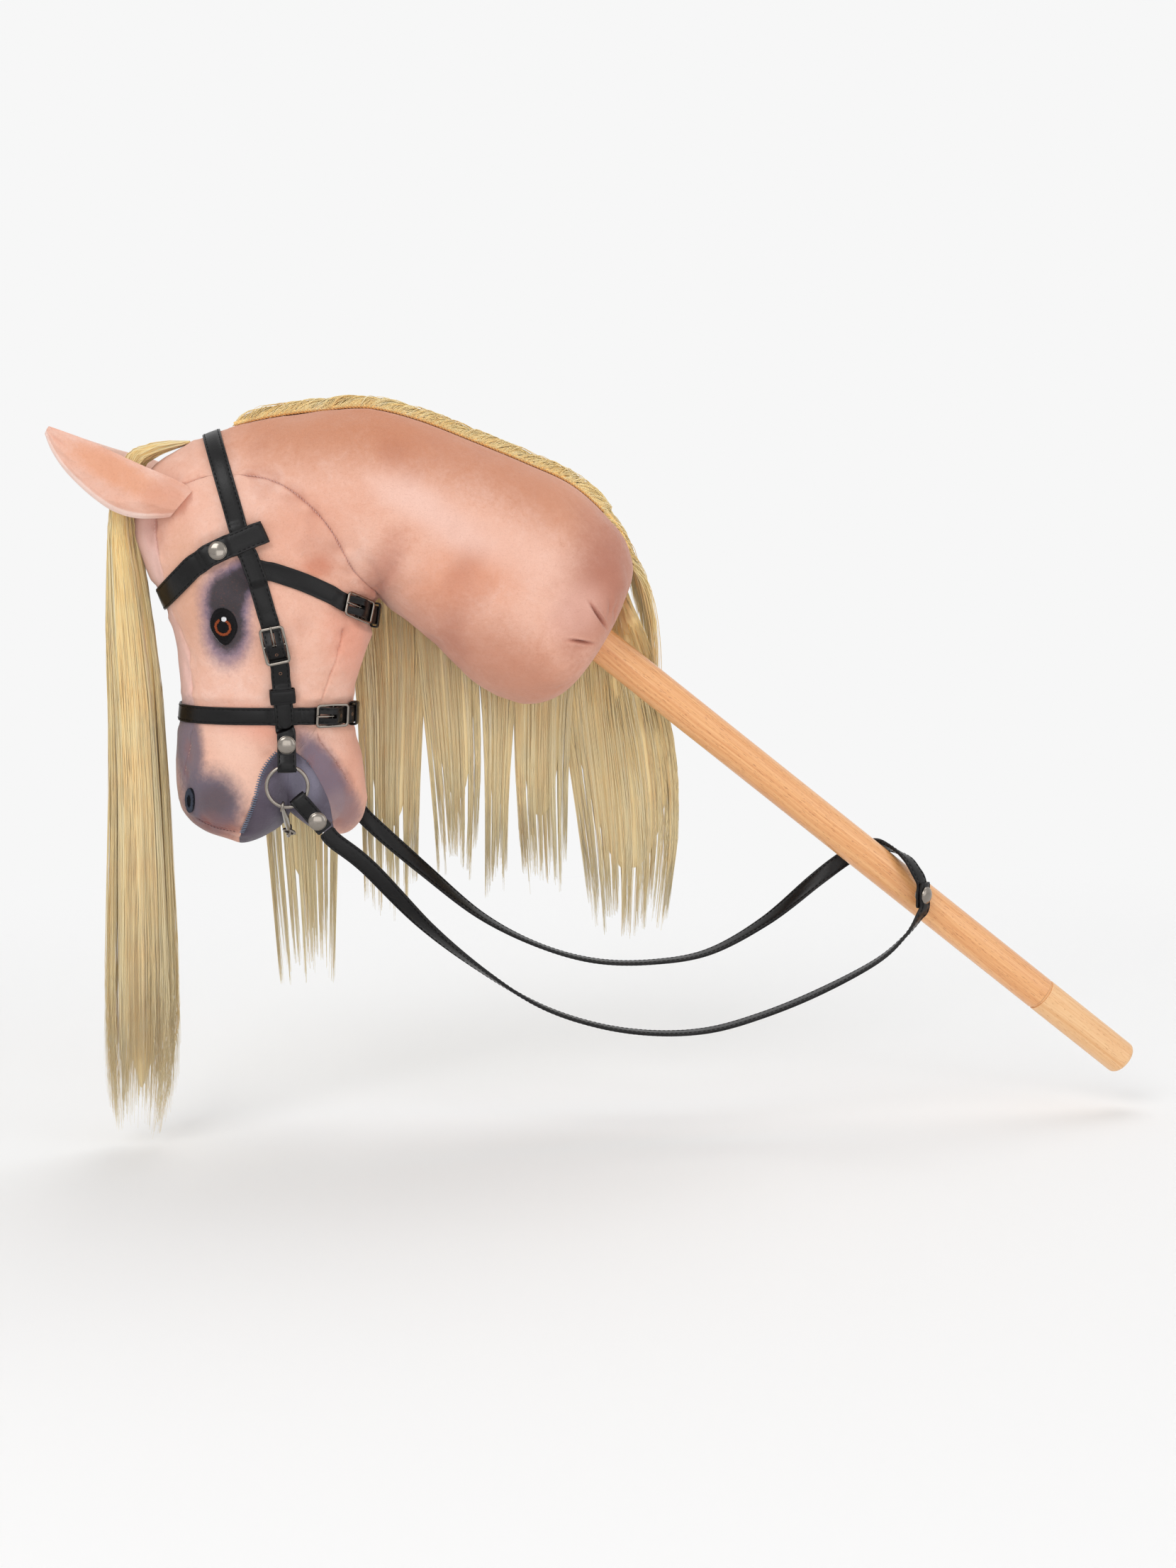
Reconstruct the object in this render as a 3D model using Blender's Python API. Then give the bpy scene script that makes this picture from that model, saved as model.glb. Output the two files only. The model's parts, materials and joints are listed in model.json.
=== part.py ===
"""Hobby horse: a stuffed horse's head on a round beech stick, wearing a strap bridle with reins.

Lengths are millimetres and become metres when a mesh is made. The head faces -X, the stick runs
down towards +X and +Z is up as the toy is held. The origin is on the stick's axis at the hand grip.
The horse's left side is -Y. Every form is symmetric about Y = 0 unless its name says left or right.
"""

import math

import bmesh
import bpy
import numpy as np
from mathutils import Vector
from mathutils.bvhtree import BVHTree

MM = 0.001

# Fits
CLEARANCE = 0.35  # between metal or wooden pieces that touch or turn
SEAM_GAP = 0.36  # between stuffed panels that meet at a seam
SKIN_GAP = 0.8  # between the plush and what lies on it
LAYER_GAP = 0.32  # between two layers of strap

# Stick and its end piece
STICK_DIAMETER = 25.0
STICK_SLOPE = math.radians(38.5)
NECK_EXIT = 79.0  # from the grip up to the neck's collar
STICK_IN_NECK = 105.0
GRIP_TO_JOINT = 343.0
TIP_LENGTH = 84.0
TIP_ROUNDING = 4.5
TENON_DIAMETER = 16.0
TENON_LENGTH = 30.0
GROOVE_WIDTH = 1.7
GROOVE_DEPTH = 1.2
ROUND_SIDES = 28

# Stuffed neck and head, from the neck's collar to the level of the mouth's corners.
# Each row: crest or face line x, z; throat or jaw line x, z; half width; squareness.
COLLAR_WALL = 1.6
BODY_SECTIONS = (
    (-46.2, 69.0, -73.4, 25.4, 26.0, 2.0),
    (-40.4, 81.5, -80.8, 15.0, 38.0, 2.0),
    (-38.2, 97.5, -91.2, 7.8, 47.5, 2.05),
    (-43.0, 118.5, -104.5, 4.3, 53.5, 2.1),
    (-56.5, 136.8, -119.5, 6.8, 56.0, 2.1),
    (-79.0, 155.8, -137.0, 14.6, 57.0, 2.1),
    (-110.0, 169.9, -156.0, 27.8, 56.5, 2.1),
    (-146.0, 184.4, -174.0, 45.5, 55.5, 2.1),
    (-184.0, 198.8, -190.0, 61.3, 54.5, 2.1),
    (-218.0, 206.4, -201.5, 72.4, 53.5, 2.1),
    (-252.0, 204.0, -208.6, 79.6, 52.5, 2.1),
    (-285.0, 199.4, -212.2, 81.4, 52.0, 2.1),
    (-316.0, 191.2, -213.6, 79.6, 51.5, 2.15),
    (-342.0, 180.0, -214.2, 76.6, 51.0, 2.2),
    (-361.5, 166.5, -214.8, 73.0, 51.0, 2.2),
    (-372.2, 145.5, -215.4, 69.0, 52.5, 2.2),
    (-375.2, 123.5, -216.3, 63.2, 54.5, 2.2),
    (-369.0, 104.5, -218.2, 54.5, 55.5, 2.25),
    (-357.6, 79.0, -221.4, 43.5, 54.0, 2.3),
    (-348.8, 53.5, -225.4, 31.0, 50.5, 2.3),
    (-345.8, 28.5, -228.9, 16.5, 46.5, 2.3),
    (-346.3, 5.0, -230.2, 0.0, 43.8, 2.3),
    (-349.4, -15.5, -229.2, -15.5, 43.0, 2.3),
    (-350.8, -31.0, -225.4, -30.0, 43.5, 2.3),
)
# The lower edge of the lips on the centre plane, from the nose to the chin, with the mouth's notch
LIP_EDGE = (
    (-349.2, -58.0),
    (-347.0, -66.5),
    (-341.5, -74.5),
    (-333.0, -81.2),
    (-321.0, -87.2),
    (-309.0, -90.6),
    (-299.5, -87.8),
    (-290.5, -82.8),
    (-283.0, -77.6),
    (-277.8, -72.0),
    (-274.6, -66.8),
    (-268.5, -71.8),
    (-262.0, -77.6),
    (-254.5, -82.8),
    (-245.0, -85.6),
    (-235.5, -84.4),
    (-228.3, -79.0),
    (-223.8, -71.0),
    (-221.2, -60.0),
)
BODY_COLUMNS = 28
BODY_ROWS_PER_SPAN = 2
CAP_ROWS = 7
MOUTH_FOLD_X = -274.8
MOUTH_FOLD_TOP = -18.0
MOUTH_FOLD_HEIGHT = 34.0
MOUTH_FOLD_WIDTH = 8.0
MOUTH_FOLD_SHARE = 0.30

# Seams seen from the side, where the panels of the neck, head, jaw and lips meet
CHEEK_SEAM = (
    (-374.0, 150.0),
    (-358.0, 149.0),
    (-341.0, 155.5),
    (-326.6, 160.4),
    (-311.3, 161.6),
    (-294.2, 160.9),
    (-276.8, 155.3),
    (-260.7, 143.3),
    (-246.1, 127.0),
    (-236.1, 109.2),
    (-229.6, 98.0),
    (-220.0, 88.0),
    (-211.6, 82.0),
)
MOUTH_CORNER = (-275.6, -20.5)
UPPER_LIP_SEAM = ((-282.9, -23.3), (-289.7, -30.9), (-294.1, -40.0), (-299.1, -58.6), (-306.0, -76.3))
LOWER_LIP_SEAM = ((-269.7, -23.5), (-260.8, -32.3), (-252.9, -46.9), (-247.9, -59.6), (-245.4, -75.0))
JAW_SPLIT = ((-252.0, -2.0), (-226.0, 0.5))
OUTSIDE = 130.0  # how far a cutting outline runs past the body
FAR = 300.0  # a start outside the toy for rays that look for the skin
THROAT_OUTSIDE_X = -206.5

# Ears
EAR_THICKNESS = 8.0
EAR_CUP = 6.5
EAR_ROOT_Y = -38.0
EAR_TIP_Y = -44.0
EAR_COLUMNS = 14
# From the root to the tip: upper edge x, z; lower edge x, z
EAR_EDGES = (
    (-334.0, 152.0, -350.0, 133.5),
    (-345.0, 158.0, -361.5, 132.8),
    (-357.5, 163.4, -374.0, 133.4),
    (-371.0, 169.4, -386.5, 137.6),
    (-384.5, 175.8, -397.5, 145.0),
    (-397.5, 181.8, -408.0, 154.4),
    (-409.5, 186.6, -417.5, 165.0),
    (-419.0, 190.2, -424.8, 176.8),
    (-426.0, 192.6, -428.8, 187.6),
)

# Straps of the bridle
STRAP_WIDTH = 12.5
STRAP_THICKNESS = 1.3
BROWBAND_WIDTH = 15.0
NOSEBAND_WIDTH = 11.8
SNAP_DIAMETER = 12.5
SNAP_HEIGHT = 2.6
SNAP_POST_DIAMETER = 1.9
SNAP_BASE_HEIGHT = 0.9
SNAP_SIDES = 12
SNAP_LOWER = CLEARANCE + SNAP_BASE_HEIGHT + LAYER_GAP + STRAP_THICKNESS / 2  # height of the strap under a snap
SNAP_UPPER = SNAP_LOWER + STRAP_THICKNESS + LAYER_GAP
STATION = 10.0  # spacing of the cross-sections along a strap
SLOT_WIDTH = 2.7  # slots for the prongs of the buckles and the posts of the snaps
# Lines of the straps on the left side, x, z, after they leave the centre plane
CHEEK_LINE = (
    (-305.5, 126.0),
    (-301.5, 113.0),
    (-296.5, 100.0),
    (-291.0, 82.0),
    (-286.2, 64.0),
    (-282.8, 50.0),
    (-280.2, 36.0),
    (-278.4, 15.0),
    (-277.6, 0.0),
    (-276.8, -17.4),
    (-276.2, -33.0),
    (-276.0, -48.0),
)
BROW_LINE = ((-327.1, 106.3), (-318.9, 111.1), (-305.0, 117.0), (-295.9, 121.0), (-289.0, 124.0), (-279.0, 128.5))
THROAT_LINE = ((-246.0, 82.5), (-262.0, 90.0), (-277.0, 95.5), (-288.8, 99.2), (-301.0, 102.5))
BROW_CROSSING = (-303.0, 118.0)
BROW_SNAP = (-318.9, 111.1)
BROW_TURN = (-290.0, 123.6)
CROWN_END_Z = 93.5
BILLET_START_Z = 108.5
CHEEK_BUCKLE_Z = 50.0
CHEEK_SNAP_Z = -17.4
THROAT_BUCKLE = (-228.5, 73.0)
THROAT_CROSSING = (-294.0, 100.6)
NOSE_CENTRE = (-288.0, 1.5)
NOSE_BUCKLE = (-247.4, 1.5)
NOSE_CROSSING_X = -277.6
CROSSING_HALF = 8.5  # straps that cross share a flat place this far each way
HANG_CLEAR = 2.34  # from the widest skin to the lines on which the cheek straps hang beside the mouth
# Where the straps cross the centre plane: a point inside the head, and the way the fold faces, x, z
POLL_CENTRE = (-309.0, 140.0)
POLL_TOWARDS = (-13.5, 49.5)
FOREHEAD_CENTRE = (-335.0, 101.5)
FOREHEAD_TOWARDS = (-23.5, -24.0)
THROAT_CENTRE = (-238.0, 77.5)
THROAT_TOWARDS = (22.4, -11.0)
NOSE_TOWARDS = (-100.0, 1.0)

# Buckles: a frame of flat wire with a centre bar and a bent-wire prong
BUCKLE_LENGTH = 25.5
BUCKLE_WIRE = 1.7
BUCKLE_CORNER = 2.2
BUCKLE_SIDE_CLEARANCE = 0.4
PRONG_WIRE = 1.3
PRONG_CLEAR = 2.4  # from the far bar to where the strap starts to rise
BAR_SHARE = 0.94  # the centre bar's wire, as a share of the frame's
WIRE_SIDES = 8
KEEPER_WIDTH = 7.0
KEEPER_THICKNESS = 1.0
KEEPER_LOW = SKIN_GAP + KEEPER_THICKNESS + LAYER_GAP + STRAP_THICKNESS / 2
KEEPER_HIGH = KEEPER_LOW + STRAP_THICKNESS + LAYER_GAP
KEEPER_FROM_BAR = {"cheek": 35.4, "throat": 21.5, "nose": 21.5}

# Loose-ring snaffle bit
RING_DIAMETER = 30.0
RING_WIRE = 2.5
RING_CENTRE_Z = -45.5
RING_RADIUS = (RING_DIAMETER - RING_WIRE) / 2  # to the middle of the wire
RING_SAG = 1.55  # how far the wire falls away under a strap's edges
RING_SEGMENTS = 32
BIT_EYE_WIRE = 2.0
BIT_ARM_DIAMETER = 4.2
BIT_LINK_RADIUS = 3.9
EYE_SEGMENTS = 14
BIT_CENTRE = (-275.0, -82.5)
BIT_EYE_ANGLE = math.radians(-105.0)

# Reins
REIN_WIDTH = 11.5
REIN_THICKNESS = 2.0
SNAP_FROM_RING = 17.0
REIN_LOOP_LENGTH = 25.0
REIN_LOOP_ANGLES = {"left": math.radians(-50.0), "right": math.radians(-25.0)}
REIN_SNAP_AT = (172.5, -21.5, -134.5)
REIN_SNAP_FACING = (0.68, -0.73, 0.0)
REIN_TAIL = 9.0
REIN_SPANS = 2
# Route of each rein from the bit to the stick: place x, y, z and the way its outer face looks
LEFT_REIN_ROUTE = (
    (-223.0, -50.0, -101.0, 0.2, -0.8, -0.3),
    (-184.0, -46.5, -143.0, 0.0, -0.5, -0.7),
    (-145.0, -43.0, -176.0, 0.0, -0.2, -0.9),
    (-106.0, -40.0, -202.0, 0.0, 0.0, -1.0),
    (-66.0, -36.5, -218.0, 0.0, 0.0, -1.0),
    (-25.0, -33.0, -226.0, 0.0, 0.0, -1.0),
    (16.0, -30.0, -226.0, 0.0, 0.0, -1.0),
    (57.0, -27.0, -216.5, 0.1, 0.0, -1.0),
    (99.0, -25.0, -201.0, 0.2, 0.0, -1.0),
    (139.0, -24.0, -181.0, 0.5, -0.1, -0.8),
    (160.0, -23.5, -163.0, 0.7, -0.3, -0.5),
    (170.0, -23.5, -149.0, 0.7, -0.6, -0.2),
)
RIGHT_REIN_ROUTE = (
    (-218.0, 47.0, -83.0, 0.2, 0.8, -0.3),
    (-178.0, 44.0, -119.5, 0.0, 0.5, -0.7),
    (-138.0, 41.0, -153.0, 0.0, 0.2, -0.9),
    (-97.0, 37.5, -175.0, 0.0, 0.0, -1.0),
    (-56.0, 34.0, -187.0, 0.0, 0.0, -1.0),
    (-14.0, 31.0, -188.5, 0.0, 0.0, -1.0),
    (27.0, 28.0, -181.5, 0.0, 0.1, -1.0),
    (68.0, 24.5, -159.0, 0.1, 0.3, -0.9),
    (105.0, 22.0, -129.0, 0.0, 0.7, -0.7),
    (126.0, 21.0, -113.5, -0.2, 0.95, -0.2),
    (140.0, 18.5, -106.0, 0.2, 0.9, 0.3),
    (148.5, 11.0, -102.5, 0.46, 0.67, 0.58),
    (156.5, 0.5, -104.5, 0.62, 0.03, 0.78),
    (163.5, -10.0, -109.5, 0.55, -0.53, 0.6),
    (168.0, -17.5, -117.5, 0.6, -0.75, 0.25),
)

# Hair
HAIR_GAP = 0.45
HAIR_SIDES = 6
CREST_FROM_X = -312.0  # the mane's front end
CREST_TO_Z = 88.0  # and its back end
CREST_DEPTH = 30.0  # depth of the points from which the leans are measured
TRACK_DIAMETER = 3.2
TRACK_LEAN = math.radians(-4.0)  # the stitched track lies a little to the left of the crest
TUFT_LEAN = math.radians(13.5)
TUFT_WIDTH = 11.0
TUFT_HEIGHT = 6.0
LOCK_THICKNESS = 7.0
LOCK_DROP = 11.0  # the locks start this far below the crest, on the right side
LOCK_ROWS = 12
LOCK_COLUMNS = 6
LOCK_LEAST_Y = 56.0
LOCK_FEEL = (-14.0, -7.0, 0.0, 8.0, 16.0, 26.0, 40.0)  # heights round a point at which a lock meets the skin
# Mane locks on the right side: x at the top from and to, x at the tip from and to, z of the tip,
# and the height over the skin that clears the straps under them
MANE_LOCKS = (
    (-298.0, -242.4, -289.0, -239.0, -207.0, 10.5),
    (-242.0, -192.0, -224.0, -176.0, -162.0, 4.0),
    (-191.0, -150.0, -174.0, -137.0, -133.0, 0.8),
    (-149.0, -116.0, -135.0, -112.0, -144.0, 0.8),
    (-115.0, -78.0, -111.0, -70.0, -144.0, 0.8),
    (-77.0, -52.0, -69.0, 11.0, -178.0, 3.5),
)
# Forelock: x, z of its middle, half depth along x, half width along y
FORELOCK = (
    (-350.9, 181.3, 2.5, 8.0),
    (-371.0, 174.5, 4.5, 14.0),
    (-380.0, 156.0, 5.5, 19.0),
    (-383.8, 130.0, 7.0, 22.0),
    (-381.4, 95.0, 11.0, 23.5),
    (-379.5, 50.0, 14.5, 24.0),
    (-377.0, 0.0, 16.0, 24.0),
    (-376.5, -80.0, 18.5, 23.0),
    (-377.5, -170.0, 22.0, 20.0),
    (-379.0, -250.0, 23.0, 15.0),
    (-384.0, -300.0, 12.0, 8.0),
)
FORELOCK_SIDES = 12

# Embroidery
EYE_CENTRE = (-316.0, 62.0)
EYE_WIDTH = 18.8
EYE_HEIGHT = 25.5
EYE_RISE = 1.6
NOSTRIL_CENTRE = (-341.0, -57.0)
NOSTRIL_WIDTH = 8.5
NOSTRIL_LENGTH = 20.0
NOSTRIL_RISE = 1.2
NOSTRIL_SLANT = math.radians(24.0)
PAD_ABOVE = 25.0  # height over the skin from which an embroidered pad is laid down on it
PAD_EDGE = 0.35  # thickness of a pad's edge
PAD_RINGS = 3
PAD_SIDES = 16


# Curves

def catmull_rom(points, per_span):
    """Points on a smooth curve through the given ones, per_span to each stretch."""
    p = np.asarray(points, float)
    ends = np.vstack([2 * p[0] - p[1], p, 2 * p[-1] - p[-2]])
    t = np.linspace(0.0, 1.0, per_span, endpoint=False)[:, None]
    spans = [
        0.5 * (2 * b + (c - a) * t + (2 * a - 5 * b + 4 * c - d) * t**2 + (3 * b - a - 3 * c + d) * t**3)
        for a, b, c, d in zip(ends, ends[1:], ends[2:], ends[3:])
    ]
    return np.vstack(spans + [p[-1:]])


def unit(vectors):
    """The vectors scaled to length 1."""
    v = np.asarray(vectors, float)
    return v / np.linalg.norm(v, axis=-1, keepdims=True)


def square_to(axis, across):
    """Both directions at length 1, with the second made square to the first."""
    axis = unit(axis)
    across = np.asarray(across, float)
    return axis, unit(across - np.dot(across, axis) * axis)


def smooth_step(x):
    """0 below 0, 1 above 1 and a smooth rise between."""
    x = np.clip(x, 0.0, 1.0)
    return x * x * (3 - 2 * x)


def side_view(point, y=0.0):
    """A point x, z of the side view as x, y, z."""
    return np.array([point[0], y, point[1]])


def inset(outline, distance):
    """A closed side-view outline moved inwards by distance, with mitred corners."""
    p = np.asarray(outline, float)
    area = 0.5 * np.sum(p[:, 0] * np.roll(p[:, 1], -1) - np.roll(p[:, 0], -1) * p[:, 1])
    edge = unit(np.roll(p, -1, axis=0) - p)
    inward = np.sign(area) * np.stack([-edge[:, 1], edge[:, 0]], axis=1)
    before = np.roll(inward, 1, axis=0)
    mitre = unit(inward + before)
    stretch = 1.0 / np.maximum(np.sum(mitre * inward, axis=1), 0.35)
    return p + mitre * (distance * stretch)[:, None]


# Meshes

def material(name, colour, roughness, metallic=0.0):
    """A Principled material of one colour."""
    made = bpy.data.materials.new(name)
    made.use_nodes = True
    shader = made.node_tree.nodes["Principled BSDF"]
    shader.inputs["Base Color"].default_value = (*colour, 1.0)
    shader.inputs["Roughness"].default_value = roughness
    shader.inputs["Metallic"].default_value = metallic
    return made


def add_object(name, vertices, faces, finish, pivot=(0.0, 0.0, 0.0), smooth=40.0, weld=0.0):
    """An object with its origin at pivot. Vertices and pivot are millimetres in the whole toy's frame."""
    mesh = bpy.data.meshes.new(name)
    pivot = np.asarray(pivot, float)
    mesh.from_pydata(((np.asarray(vertices, float) - pivot) * MM).tolist(), [], [list(f) for f in faces])
    work = bmesh.new()
    work.from_mesh(mesh)
    if weld:
        bmesh.ops.remove_doubles(work, verts=work.verts, dist=weld * MM)
    bmesh.ops.recalc_face_normals(work, faces=work.faces)
    work.to_mesh(mesh)
    work.free()
    mesh.shade_smooth()
    mesh.set_sharp_from_angle(angle=math.radians(smooth))
    if finish is not None:
        mesh.materials.append(finish)
    made = bpy.data.objects.new(name, mesh)
    made.location = Vector(pivot * MM)
    bpy.context.collection.objects.link(made)
    return made


def as_cutter(made):
    """Marks an object as a guide that isn't part of the toy."""
    made.hide_render = True
    made.display_type = "WIRE"
    return made


def boolean(target, cutter, operation):
    """Cuts, joins or intersects target with cutter."""
    step = target.modifiers.new(cutter.name, "BOOLEAN")
    step.operation = operation
    step.object = cutter
    step.solver = "EXACT"


def grid_faces(rows, columns, first=0):
    """Quads of a grid whose columns close round."""
    return [
        (
            first + r * columns + c,
            first + r * columns + (c + 1) % columns,
            first + (r + 1) * columns + (c + 1) % columns,
            first + (r + 1) * columns + c,
        )
        for r in range(rows - 1)
        for c in range(columns)
    ]


def closed_faces(rows, columns):
    """Quads of a grid whose rows and columns both close round."""
    last = (rows - 1) * columns
    around = [(last + c, last + (c + 1) % columns, (c + 1) % columns, c) for c in range(columns)]
    return grid_faces(rows, columns) + around


def tube_mesh(rings):
    """Vertices and faces of closed rings joined in a row, with both ends filled."""
    count, sides = len(rings), len(rings[0])
    faces = grid_faces(count, sides)
    faces.append(tuple(range(sides - 1, -1, -1)))
    faces.append(tuple(range((count - 1) * sides, count * sides)))
    return np.vstack(rings), faces


def turned(profile, sides, origin, axis, across):
    """A solid turned from (distance along axis, radius) points. Points of radius 0 close it."""
    axis, across = square_to(axis, across)
    third = np.cross(axis, across)
    angle = 2 * math.pi * np.arange(sides) / sides
    around = np.cos(angle)[:, None] * across + np.sin(angle)[:, None] * third
    vertices, faces, before = [], [], None
    for along, radius in profile:
        middle = np.asarray(origin, float) + axis * along
        first = len(vertices)
        ring = [first] if radius == 0 else list(range(first, first + sides))
        vertices += [middle] if radius == 0 else list(middle + around * radius)
        if before is not None:
            for c in range(sides):
                d = (c + 1) % sides
                quad = (before[c % len(before)], before[d % len(before)], ring[d % len(ring)], ring[c % len(ring)])
                faces.append(tuple(dict.fromkeys(quad)))
        before = ring
    return np.array(vertices), faces


def torus(centre, axis, across, radius, wire, segments, sides):
    """A ring of round wire."""
    axis, across = square_to(axis, across)
    third = np.cross(axis, across)
    turn = 2 * math.pi * np.arange(segments) / segments
    out = np.cos(turn)[:, None] * across + np.sin(turn)[:, None] * third
    angle = 2 * math.pi * np.arange(sides) / sides
    vertices = (
        np.asarray(centre, float)
        + out[:, None, :] * (radius + wire / 2 * np.cos(angle))[None, :, None]
        + axis * (wire / 2 * np.sin(angle))[None, :, None]
    ).reshape(-1, 3)
    return vertices, closed_faces(segments, sides)


# Stuffed body

def collar_section():
    """The first section: a ring of cloth round the stick."""
    axis = np.array([math.cos(STICK_SLOPE), -math.sin(STICK_SLOPE)])
    across = np.array([math.sin(STICK_SLOPE), math.cos(STICK_SLOPE)])
    middle = -NECK_EXIT * axis
    radius = STICK_DIAMETER / 2 + CLEARANCE + COLLAR_WALL
    return (*(middle + radius * across), *(middle - radius * across), radius, 2.0)


def body_grid(rows_per_span, columns, cap_rows):
    """Points of the whole stuffed body as rows of closed rings, from the collar to the lips."""
    sections = catmull_rom((collar_section(), *BODY_SECTIONS), rows_per_span)
    crest, under = sections[:, 0:2], sections[:, 2:4]
    width, square = sections[:, 4], sections[:, 5]
    angle = 2 * math.pi * np.arange(columns) / columns
    cosine, sine = np.cos(angle), np.sin(angle)
    power = 2.0 / square[:, None]
    share = (1 - np.sign(cosine) * np.abs(cosine) ** power) / 2
    swell = np.sign(sine) * np.abs(sine) ** power
    flat = crest[:, None, :] * (1 - share[..., None]) + under[:, None, :] * share[..., None]
    y = -width[:, None] * swell

    edge = catmull_rom(LIP_EDGE, 6)
    share_end, swell_end = share[-1], swell[-1]
    x_end = LIP_EDGE[0][0] * (1 - share_end) + LIP_EDGE[-1][0] * share_end
    lips = np.stack([x_end, np.interp(x_end, edge[:, 0], edge[:, 1])], axis=1)
    turn = (np.arange(cap_rows) + 1) / cap_rows * math.pi / 2
    reach, left = np.sin(turn), np.cos(turn) ** (2.0 / square[-1])
    left[-1] = 0.0
    cap = flat[-1][None] + reach[:, None, None] * (lips - flat[-1])[None]
    flat = np.concatenate([flat, cap])
    y = np.concatenate([y, -width[-1] * swell_end[None] * left[:, None]])

    x, z = flat[..., 0], flat[..., 1]
    fold = smooth_step((MOUTH_FOLD_TOP - z) / MOUTH_FOLD_HEIGHT)
    fold = fold * np.exp(-(((x - MOUTH_FOLD_X) / MOUTH_FOLD_WIDTH) ** 2))
    y = y * (1 - MOUTH_FOLD_SHARE * fold)
    return np.stack([x, y, z], axis=-1)


def body_mesh(grid):
    """Vertices and faces of the stuffed body."""
    rows, columns = grid.shape[:2]
    faces = grid_faces(rows, columns)
    faces.append(tuple(range(columns - 1, -1, -1)))
    return grid.reshape(-1, 3), faces


class Skin:
    """The stuffed body's surface, for laying straps and trimmings on it."""

    def __init__(self):
        grid = body_grid(6, 96, 16)
        vertices, faces = body_mesh(grid)
        self.tree = BVHTree.FromPolygons([Vector(v) for v in vertices], faces)

    def hit(self, origin, direction):
        """Where a ray meets the surface, and the surface's normal, pointing out of the body."""
        place, normal, _, _ = self.tree.ray_cast(Vector(origin), Vector(unit(direction)))
        return np.array(place), np.array(normal)

    def from_inside(self, centre, towards, angle):
        """The skin seen from a point of the centre plane, at an angle from a side-view direction to -Y."""
        e = unit(side_view(towards))
        direction = math.cos(angle) * e + math.sin(angle) * np.array([0.0, -1.0, 0.0])
        place, normal = self.hit(side_view(centre), direction)
        return place, normal if np.dot(normal, direction) > 0 else -normal

    def side(self, x, z, right=False):
        """The skin's half width at a point of the side view, or None past the outline."""
        sign = 1.0 if right else -1.0
        place, _, _, _ = self.tree.ray_cast(Vector((x, sign * FAR, z)), Vector((0.0, -sign, 0.0)))
        return None if place is None else abs(place.y)


# Straps

class SkinPath:
    """A line on the skin with a frame at each station: along, outwards and across."""

    def __init__(self, places, normals, closed=False):
        p = np.asarray(places, float)
        if closed:
            p = np.vstack([p, p[:1]])
            normals = np.vstack([normals, normals[:1]])
        length = np.concatenate([[0.0], np.cumsum(np.linalg.norm(np.diff(p, axis=0), axis=1))])
        self.length, self.closed = length[-1], closed
        count = int(self.length / 1.0)
        s = np.linspace(0.0, self.length, count + 1)
        p = np.stack([np.interp(s, length, p[:, k]) for k in range(3)], axis=1)
        n = np.stack([np.interp(s, length, np.asarray(normals)[:, k]) for k in range(3)], axis=1)
        if closed:
            s = np.concatenate([s[:-1] - self.length, s[:-1], s + self.length])
            p, n = np.vstack([p[:-1], p[:-1], p]), np.vstack([n[:-1], n[:-1], n])
        self.s, self.p, self.n = s, p, n
        self.n = unit(self._even(self.n, 9))
        self.p = self._even(self.p, 5)

    @staticmethod
    def _even(values, window):
        """A running mean that keeps the ends."""
        half = window // 2
        padded = np.vstack([2 * values[0] - values[half:0:-1], values, 2 * values[-1] - values[-2:-half - 2:-1]])
        return np.stack([np.convolve(padded[:, k], np.ones(window) / window, "valid") for k in range(3)], axis=1)

    def frame(self, s):
        """Place, along, outwards and across at the stations s."""
        s = np.atleast_1d(np.asarray(s, float))
        step = np.gradient(self.p, self.s, axis=0)
        place, along, out = (
            np.stack([np.interp(s, self.s, v[:, k]) for k in range(3)], axis=1) for v in (self.p, step, self.n)
        )
        along = unit(along)
        out = unit(out - np.sum(out * along, axis=1, keepdims=True) * along)
        over = s - np.clip(s, self.s[0], self.s[-1])
        return place + over[:, None] * along, along, out, np.cross(along, out)

    def nearest(self, x, z, y_sign=-1):
        """The station closest to a point of the side view, on the left if y_sign is -1."""
        distance = np.hypot(self.p[:, 0] - x, self.p[:, 2] - z) + FAR * (self.p[:, 1] * y_sign < -1.0)
        if self.closed:
            distance = distance + FAR * ((self.s < 0) | (self.s >= self.length))
        return self.s[int(np.argmin(distance))]

    def down_to(self, z):
        """The station on the left where the line comes down to a height."""
        left = slice(len(self.s) // 2, None)
        return float(np.interp(-z, -self.p[left, 2], self.s[left]))

    def point_down(self, s0, half, width, blend=8.0):
        """Makes the line's last part hang straight down on both sides at a half width."""
        for start, side in ((s0, -1.0), (self.length - s0, 1.0)):
            place = self.at(start, 0.0)
            place[1] = side * width
            away = (self.s - start) * (-side)
            keep = smooth_step((-away - half) / blend)[:, None]
            down = place + away[:, None] * np.array([0.0, 0.0, -1.0])
            self.p = keep * self.p + (1 - keep) * down
            self.n = unit(keep * self.n + (1 - keep) * np.array([0.0, side, 0.0]))

    def straighten(self, s0, half, blend=8.0, place=None, out=None):
        """Makes the line straight for half to each side of s0, there or through a given place."""
        own_place, along, own_out, _ = (v[0] for v in self.frame(s0))
        place = own_place if place is None else place
        out = own_out if out is None else out
        along = unit(along - np.dot(along, out) * out)
        for shift in (-self.length, 0.0, self.length) if self.closed else (0.0,):
            away = self.s - (s0 + shift)
            keep = smooth_step((np.abs(away) - half) / blend)[:, None]
            self.p = keep * self.p + (1 - keep) * (place + away[:, None] * along)
            self.n = unit(keep * self.n + (1 - keep) * out)

    def at(self, s, height, across=0.0):
        """One point over the line."""
        place, _, out, side = (v[0] for v in self.frame(s))
        return place + out * height + side * across


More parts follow.
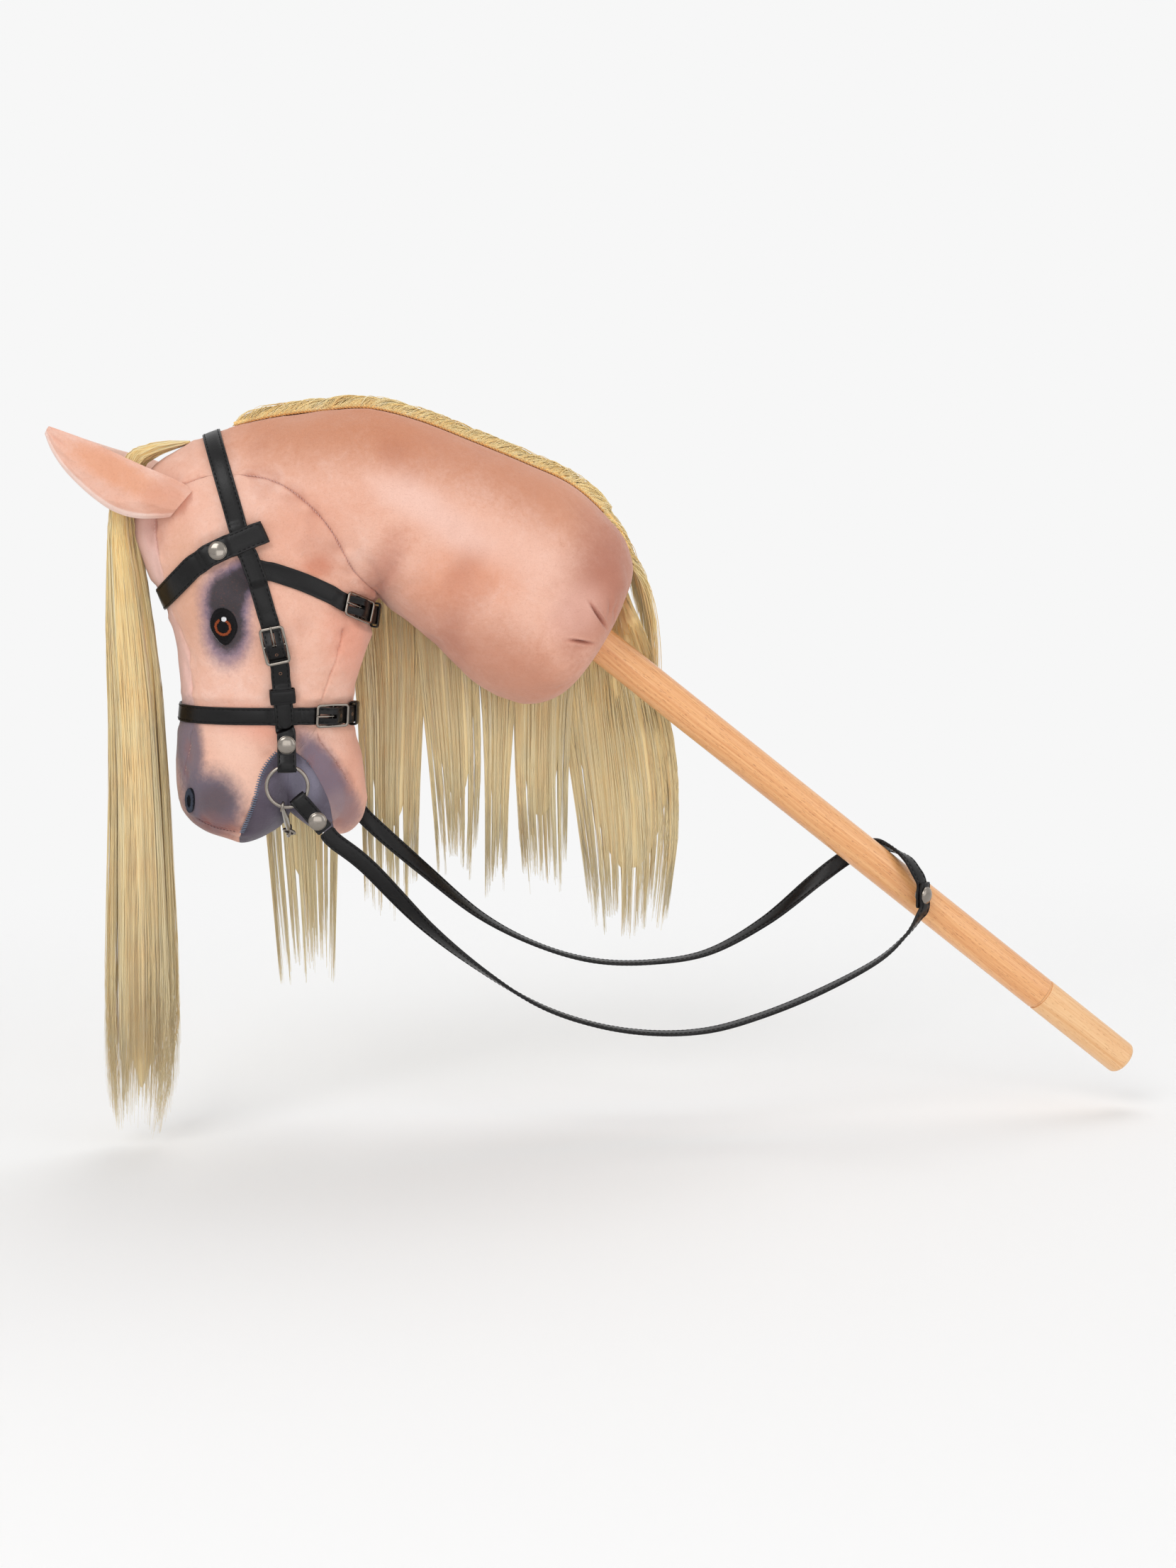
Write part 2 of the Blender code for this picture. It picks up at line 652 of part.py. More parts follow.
def refined(profile, step=STATION):
    """A profile of (station, height, slotted) points with no stretch longer than step."""
    points = []
    for (s0, h0, slot), (s1, h1, _) in zip(profile, profile[1:]):
        count = max(1, math.ceil(math.hypot(s1 - s0, h1 - h0) / step))
        points += [(s0 + (s1 - s0) * k / count, h0 + (h1 - h0) * k / count, slot) for k in range(count)]
    return points + [profile[-1]]


def strip(middle, offset, across, width, slots=None):
    """A flat strip. Offset is half its thickness, as a vector, at each station. Slots marks open stretches."""
    slots = [False] * len(middle) if slots is None else list(slots)
    plain, parted = (-width / 2, width / 2), (-width / 2, -SLOT_WIDTH / 2, SLOT_WIDTH / 2, width / 2)
    vertices, rows, faces = [], [], []
    for i in range(len(middle)):
        edges = parted if slots[i] or slots[max(i - 1, 0)] else plain
        row = []
        for sign in (1, -1):
            row.append(list(range(len(vertices), len(vertices) + len(edges))))
            vertices += [middle[i] + across[i] * e + sign * offset[i] for e in edges]
        rows.append(row)
    for i, (here, there) in enumerate(zip(rows, rows[1:])):
        for a, b in zip(here, there):
            if slots[i]:
                faces += [(a[0], a[1], b[1], b[0]), (a[2], a[3], b[3], b[2])]
            else:
                faces.append((*a, *reversed(b)))
        for lane in (0, 1, 2, 3) if slots[i] else (0, -1):
            faces.append((here[0][lane], there[0][lane], there[1][lane], here[1][lane]))
        if slots[i] and not slots[max(i - 1, 0)]:
            faces.append((here[0][1], here[0][2], here[1][2], here[1][1]))
        if slots[i] and not slots[i + 1]:
            faces.append((there[0][1], there[0][2], there[1][2], there[1][1]))
    faces += [(*row[0], *reversed(row[1])) for row in (rows[0], rows[-1])]
    return np.array(vertices), faces


def strap_on(path, profile, width, thickness=STRAP_THICKNESS):
    """A strap whose side view over the path is the profile of (station, height, slotted) points."""
    points = refined([(*p, False) if len(p) == 2 else p for p in profile])
    sh = np.array([(p[0], p[1]) for p in points])
    step = unit(np.diff(sh, axis=0))
    before, after = np.vstack([step[:1], step]), np.vstack([step, step[-1:]])
    normal = unit(np.stack([-(before + after)[:, 1], (before + after)[:, 0]], axis=1))
    facing = np.stack([-after[:, 1], after[:, 0]], axis=1)
    stretch = 1.0 / np.maximum(np.sum(normal * facing, axis=1), 0.6)
    place, along, out, across = path.frame(sh[:, 0])
    middle = place + out * sh[:, 1:2]
    offset = (normal[:, :1] * along + normal[:, 1:] * out) * (thickness / 2 * stretch)[:, None]
    return strip(middle, offset, across, width, [p[2] for p in points])


def arc(s, height, radius, start, stop, count=6, slotted=False):
    """Profile points on an arc round (s, height), angles in degrees from the strap's direction."""
    angles = np.radians(np.linspace(start, stop, count + 1))
    return [(s + radius * math.cos(a), height + radius * math.sin(a), slotted) for a in angles]


def layer(k, thickness=STRAP_THICKNESS):
    """Height over the skin of the middle of the strap that is the k-th from below."""
    return SKIN_GAP + thickness / 2 + (k - 1) * (thickness + LAYER_GAP)


def mirrored(vertices):
    """The vertices on the other side of the centre plane."""
    return np.asarray(vertices) * np.array([1.0, -1.0, 1.0])


class StraightPath:
    """A straight line with a constant frame, for straps that hold their own shape."""

    def __init__(self, place, along, out):
        self.place, self.along, self.out = np.asarray(place, float), unit(along), unit(out)

    def frame(self, s):
        """Place, along, outwards and across at the stations s."""
        s = np.atleast_1d(np.asarray(s, float))
        along, out = (np.repeat(v[None], len(s), axis=0) for v in (self.along, self.out))
        return self.place + s[:, None] * along, along, out, np.cross(along, out)

    def at(self, s, height, across=0.0):
        """One point over the line."""
        place, _, out, side = (v[0] for v in self.frame(s))
        return place + out * height + side * across


# Stick

def stick_axis():
    """Direction of the stick, from the grip to its lower end."""
    return np.array([math.cos(STICK_SLOPE), 0.0, -math.sin(STICK_SLOPE)])


def build_stick(wood, pale_wood):
    """The stick with a bored lower end, and the end piece whose tenon turns in that bore."""
    radius, bore = STICK_DIAMETER / 2, TENON_DIAMETER / 2 + CLEARANCE
    top, joint = -NECK_EXIT - STICK_IN_NECK, GRIP_TO_JOINT
    edge = 0.8
    stick = (
        (top, 0.0), (top, radius - 3 * edge), (top + 3 * edge, radius), (joint - edge, radius),
        (joint, radius - edge), (joint, bore), (joint - TENON_LENGTH - CLEARANCE, bore),
        (joint - TENON_LENGTH - CLEARANCE, 0.0),
    )
    axis, up = stick_axis(), (0.0, 1.0, 0.0)
    add_object("stick", *turned(stick, ROUND_SIDES, (0, 0, 0), axis, up), wood)
    end, shoulder = joint + TIP_LENGTH, joint + GROOVE_WIDTH
    neck = radius - GROOVE_DEPTH
    rounding = [
        (end - TIP_ROUNDING * (1 - math.sin(a)), radius - TIP_ROUNDING * (1 - math.cos(a)))
        for a in np.radians(np.linspace(0, 90, 5))
    ]
    tip = (
        (joint - TENON_LENGTH, 0.0), (joint - TENON_LENGTH, TENON_DIAMETER / 2 - edge),
        (joint - TENON_LENGTH + edge, TENON_DIAMETER / 2), (joint + CLEARANCE, TENON_DIAMETER / 2),
        (joint + CLEARANCE, neck), (shoulder, neck), (shoulder, radius - edge / 2),
        (shoulder + edge / 2, radius), *rounding, (end, 0.0),
    )
    add_object("stick_end", *turned(tip, ROUND_SIDES, (0, 0, 0), axis, up), pale_wood, pivot=axis * joint)


# Stuffed pieces

def prism(name, outline):
    """A cutter: a side-view outline carried across the whole body."""
    points = [side_view(p, y) for y in (-OUTSIDE, OUTSIDE) for p in outline]
    count = len(outline)
    faces = [(i, (i + 1) % count, count + (i + 1) % count, count + i) for i in range(count)]
    faces += [tuple(range(count)), tuple(range(2 * count - 1, count - 1, -1))]
    return as_cutter(add_object(name, points, faces, None))


def build_body(plush, lining):
    """The stuffed neck, head, jaw and lips: one form divided along its seams, with the stick's bore."""
    grid = body_grid(BODY_ROWS_PER_SPAN, BODY_COLUMNS, CAP_ROWS)
    left, right, top, floor = -420.0, 40.0, 260.0, -130.0
    throat = ((-208.6, 74.0), (THROAT_OUTSIDE_X, 62.0), (THROAT_OUTSIDE_X, floor))
    upper, lower = (MOUTH_CORNER, *UPPER_LIP_SEAM), (MOUTH_CORNER, *LOWER_LIP_SEAM)
    regions = {
        "neck": ((left, 150.0), *CHEEK_SEAM, *throat, (right, floor), (right, top), (left, top)),
        "head": (
            (left, 150.0), *CHEEK_SEAM, *throat[:2], (THROAT_OUTSIDE_X, 2.0), *reversed(JAW_SPLIT),
            LOWER_LIP_SEAM[0], *upper, (-309.0, -84.0), (-309.0, floor), (left, floor),
        ),
        "jaw": (
            (THROAT_OUTSIDE_X, 2.0), *reversed(JAW_SPLIT), *LOWER_LIP_SEAM, (-243.5, -84.0), (-243.5, floor),
            (THROAT_OUTSIDE_X, floor),
        ),
        "upper_lip": (*upper, (-309.0, -84.0), (-309.0, floor), (MOUTH_FOLD_X, floor)),
        "lower_lip": (*lower, (-243.5, -84.0), (-243.5, floor), (MOUTH_FOLD_X, floor)),
    }
    for name, outline in regions.items():
        piece = add_object(name, *body_mesh(grid), lining if "lip" in name else plush, weld=0.01)
        boolean(piece, prism(name + "_region", inset(outline, SEAM_GAP / 2)), "INTERSECT")
        if name == "neck":
            axis = stick_axis()
            depth = NECK_EXIT + STICK_IN_NECK + CLEARANCE
            radius = STICK_DIAMETER / 2 + CLEARANCE
            bore = turned(
                ((-depth, 0.0), (-depth, radius), (0.0, radius), (0.0, 0.0)), ROUND_SIDES, (0, 0, 0), axis, (0, 1, 0)
            )
            boolean(piece, as_cutter(add_object("stick_bore", *bore, None)), "DIFFERENCE")


def body_allowance(distance):
    """A cutter: the stuffed body grown by distance, so that what is cut by it lies against the skin."""
    grid = body_grid(BODY_ROWS_PER_SPAN, BODY_COLUMNS, CAP_ROWS)
    made = add_object("body_allowance", *body_mesh(grid), None, weld=0.01)
    shift = [v.co + v.normal * distance * MM for v in made.data.vertices]
    for vertex, place in zip(made.data.vertices, shift):
        vertex.co = place
    return as_cutter(made)


def build_ears(plush, allowance):
    """Two cupped leaves, cut where they are sewn to the head."""
    edges = catmull_rom(EAR_EDGES, 2)
    angle = 2 * math.pi * np.arange(EAR_COLUMNS) / EAR_COLUMNS
    part = np.linspace(0.0, 1.0, len(edges))
    y = EAR_ROOT_Y + (EAR_TIP_Y - EAR_ROOT_Y) * part
    thickness = EAR_THICKNESS * (1 - 0.55 * part)
    upper, lower = edges[:, 0:2], edges[:, 2:4]
    middle, half = (upper + lower) / 2, (upper - lower) / 2
    flat = middle[:, None] + half[:, None] * np.cos(angle)[None, :, None]
    cup = EAR_CUP * np.sqrt(1 - part**2 * 0.9)
    depth = y[:, None] - cup[:, None] * np.sin(angle) ** 2 - thickness[:, None] / 2 * np.sin(angle)
    rings = [np.stack([flat[i, :, 0], depth[i], flat[i, :, 1]], axis=1) for i in range(len(edges))]
    vertices, faces = tube_mesh(rings)
    for name, points in (("ear_left", vertices), ("ear_right", mirrored(vertices))):
        boolean(add_object(name, points, faces, plush), allowance, "DIFFERENCE")


def skin_pad(skin, centre, outline, rise, lift=CLEARANCE):
    """A thin domed pad on the left of the head. Outline gives its edge round the centre."""
    place, normal = skin.hit((centre[0], -FAR, centre[1]), (0.0, 1.0, 0.0))
    normal = normal if normal[1] < 0 else -normal
    along = unit(np.cross(normal, (0.0, 0.0, 1.0)))
    upward = np.cross(along, normal)
    sides = len(outline)
    rings = []
    for share in np.linspace(1.0, 0.0, PAD_RINGS + 1)[:-1]:
        ring = [place + along * a * share + upward * b * share for a, b in outline]
        rings.append((share, [skin.hit(p + normal * PAD_ABOVE, -normal)[0] for p in ring]))
    bottom = [np.array(ring) + normal * lift for _, ring in rings]
    top = [np.array(ring) + normal * (lift + PAD_EDGE + rise * (1 - share**2)) for share, ring in rings]
    vertices = np.vstack([*reversed(bottom), *top])
    faces = grid_faces(2 * PAD_RINGS, sides)
    faces.append(tuple(range(sides - 1, -1, -1)))
    faces.append(tuple(range((2 * PAD_RINGS - 1) * sides, 2 * PAD_RINGS * sides)))
    return vertices, faces


def build_embroidery(skin, thread, slate_thread):
    """Raised embroidered eyes and nostrils."""
    angle = 2 * math.pi * np.arange(PAD_SIDES) / PAD_SIDES
    width = EYE_WIDTH / 2 * (1 - 0.28 * smooth_step(-np.sin(angle)))
    eye = list(zip(width * np.cos(angle), EYE_HEIGHT / 2 * np.sin(angle)))
    slant = np.array([[math.cos(NOSTRIL_SLANT), -math.sin(NOSTRIL_SLANT)], [math.sin(NOSTRIL_SLANT), math.cos(NOSTRIL_SLANT)]])
    slit = np.stack([NOSTRIL_WIDTH / 2 * np.cos(angle), NOSTRIL_LENGTH / 2 * np.sin(angle)], axis=1) @ slant.T
    pads = {
        "eye": (*skin_pad(skin, EYE_CENTRE, eye, EYE_RISE), thread),
        "nostril": (*skin_pad(skin, NOSTRIL_CENTRE, [tuple(p) for p in slit], NOSTRIL_RISE), slate_thread),
    }
    for name, (vertices, faces, finish) in pads.items():
        add_object(name + "_left", vertices, faces, finish)
        add_object(name + "_right", mirrored(vertices), faces, finish)


# Bridle

def fan(skin, centre, towards, angles):
    """Skin points seen from a centre, swinging from a side-view direction towards the left side."""
    return [skin.from_inside(centre, towards, math.radians(a)) for a in angles]


def along_side(skin, points):
    """Skin points on the left side under side-view points."""
    found = [skin.hit((x, -FAR, z), (0.0, 1.0, 0.0)) for x, z in points]
    return [(p, n if n[1] < 0 else -n) for p, n in found]


def both_sides(found):
    """A path that starts on the right side, crosses the centre plane and ends on the left side."""
    places, normals = (np.array([f[k] for f in found]) for k in (0, 1))
    return SkinPath(
        np.vstack([mirrored(places[:0:-1]), places]), np.vstack([mirrored(normals[:0:-1]), normals])
    )


class Buckle:
    """A centre-bar buckle on a path: its heights, its frame and prong, and how the straps pass it.

    Distances are from the centre bar, towards the tail of the pointed strap. Sign is -1 where the
    path's stations run the other way, and turns counts the times round a closed path.
    """

    def __init__(self, path, station, sign, width):
        self.path, self.station, self.sign, self.width = path, station, sign, width
        self.half = (BUCKLE_LENGTH - BUCKLE_WIRE) / 2
        over = STRAP_THICKNESS / 2 + CLEARANCE + BUCKLE_WIRE / 2
        far, near = layer(1) + over, layer(2) + over
        self.bar = (far + near) / 2
        self.top = self.bar + over + STRAP_THICKNESS + LAYER_GAP
        self.turn = over
        path.straighten(station, self.half + 2.0)
        place, along, out, self.across = (v[0] for v in path.frame(station))
        self.tilt = unit(along * sign * 2 * self.half + out * (near - far))
        self.out = unit(out - np.dot(out, self.tilt) * self.tilt)
        self.centre = place + out * self.bar

    def stations(self, points, turns=0):
        """Profile points given from the centre bar, as stations of the path."""
        start = self.station + turns * self.path.length
        return [(start + self.sign * p[0], *p[1:]) for p in points]

    def billet(self, before, after, turns=0):
        """The pointed strap: under the far bar, over the centre bar and under the near bar."""
        foot = self.half - PRONG_CLEAR
        points = [
            *before,
            (-self.half - 3.0, layer(1)),
            (-foot, layer(1)),
            (0.8 - foot, layer(1) + 0.5, True),
            (-1.4, self.top, True),
            (-0.6, self.top),
            (1.4, self.top),
            (7.6, layer(3)),
            (9.4, layer(2)),
            (self.half + 1.5, layer(2)),
            *after,
        ]
        return self.stations(points, turns)

    def loop(self, onwards):
        """The buckle strap: from its folded end over and round the centre bar, then onwards."""
        round_bar = arc(0.0, self.bar, self.turn, 90, 270, slotted=True)
        return self.stations([
            (7.0, layer(2)),
            (4.6, layer(2) + 0.15, True),
            (1.6, self.bar + self.turn - 0.35, True),
            *round_bar,
            (1.6, self.bar - self.turn, True),
            (4.8, layer(1)),
            *onwards,
        ])

    def place(self, along, across, out):
        """A point of the buckle's own frame."""
        return self.centre + self.tilt * along + self.across * across + self.out * out

    def frame_mesh(self):
        """The rounded rectangle of wire."""
        wide = self.width / 2 + BUCKLE_SIDE_CLEARANCE + BUCKLE_WIRE / 2
        line = []
        for turn, (a, c) in enumerate(((1, 1), (-1, 1), (-1, -1), (1, -1))):
            for step in range(4):
                angle = math.radians(90 * turn + 30 * step)
                line.append((
                    a * (self.half - BUCKLE_CORNER) + BUCKLE_CORNER * math.cos(angle),
                    c * (wide - BUCKLE_CORNER) + BUCKLE_CORNER * math.sin(angle),
                ))
        line = np.array(line)
        run = np.roll(line, -1, axis=0) - np.roll(line, 1, axis=0)
        outward = unit(np.stack([run[:, 1], -run[:, 0]], axis=1))
        angle = 2 * math.pi * (np.arange(WIRE_SIDES) + 0.5) / WIRE_SIDES
        flat, up = np.cos(angle) * BUCKLE_WIRE / 2, np.sin(angle) * BUCKLE_WIRE / 2
        vertices = [self.place(*(p + o * f), u) for p, o in zip(line, outward) for f, u in zip(flat, up)]
        return np.array(vertices), closed_faces(len(line), WIRE_SIDES)

    def bar_mesh(self):
        """The centre bar, running into both sides of the frame."""
        wide = self.width / 2 + BUCKLE_SIDE_CLEARANCE + BUCKLE_WIRE / 2
        radius = BUCKLE_WIRE / 2 * BAR_SHARE
        profile = ((-wide, 0.0), (-wide, radius), (wide, radius), (wide, 0.0))
        return turned(profile, WIRE_SIDES, self.centre, self.across, self.tilt)

    def prong_mesh(self):
        """A wire bent round the centre bar, resting on the far bar."""
        ring = (BUCKLE_WIRE + PRONG_WIRE) / 2 + CLEARANCE * 0.8
        points = [*arc(0.0, 0.0, ring, -190, 90, 10), (1.0 - self.half, ring), (-self.half - 1.6, ring - 0.2)]
        path = StraightPath(self.centre, self.tilt, self.out)
        return strap_on(path, [p[:2] for p in points], PRONG_WIRE, PRONG_WIRE)


def keeper_mesh(path, station, width):
    """A loop of leather round a lower strap and the pointed strap over it."""
    inner_side = width / 2 + LAYER_GAP
    inner_low = SKIN_GAP + KEEPER_THICKNESS
    inner_high = KEEPER_HIGH + STRAP_THICKNESS / 2 + LAYER_GAP
    place, along, out, across = (v[0] for v in path.frame(station))
    corners = ((-1, 0), (1, 0), (1, 1), (-1, 1))
    rings = []
    for grow, side in ((0.0, -1), (KEEPER_THICKNESS, -1), (KEEPER_THICKNESS, 1), (0.0, 1)):
        reach = inner_side + grow
        low, high = inner_low - grow, inner_high + grow
        rings.append([
            place + across * a * reach + out * (high if up else low) + along * side * KEEPER_WIDTH / 2
            for a, up in corners
        ])
    return np.vstack(rings), closed_faces(4, 4)


def snap_mesh(place, out, across, low, high):
    """A press stud: base under the straps, post through them and domed cap over them."""
    cap, base, post = SNAP_DIAMETER / 2, SNAP_DIAMETER * 0.39, SNAP_POST_DIAMETER / 2
    under, over = low - LAYER_GAP, high + LAYER_GAP * 0.6
    dome = [
        (over + SNAP_HEIGHT * (0.36 + 0.64 * math.sin(a)), cap * 0.9 * math.cos(a))
        for a in np.radians(np.linspace(0, 90, 4)[:-1])
    ]
    profile = (
        (under - SNAP_BASE_HEIGHT, 0.0), (under - SNAP_BASE_HEIGHT, base), (under, base), (under, post),
        (over, post), (over, cap - 0.3), (over + SNAP_HEIGHT * 0.18, cap), (over + SNAP_HEIGHT * 0.36, cap - 0.2),
        *dome, (over + SNAP_HEIGHT, 0.0),
    )
    return turned(profile, SNAP_SIDES, place, out, across)


class Bridle:
    """The bridle's straps and hardware. Left pieces are built, and right ones are mirrored from them."""

    def __init__(self, skin, leather, metal):
        self.leather, self.metal = leather, metal
        poll = fan(skin, POLL_CENTRE, POLL_TOWARDS, range(0, 91, 6))
        self.cheek = both_sides(poll + along_side(skin, catmull_rom(CHEEK_LINE, 5)))
        brow = fan(skin, FOREHEAD_CENTRE, FOREHEAD_TOWARDS, range(0, 91, 6))
        self.brow = both_sides(brow + along_side(skin, catmull_rom(BROW_LINE, 5)))
        jaw = fan(skin, THROAT_CENTRE, THROAT_TOWARDS, range(0, 91, 6))
        self.throat = both_sides(jaw + along_side(skin, catmull_rom(THROAT_LINE, 5)))
        ring = fan(skin, NOSE_CENTRE, NOSE_TOWARDS, range(0, 360, 5))
        self.nose = SkinPath(np.array([r[0] for r in ring]), np.array([r[1] for r in ring]), closed=True)
        self.ring_turn = self.cheek.down_to(RING_CENTRE_Z + RING_RADIUS - RING_SAG)
        snap = self.cheek.down_to(CHEEK_SNAP_Z)
        half_width = max(abs(self.cheek.at(s, 0.0)[1]) for s in np.linspace(snap, self.ring_turn, 12)) + HANG_CLEAR
        self.cheek.point_down(self.ring_turn, self.ring_turn - snap + SNAP_DIAMETER / 2, half_width)
        self.join(self.brow, BROW_CROSSING)
        self.join(self.throat, THROAT_CROSSING)
        self.join(self.nose, (NOSE_CROSSING_X, NOSE_CENTRE[1]))

    def join(self, path, point):
        """Lets a path and the cheek line share a flat place where they cross on each side."""
        at = self.cheek.down_to(point[1])
        for side, station in ((-1, at), (1, self.cheek.length - at)):
            self.cheek.straighten(station, CROSSING_HALF, 4.0)
            place, _, out, _ = (v[0] for v in self.cheek.frame(station))
            path.straighten(path.nearest(place[0], place[2], side), CROSSING_HALF, 5.0, place, out)

    def add_pair(self, name, mesh, finish, pivot=(0.0, 0.0, 0.0)):
        """A left piece and its mirror image on the right."""
        vertices, faces = mesh
        add_object(name + "_left", vertices, faces, finish, pivot)
        add_object(name + "_right", mirrored(vertices), faces, finish, mirrored(pivot))

    def add_buckle(self, name, buckle, pair):
        """A buckle's frame with its centre bar, and its prong."""
        sides = (("_left", False), ("_right", True)) if pair else (("", False),)
        for side, flip in sides:
            (frame, frame_faces), (bar, bar_faces) = buckle.frame_mesh(), buckle.bar_mesh()
            prong, prong_faces = buckle.prong_mesh()
            pivot = buckle.centre
            if flip:
                frame, bar, prong, pivot = (mirrored(v) for v in (frame, bar, prong, pivot))
            made = add_object(name + "_buckle" + side, frame, frame_faces, self.metal)
            boolean(made, as_cutter(add_object(name + "_bar" + side, bar, bar_faces, None)), "UNION")
            add_object(name + "_prong" + side, prong, prong_faces, self.metal, pivot)

    def add_headpiece(self):
        """The strap over the poll and its lower ends."""
        path = self.cheek
        left = [
            (path.length / 2, layer(1)),
            (path.down_to(BROW_CROSSING[1]) - BROWBAND_WIDTH / 2 - 6.0, layer(1)),
            (path.down_to(BROW_CROSSING[1]) - BROWBAND_WIDTH / 2 - 2.0, layer(2)),
            (path.down_to(CROWN_END_Z), layer(2)),
        ]
        add_object("crownpiece", *strap_on(path, there_and_back(path, left), STRAP_WIDTH), self.leather)

    def add_browband(self):
        """The browband, folded round the crownpiece and snapped on each side."""
        path = self.brow
        snap = path.nearest(*BROW_SNAP)
        for station in (snap, path.length - snap):
            path.straighten(station, SNAP_DIAMETER / 2, 4.0)
        turn = path.nearest(*BROW_TURN)
        radius = (layer(3) - layer(1)) / 2
        left = [
            (path.length / 2, layer(1)),
            (snap - 14.0, layer(1)),
            (snap - 9.5, SNAP_UPPER),
            *snap_hole(snap, SNAP_UPPER),
            (snap + 6.7, SNAP_UPPER),
            (snap + 9.0, layer(3) + 0.15),
            *arc(turn, layer(2), radius + 0.15, 90, -90),
            (snap + 9.4, layer(1)),
            (snap + 5.8, SNAP_LOWER),
            *snap_hole(snap, SNAP_LOWER, -1),
            (snap - 8.0, SNAP_LOWER),
        ]
        add_object("browband", *strap_on(path, there_and_back(path, left), BROWBAND_WIDTH), self.leather)
        self.add_pair("browband_snap", self.snap(path, snap), self.metal)

    def snap(self, path, station):
        """The snap on a path's straps."""
        place, _, out, across = (v[0] for v in path.frame(station))
        return snap_mesh(place, out, across, SNAP_LOWER - STRAP_THICKNESS / 2, SNAP_UPPER + STRAP_THICKNESS / 2)

    def add_cheeks(self):
        """Both cheek straps, with buckles, keepers and the snapped loops round the bit's rings."""
        path = self.cheek
        buckle = Buckle(path, path.down_to(CHEEK_BUCKLE_Z), 1, STRAP_WIDTH)
        keeper = KEEPER_FROM_BAR["cheek"]
        at = buckle.station
        crossing = path.down_to(NOSE_CENTRE[1]) - at
        snap = path.down_to(CHEEK_SNAP_Z) - at
        turn = self.ring_turn - at
        path.straighten(at + keeper, KEEPER_WIDTH / 2 + 1.0, 5.0)
        path.straighten(path.length - at - keeper, KEEPER_WIDTH / 2 + 1.0, 5.0)
        billet = buckle.billet(
            [
                (path.down_to(BILLET_START_Z) - at, layer(3)),
                (path.down_to(CROWN_END_Z) - at + 1.5, layer(3)),
                (path.down_to(CROWN_END_Z) - at + 6.0, layer(1)),
            ],
            [
                *over_keeper(keeper, KEEPER_HIGH, layer(2)),
                (crossing - NOSEBAND_WIDTH / 2 - 1.2, layer(3)),
                (crossing + NOSEBAND_WIDTH / 2 + 1.8, layer(3)),
            ],
        )
        self.add_pair("cheek_billet", strap_on(path, billet, STRAP_WIDTH), self.leather)
        radius = RING_WIRE / 2 + CLEARANCE + STRAP_THICKNESS / 2
        wire = SNAP_LOWER + radius
        lower = buckle.loop([
            *over_keeper(keeper, KEEPER_LOW, layer(1)),
            (snap - 9.4, layer(1)),
            (snap - 5.8, SNAP_LOWER),
            *snap_hole(snap, SNAP_LOWER),
            *arc(turn, wire, radius, -90, 90),
            (turn - RING_SAG - RING_WIRE / 2 - 0.8, SNAP_LOWER + 2 * radius),
            (snap + SNAP_DIAMETER / 2 + 0.8, SNAP_UPPER),
            *snap_hole(snap, SNAP_UPPER, -1),
            (snap - 7.2, SNAP_UPPER),
        ])
        self.add_pair("cheek_strap", strap_on(path, lower, STRAP_WIDTH), self.leather)
        self.add_buckle("cheek", buckle, pair=True)
        self.add_pair("cheek_keeper", keeper_mesh(path, at + keeper, STRAP_WIDTH), self.leather)
        self.add_pair("cheek_snap", self.snap(path, snap + at), self.metal)
        return path.at(turn + at, wire) - np.array([0.0, 0.0, RING_RADIUS - RING_SAG])

    def add_throatlatch(self):
        """The throatlatch, buckled on the left."""
        path = self.throat
        buckle = Buckle(path, path.nearest(*THROAT_BUCKLE), -1, STRAP_WIDTH)
        keeper = KEEPER_FROM_BAR["throat"]
        path.straighten(buckle.station - keeper, KEEPER_WIDTH / 2 + 1.0, 5.0)
        start = buckle.station - path.length + 1.0
        billet = buckle.billet([(start, layer(1))], [*over_keeper(keeper, KEEPER_HIGH, layer(2)), (keeper + 11.0, layer(2))])
        add_object("throatlatch_billet", *strap_on(path, billet, STRAP_WIDTH), self.leather)
        strap = buckle.loop([*over_keeper(keeper, KEEPER_LOW, layer(1)), (buckle.station - 1.0, layer(1))])
        add_object("throatlatch", *strap_on(path, strap, STRAP_WIDTH), self.leather)
        self.add_buckle("throatlatch", buckle, pair=False)
        keeper_at = buckle.station - keeper
        add_object("throatlatch_keeper", *keeper_mesh(path, keeper_at, STRAP_WIDTH), self.leather)

    def add_noseband(self):
        """The noseband: one strap from its buckle under the jaw, round the nose and back."""
        path = self.nose
        buckle = Buckle(path, path.nearest(*NOSE_BUCKLE), 1, NOSEBAND_WIDTH)
        keeper = KEEPER_FROM_BAR["nose"]
        path.straighten(buckle.station + keeper, KEEPER_WIDTH / 2 + 1.0, 5.0)
        right = path.nearest(NOSE_CROSSING_X, NOSE_CENTRE[1], 1) - buckle.station
        left = path.nearest(NOSE_CROSSING_X, NOSE_CENTRE[1]) - buckle.station
        near, away = STRAP_WIDTH / 2 + 0.9, STRAP_WIDTH / 2 + 4.0
        rounds = [
            (crossing % path.length + side * far, height)
            for crossing in (right, left)
            for side, far, height in (
                (-1, away, layer(1)), (-1, near, layer(2)), (1, near, layer(2)), (1, away, layer(1))
            )
        ]
        strap = buckle.loop([*over_keeper(keeper, KEEPER_LOW, layer(1)), *sorted(rounds)])
        tail = buckle.billet([], [*over_keeper(keeper, KEEPER_HIGH, layer(2)), (keeper + 11.0, layer(2))], turns=1)
        add_object("noseband", *strap_on(path, strap + tail, NOSEBAND_WIDTH), self.leather)
        self.add_buckle("noseband", buckle, pair=False)
        keeper_at = buckle.station + keeper
        add_object("noseband_keeper", *keeper_mesh(path, keeper_at, NOSEBAND_WIDTH), self.leather)


